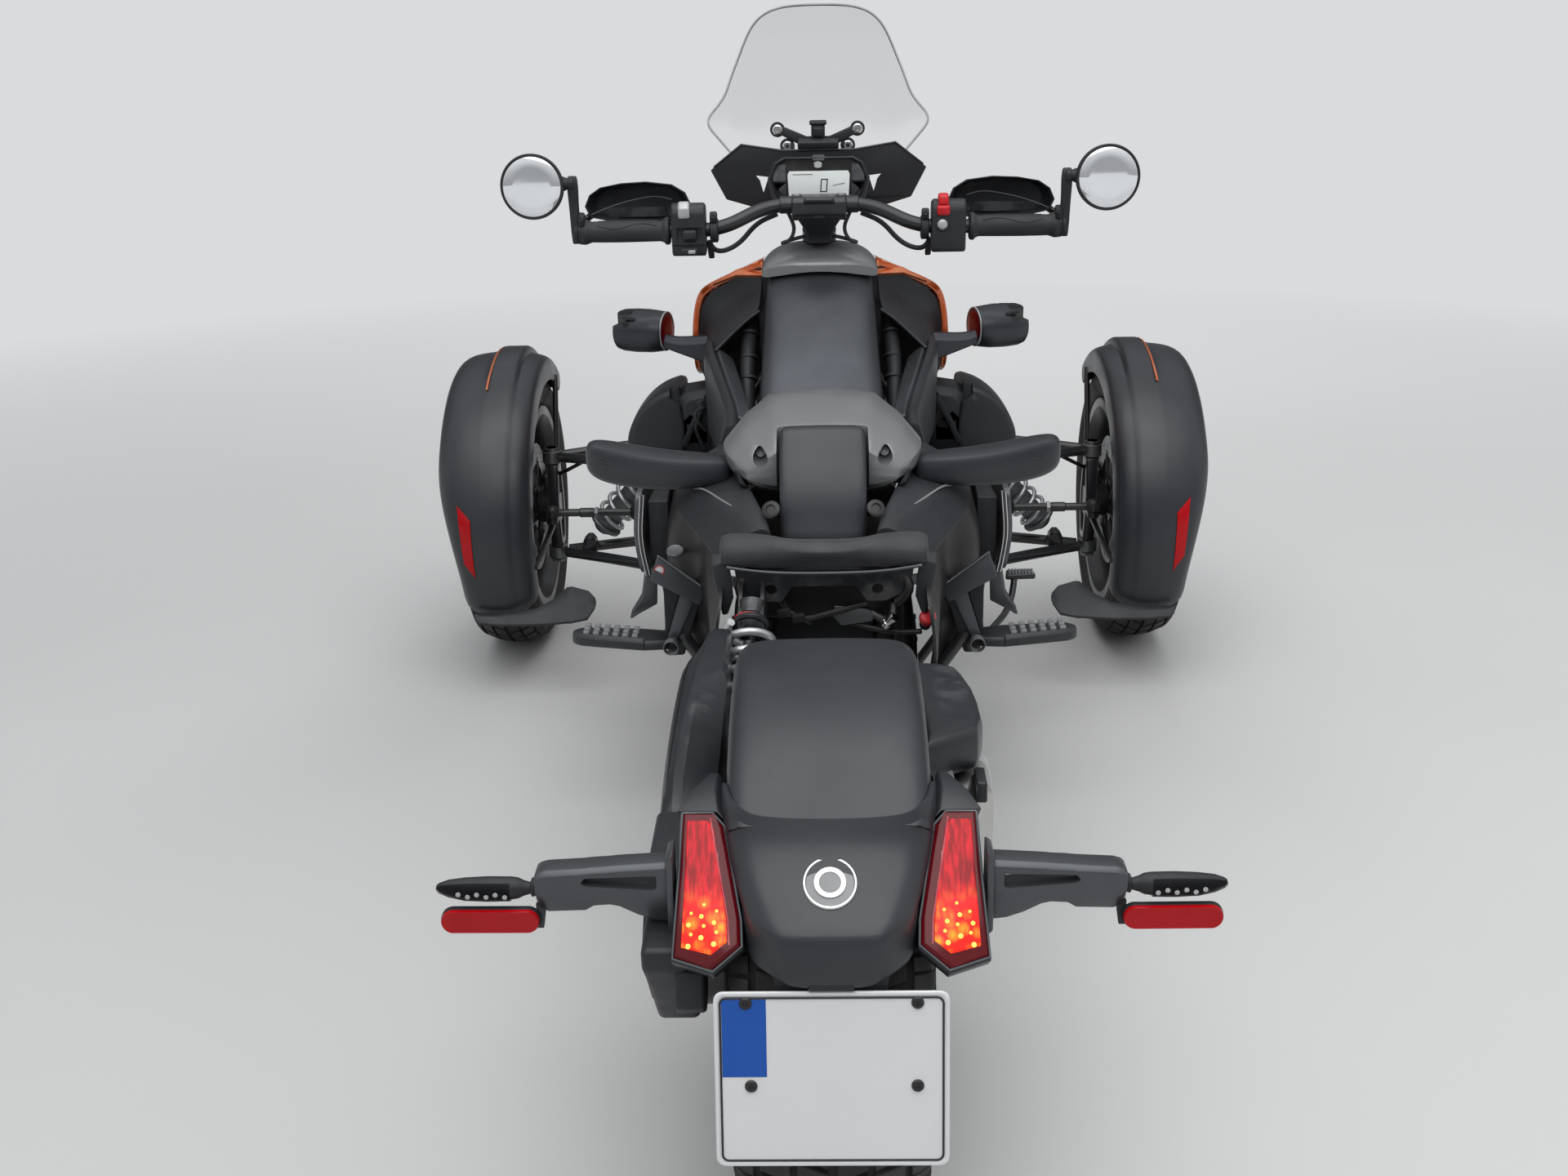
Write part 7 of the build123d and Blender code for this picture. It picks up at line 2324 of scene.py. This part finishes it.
def makeShock(name, look, outer=36.5):
    low, top = Vector(look["low"]), Vector(look["top"])
    line = (top - low).normalized()
    length = (top - low).length
    side = Vector(look["eye"])
    across = line.cross(side).normalized()
    side = across.cross(line).normalized()
    cup = look.get("cup", 0.84) * length
    start, end = 0.14 * length + 9, cup - 1
    coil = []
    steps = int(look["turns"] * 18)
    radius = outer - look["thick"]
    for step in range(steps + 1):
        share = step / steps
        turns = look["turns"] * share
        eased = 0.5 - 0.5 * math.cos(math.pi * share)
        flat = start + look["thick"] + (end - start - 2 * look["thick"]) * eased * 0.12
        flat += (end - start - 2 * look["thick"]) * share * 0.88
        angle = fullTurn * turns
        coil.append(tuple(low + line * flat + side * (radius * math.cos(angle))
                + across * (radius * math.sin(angle))))
    spring = wire(name + "Coil", coil, look["thick"], "POLY", 6)
    lower = turned(name + "Body", [(0.10 * length, 15), (0.12 * length, 24), (0.14 * length, 26),
                                   (0.14 * length, 36),
                                   (0.14 * length + 5, 37), (0.14 * length + 8, 35), (0.14 * length + 8, 25),
                                   (0.2 * length, 22), (0.50 * length, 22), (0.52 * length, 24),
                                   (0.57 * length, 24),
                                   (0.59 * length, 21), (0.6 * length, 13), (0.6 * length, 8),
                                   (0.80 * length, 8)],
                   tuple(low), tuple(line), 36)
    lip = look["lip"]
    upper = turned(name + "Cup", [(cup - 11, 9), (cup - 7, 15), (cup, 18), (cup, lip - 2),
                                  (cup + 3, lip), (cup + 8, lip - 1), (cup + 10, lip - 3),
                                  (cup + 15, 19), (cup + 22, 12)], tuple(low), tuple(line), 36)
    eyes = []
    for spot in (low, top):
        eyes.append(turned(name + "Eye", [(-12, 11), (-11, 14), (11, 14), (12, 11)], tuple(spot),
                look["eye"], 28))
        eyes.append(turned(name + "Bolt", [(-15, 6), (-14, 7.5), (14, 7.5), (15, 6)], tuple(spot),
                look["eye"], 6))
    coat("springSilver", spring)
    paint(lower, materials["darkMetal" if name == "rearShock" else "castGrey"])
    coat("satinBlack", upper)
    coat("darkMetal", *eyes)
    return spring, joined([lower, upper] + eyes, name + "Body")


def makeShocks():
    frontCoil, frontBody = makeShock("frontShock", shocks["frontShock"])
    rearCoil, rearBody = makeShock("rearShock", shocks["rearShock"])
    collar = turned("rearCollar", [(0, 14), (1, 20), (22, 20), (24, 14)], (-99, -396, 518),
        (0.077, 0.78, 0.615), 28)
    ring = turned("rearRing", [(0, 21), (1, 22.5), (4, 22.5), (5, 21)], (-100, -402, 514),
        (0.077, 0.78, 0.615), 28)
    coat("darkMetal", collar)
    coat("switchRed", ring)
    fit([bothSides(frontCoil, "frontCoils"), rearCoil], "springsLook", ["springs"], 60)
    fit([bothSides(frontBody, "frontBodies"), rearBody, collar, ring], "dampersLook",
        ["dampers"])


def makeArmPart(level, pivot, places, thick, low):
    outer = Vector((570, 866, level))
    pieces = []
    for y in places:
        inner = Vector((pivot[0], y, pivot[1]))
        ahead = (inner - outer)
        start, end = outer + ahead * 0.06, inner - ahead.normalized() * 12
        sweep = [tuple(start), tuple(start + ahead * 0.35 + Vector((0, 0, 4 if low else 2))),
                 tuple(start + ahead * 0.7), tuple(end)]
        pieces.append(wire("armTube", sweep, thick, "NURBS", 6))
        pieces.append(turned("armBush", [(-17, 12.5), (-16, 15), (16, 15), (17, 12.5)],
                tuple(inner), alongY, 28))
        pieces.append(turned("armCap", [(-20, 7), (-19, 9), (19, 9), (20, 7)], tuple(inner), alongY, 6))
    boss = turned("armBoss", [(-14, 17), (-12, 20), (12, 20), (14, 17)], tuple(outer), alongZ)
    boot = turned("armBoot", [(-19, 12), (-15, 16), (-14, 18)] if low else [(14, 18), (16, 16), (20, 12)],
                  tuple(outer), alongZ, 28)
    web = loft("armWeb", [[(548, y, level - 7 + a) for y, a in ((852, 0), (880, 0), (880, 14), (852, 14))],
                          [(500 if low else 520, y, level - 6 + b) for y, b in
                           (((826, 4), (868, 4), (868, 14), (826, 14)) if low
                               else ((846, 2), (876, 2), (876, 12), (846, 12)))]])
    bevel(web, 2.5, 2, 30)
    coat("frameBlack", *pieces, web)
    coat("castGrey", boss)
    coat("inkBlack", boot)
    return pieces + [boss, boot, web]


def makeSuspension():
    pieces = makeArmPart(400, (220, 425), (650, 945), 10.5, False)
    pieces += makeArmPart(190, (160, 224), (551, 880), 11, True)
    bow = wire("armBow", [(495, 802, 197), (495, 838, 197), (495, 872, 197)], 9, "NURBS", 6)
    clevis = [slab("armClevis", [(478, 196), (512, 196), (508, 224), (500, 234), (490, 234), (482, 224)],
              "Y", y, y + 5)
              for y in (817, 848)]
    for piece in clevis:
        bevel(piece, 1.5)
    coat("frameBlack", bow, *clevis)
    hose = wire("brakeHose", [(206, 640, 430), (300, 700, 470), (430, 800, 440), (540, 850, 372),
            (585, 900, 340)], 4)
    coat("inkBlack", hose)
    fitPair(pieces + [bow, hose] + clevis, "suspensionLook", ["suspension_arms"], 40)


def makeRack():
    body = turned("rackBody", [(-345, 16), (-344, 20), (-300, 20), (-298, 18), (298, 18),
                               (300, 20), (344, 20), (345, 16)], rackCentre, alongX, 36)
    folds = 6
    profile = [(345, 12)]
    for fold in range(folds):
        start = 345 + fold * 50 / folds
        profile += [(start + 1, 15), (start + 25 / folds, 20 - fold * 0.7),
            (start + 50 / folds - 1, 15 - fold * 0.3)]
    profile += [(395, 12), (396, 9)]
    boots = turned("rackBoot", profile, rackCentre, alongX)
    clamp = turned("bootClamp", [(0, 20.5), (0.5, 21.5), (5, 21.5), (5.5, 20.5)], (338, 758, 308.5), alongX)
    motor = turned("steerMotor", [(0, 30), (3, 35), (70, 35), (74, 30), (80, 12)], (70, 758, 308.5),
        (0, -0.35, 0.94), 36)
    coat("castGrey", body)
    coat("inkBlack", boots)
    coat("brightSteel", clamp)
    coat("darkMetal", motor)
    wings = bothSides(joined([boots, clamp], "rackWings"), "rackWings")
    fit([body, wings, motor], "rackLook", ["rack"])


def makeKnuckle(side, name):
    upright = slab("uprightLook", [(842, 204.3), (890, 204.3), (906, 270), (906, 310),
                                   (888, 385.7), (844, 385.7), (826, 310), (826, 270)], "X", 556, 580)
    bevel(upright, 4, 3, 30)
    hollow = slab("uprightHollow", [(852, 222), (880, 222), (892, 270), (892, 308), (880, 366), (852, 366),
                                    (840, 308), (840, 270)], "X", 540, 561)
    bevel(hollow, 3)
    cut(upright, hollow)
    collar = turned("collarLook", [(558, 30), (562, 34), (600, 34), (605, 32), (606, 26)],
        spindle, alongX, 40)
    nut = turned("spindleNut", [(698, 15), (700, 22), (709, 22), (710, 19), (710, 12), (714, 12), (715, 10)],
                 spindle, alongX, 6)
    shank = turned("shankLook", [(600, 15), (604, 15), (704, 15), (705, 14)], spindle, alongX, 28)
    pins = turned("kingpinLook", [(172.3, 8), (174, 10), (414, 10), (418, 8)], (570, 866, 0), alongZ, 24)
    nuts = [turned("pinNut", [(0, 12), (1, 15), (9, 15), (10, 12)], (570, 866, z), alongZ, 6)
        for z in (166, 410)]
    steer = loft("steerArm", [[(x, y, z) for x, y in
                              ((556, 846), (578, 846), (572, 800), (572, 758), (548, 758), (550, 800))]
                              for z in (285, 299)])
    bevel(steer, 3, 3, 30)
    steerEye = turned("steerEye", [(285, 10), (286, 12), (298, 12), (299, 10)], (560, 758, 0), alongZ, 28)
    block = slab("caliperBlock", [(592, 248), (628, 248), (629, 262), (629, 318), (628, 332),
                                  (592, 332), (592, 318), (592, 262)], "Y", 958, 1022)
    bevel(block, 6, 3, 30)
    slot = between("caliperGap", (606, 866, 290), (615, 866, 290), 138, 64)
    cut(block, slot)
    lug = slab("caliperLug", [(886, 274), (996, 276), (996, 304), (886, 306)], "X", 580.3, 592)
    bevel(lug, 3, 3, 30)
    pistons = [turned("piston", [(0, 14), (1, 16), (5, 16), (6, 13)], (592, 990, z), (-1, 0, 0), 28)
        for z in (270, 310)]
    coat("powderBlack", upright, collar, steer, steerEye, lug, pins)
    coat("castGrey", nut, shank, *nuts, *pistons)
    coat("caliperGrey", block)
    piece = joined([upright, collar, nut, shank, pins, steer, steerEye, block, lug] + nuts + pistons,
        "knuckleLook")
    if side < 0:
        piece = flip(piece, "knuckleLookLeft")
    settle(piece, name, None, [name])


def makeTie(side, name):
    bar = turned("tieBar", [(330, 6), (331, 8), (470, 8), (474, 10), (500, 10), (502, 8),
                 (546, 8), (548, 11)], rackCentre, alongX, 24)
    eye = turned("tieEye", [(-9, 13), (-8, 16), (8, 16), (9, 13), (9, 6), (-9, 6)], tieEyeSpot, alongZ)
    boot = turned("tieBoot", [(8, 14), (10, 13), (14, 10), (15, 7)], tieEyeSpot, alongZ, 24)
    lock = turned("tieLock", [(0, 9), (1, 12), (8, 12), (9, 9)], (462, 758, 308.5), alongX, 6)
    coat("frameBlack", bar)
    coat("powderBlack", eye)
    coat("inkBlack", boot)
    coat("castGrey", lock)
    piece = joined([bar, eye, boot, lock], "tieLook")
    if side < 0:
        piece = flip(piece, "tieLookLeft")
    settle(piece, name, None, [name])


def makeUnderTail():
    tag = slab("tagLook", [(14, 500), (62, 494), (70, 486), (68, 476), (24, 470), (12, 484)], "Y", -306, -302)
    bevel(tag, 1.2, 2, 30)
    hose = wire("drainHose", [(60, -290, 488), (86, -318, 478), (96, -330, 492), (97, -320, 508)],
        5.5, "NURBS", 5)
    fitting = turned("hoseFitting", [(0, 6), (1, 8), (8, 8), (9, 7), (16, 7), (17, 8.5), (22, 8.5), (23, 6)],
                     (84, -326, 478), (0.55, -0.35, 0.75), 20)
    cap = turned("redCap", [(0, 9), (1, 11.5), (12, 11.5), (14, 10), (15, 6)], (141, -345, 494),
        (0.1, -0.75, 0.65), 10)
    neck = turned("capNeck", [(0, 8), (26, 8)], (140, -326, 478), (0.1, -0.75, 0.65), 20)
    loom = [wire("loomTail", points, radius) for points, radius in (
        ([(-60, -290, 505), (-52, -325, 498), (-30, -330, 488), (10, -310, 492), (60, -300, 500)], 4),
        ([(-70, -292, 512), (-60, -330, 505), (-38, -338, 500), (-20, -320, 480)], 3),
        ([(40, -296, 470), (90, -320, 462), (135, -330, 470)], 4))]
    plugs = [slab("loomPlug", [(x, z), (x + 18, z + 2), (x + 16, z + 14), (x - 2, z + 12)], "Y", -342, -330)
             for x, z in ((-64, 496), (-44, 488))]
    for piece in plugs:
        bevel(piece, 2)
    holder = slab("tailTray", [(-92, 480), (92, 480), (100, 510), (100, 540), (-100, 540), (-100, 510)],
        "Y", -300, -286)
    bevel(holder, 5, 3)
    rail = [wire("tailRail", [(s * 112, -344, 556), (s * 118, -352, 545), (s * 110, -350, 528),
                 (s * 100, -346, 520)], 7, "NURBS", 5) for s in (1, -1)]
    coat("castGrey", tag, hose)
    coat("brightSteel", fitting)
    coat("switchRed", cap)
    coat("inkBlack", neck, holder, *loom, *plugs, *rail)
    fit([tag, hose, fitting, cap, neck, holder] + loom + plugs + rail, "underTail", [])


fairingRows = {  # the dark lower fairing beside the engine, by y
    360: [(246, 545), (262, 470), (262, 420), (250, 360), (236, 322)],
    200: [(240, 545), (266, 468), (265, 400), (254, 330), (230, 268)],
    124: [(216, 545), (262, 470), (262, 400), (254, 320), (226, 246)],
    106: [(186, 548), (214, 474), (214, 400), (206, 320), (190, 240)],
    60: [(172, 552), (186, 478), (186, 400), (182, 320), (174, 240)],
    -150: [(152, 556), (172, 486), (172, 410), (166, 350), (156, 300)],
    -300: [(142, 552), (156, 490), (158, 430), (154, 390), (146, 356)],
    -400: [(136, 546), (146, 496), (148, 448), (146, 424), (140, 404)]}


def makeFairing():
    half = grid("fairingLook", stations(fairingRows.items()), 4)
    lip = wire("fairingLip", [(points[-1][0], y, points[-1][1]) for y, points in fairingRows.items()], 3)
    coat("inkBlack", half, lip)
    cap = turned("filler", [(0, 12), (3, 15), (6, 15), (8, 13), (7, 8)], (-245, 106, 440),
        (0.0, -0.35, 0.93), 28)
    coat("castGrey", cap)
    sides = bothSides(joined([half, lip], "fairingLook"), "fairingLook")
    fit([sides, cap], "fairingLook", [], 40)


makeFootRails()
makeFairing()
makePegBrackets()
makePegs()
makePedal()
makeShocks()
makeSuspension()
makeRack()
for side, name in ((1, "right"), (-1, "left")):
    makeKnuckle(side, "knuckle_" + name)
    makeTie(side, "tie_rod_" + name)
makeUnderTail()
print("feet and suspension done")

# Power unit, and the frame that keeps its own mesh
def makeEngine():
    case = slab("caseLook", [(-90, 206), (-60, 178), (286, 178), (316, 206), (316, 330),
                             (288, 372), (150, 392), (60, 400), (-60, 380), (-90, 350)], "X", -134, 134)
    bevel(case, 12, 3, 20)
    panel = slab("casePanel", [(-70, 214), (-50, 196), (270, 196), (296, 220), (296, 320),
                               (270, 352), (60, 372), (-50, 352), (-70, 330)], "X", -146, 146)
    bevel(panel, 6, 3, 30)
    rounds = []
    for x, direction in ((-150, 1), (150, -1)):
        for y, z, radius in ((30, 284, 74), (206, 274, 60)):
            rounds.append(turned("roundCover", [(0, radius - 22), (1, radius - 8), (6, radius), (24, radius)],
                                 (x, y, z), (direction, 0, 0), 56))
            rounds += [screw("caseBolt", (x + 6 * direction, y + (radius - 6) * math.cos(k * 0.785),
                                          z + (radius - 6) * math.sin(k * 0.785)), (-direction, 0, 0), 5, 6)
                       for k in range(8)]
    fins = [slab("fin", [(-34, 392 + 15 * k), (202, 392 + 15 * k), (202, 398 + 15 * k),
                 (-34, 398 + 15 * k)], "X", -96, 96) for k in range(6)]
    barrel = slab("barrel", [(-24, 380), (192, 380), (192, 484), (-24, 484)], "X", -84, 84)
    head = slab("headLook", [(-34, 480), (206, 480), (196, 500), (-20, 500)], "X", -98, 98)
    bevel(barrel, 6)
    bevel(head, 6, 3)
    intake = wire("intake", [(0, -30, 452), (0, -110, 452), (0, -176, 430)], 30, "NURBS", 8)
    airBox = slab("filterBox", [(-258, 372), (-170, 360), (-160, 480), (-250, 480)], "X", -76, 76)
    bevel(airBox, 10, 3)
    pump = turned("filterCup", [(0, 24), (3, 30), (46, 30), (50, 26)], (60, 312, 262), (0, 1, 0.1), 36)
    hoses = [wire("waterHose", [(-92, 150, 470), (-104, 300, 470), (-70, 520, 430), (-60, 760, 470),
                  (-66, 1010, 470)], 15, "NURBS", 6),
             wire("waterHoseLow", [(96, 200, 300), (112, 380, 300), (96, 640, 300), (90, 900, 260),
                 (96, 1012, 260)],
                  14, "NURBS", 6)]
    manifold = [wire("manifold", [(x, 196, 440), (x + 14, 262, 420), (x * 0.5 + 110, 300, 300),
                                  (150, 190, 222), (150, -58, 215)], 13, "NURBS", 6) for x in (-44, 12, 66)]
    coat("darkMetal", case, barrel)
    coat("castGrey", panel, head, *rounds, *fins)
    coat("softBlack", intake, airBox, pump, *hoses)
    coat("heatSteel", *manifold)
    fit([case, panel, barrel, head, intake, airBox, pump] + rounds + fins + hoses + manifold, "engineLook",
        ["engine_block"], 32)


def dressFrame():
    kept = [piece for piece in bpy.data.objects
        if piece.type == "MESH" and piece.name.split(".")[0] == "frame"]
    for piece in kept:
        for slot in piece.material_slots:
            slot.material = materials["frameBlack"]
    print("kept nodes dressed:", [piece.name for piece in kept])


makeEngine()
dressFrame()
print("engine and frame done")
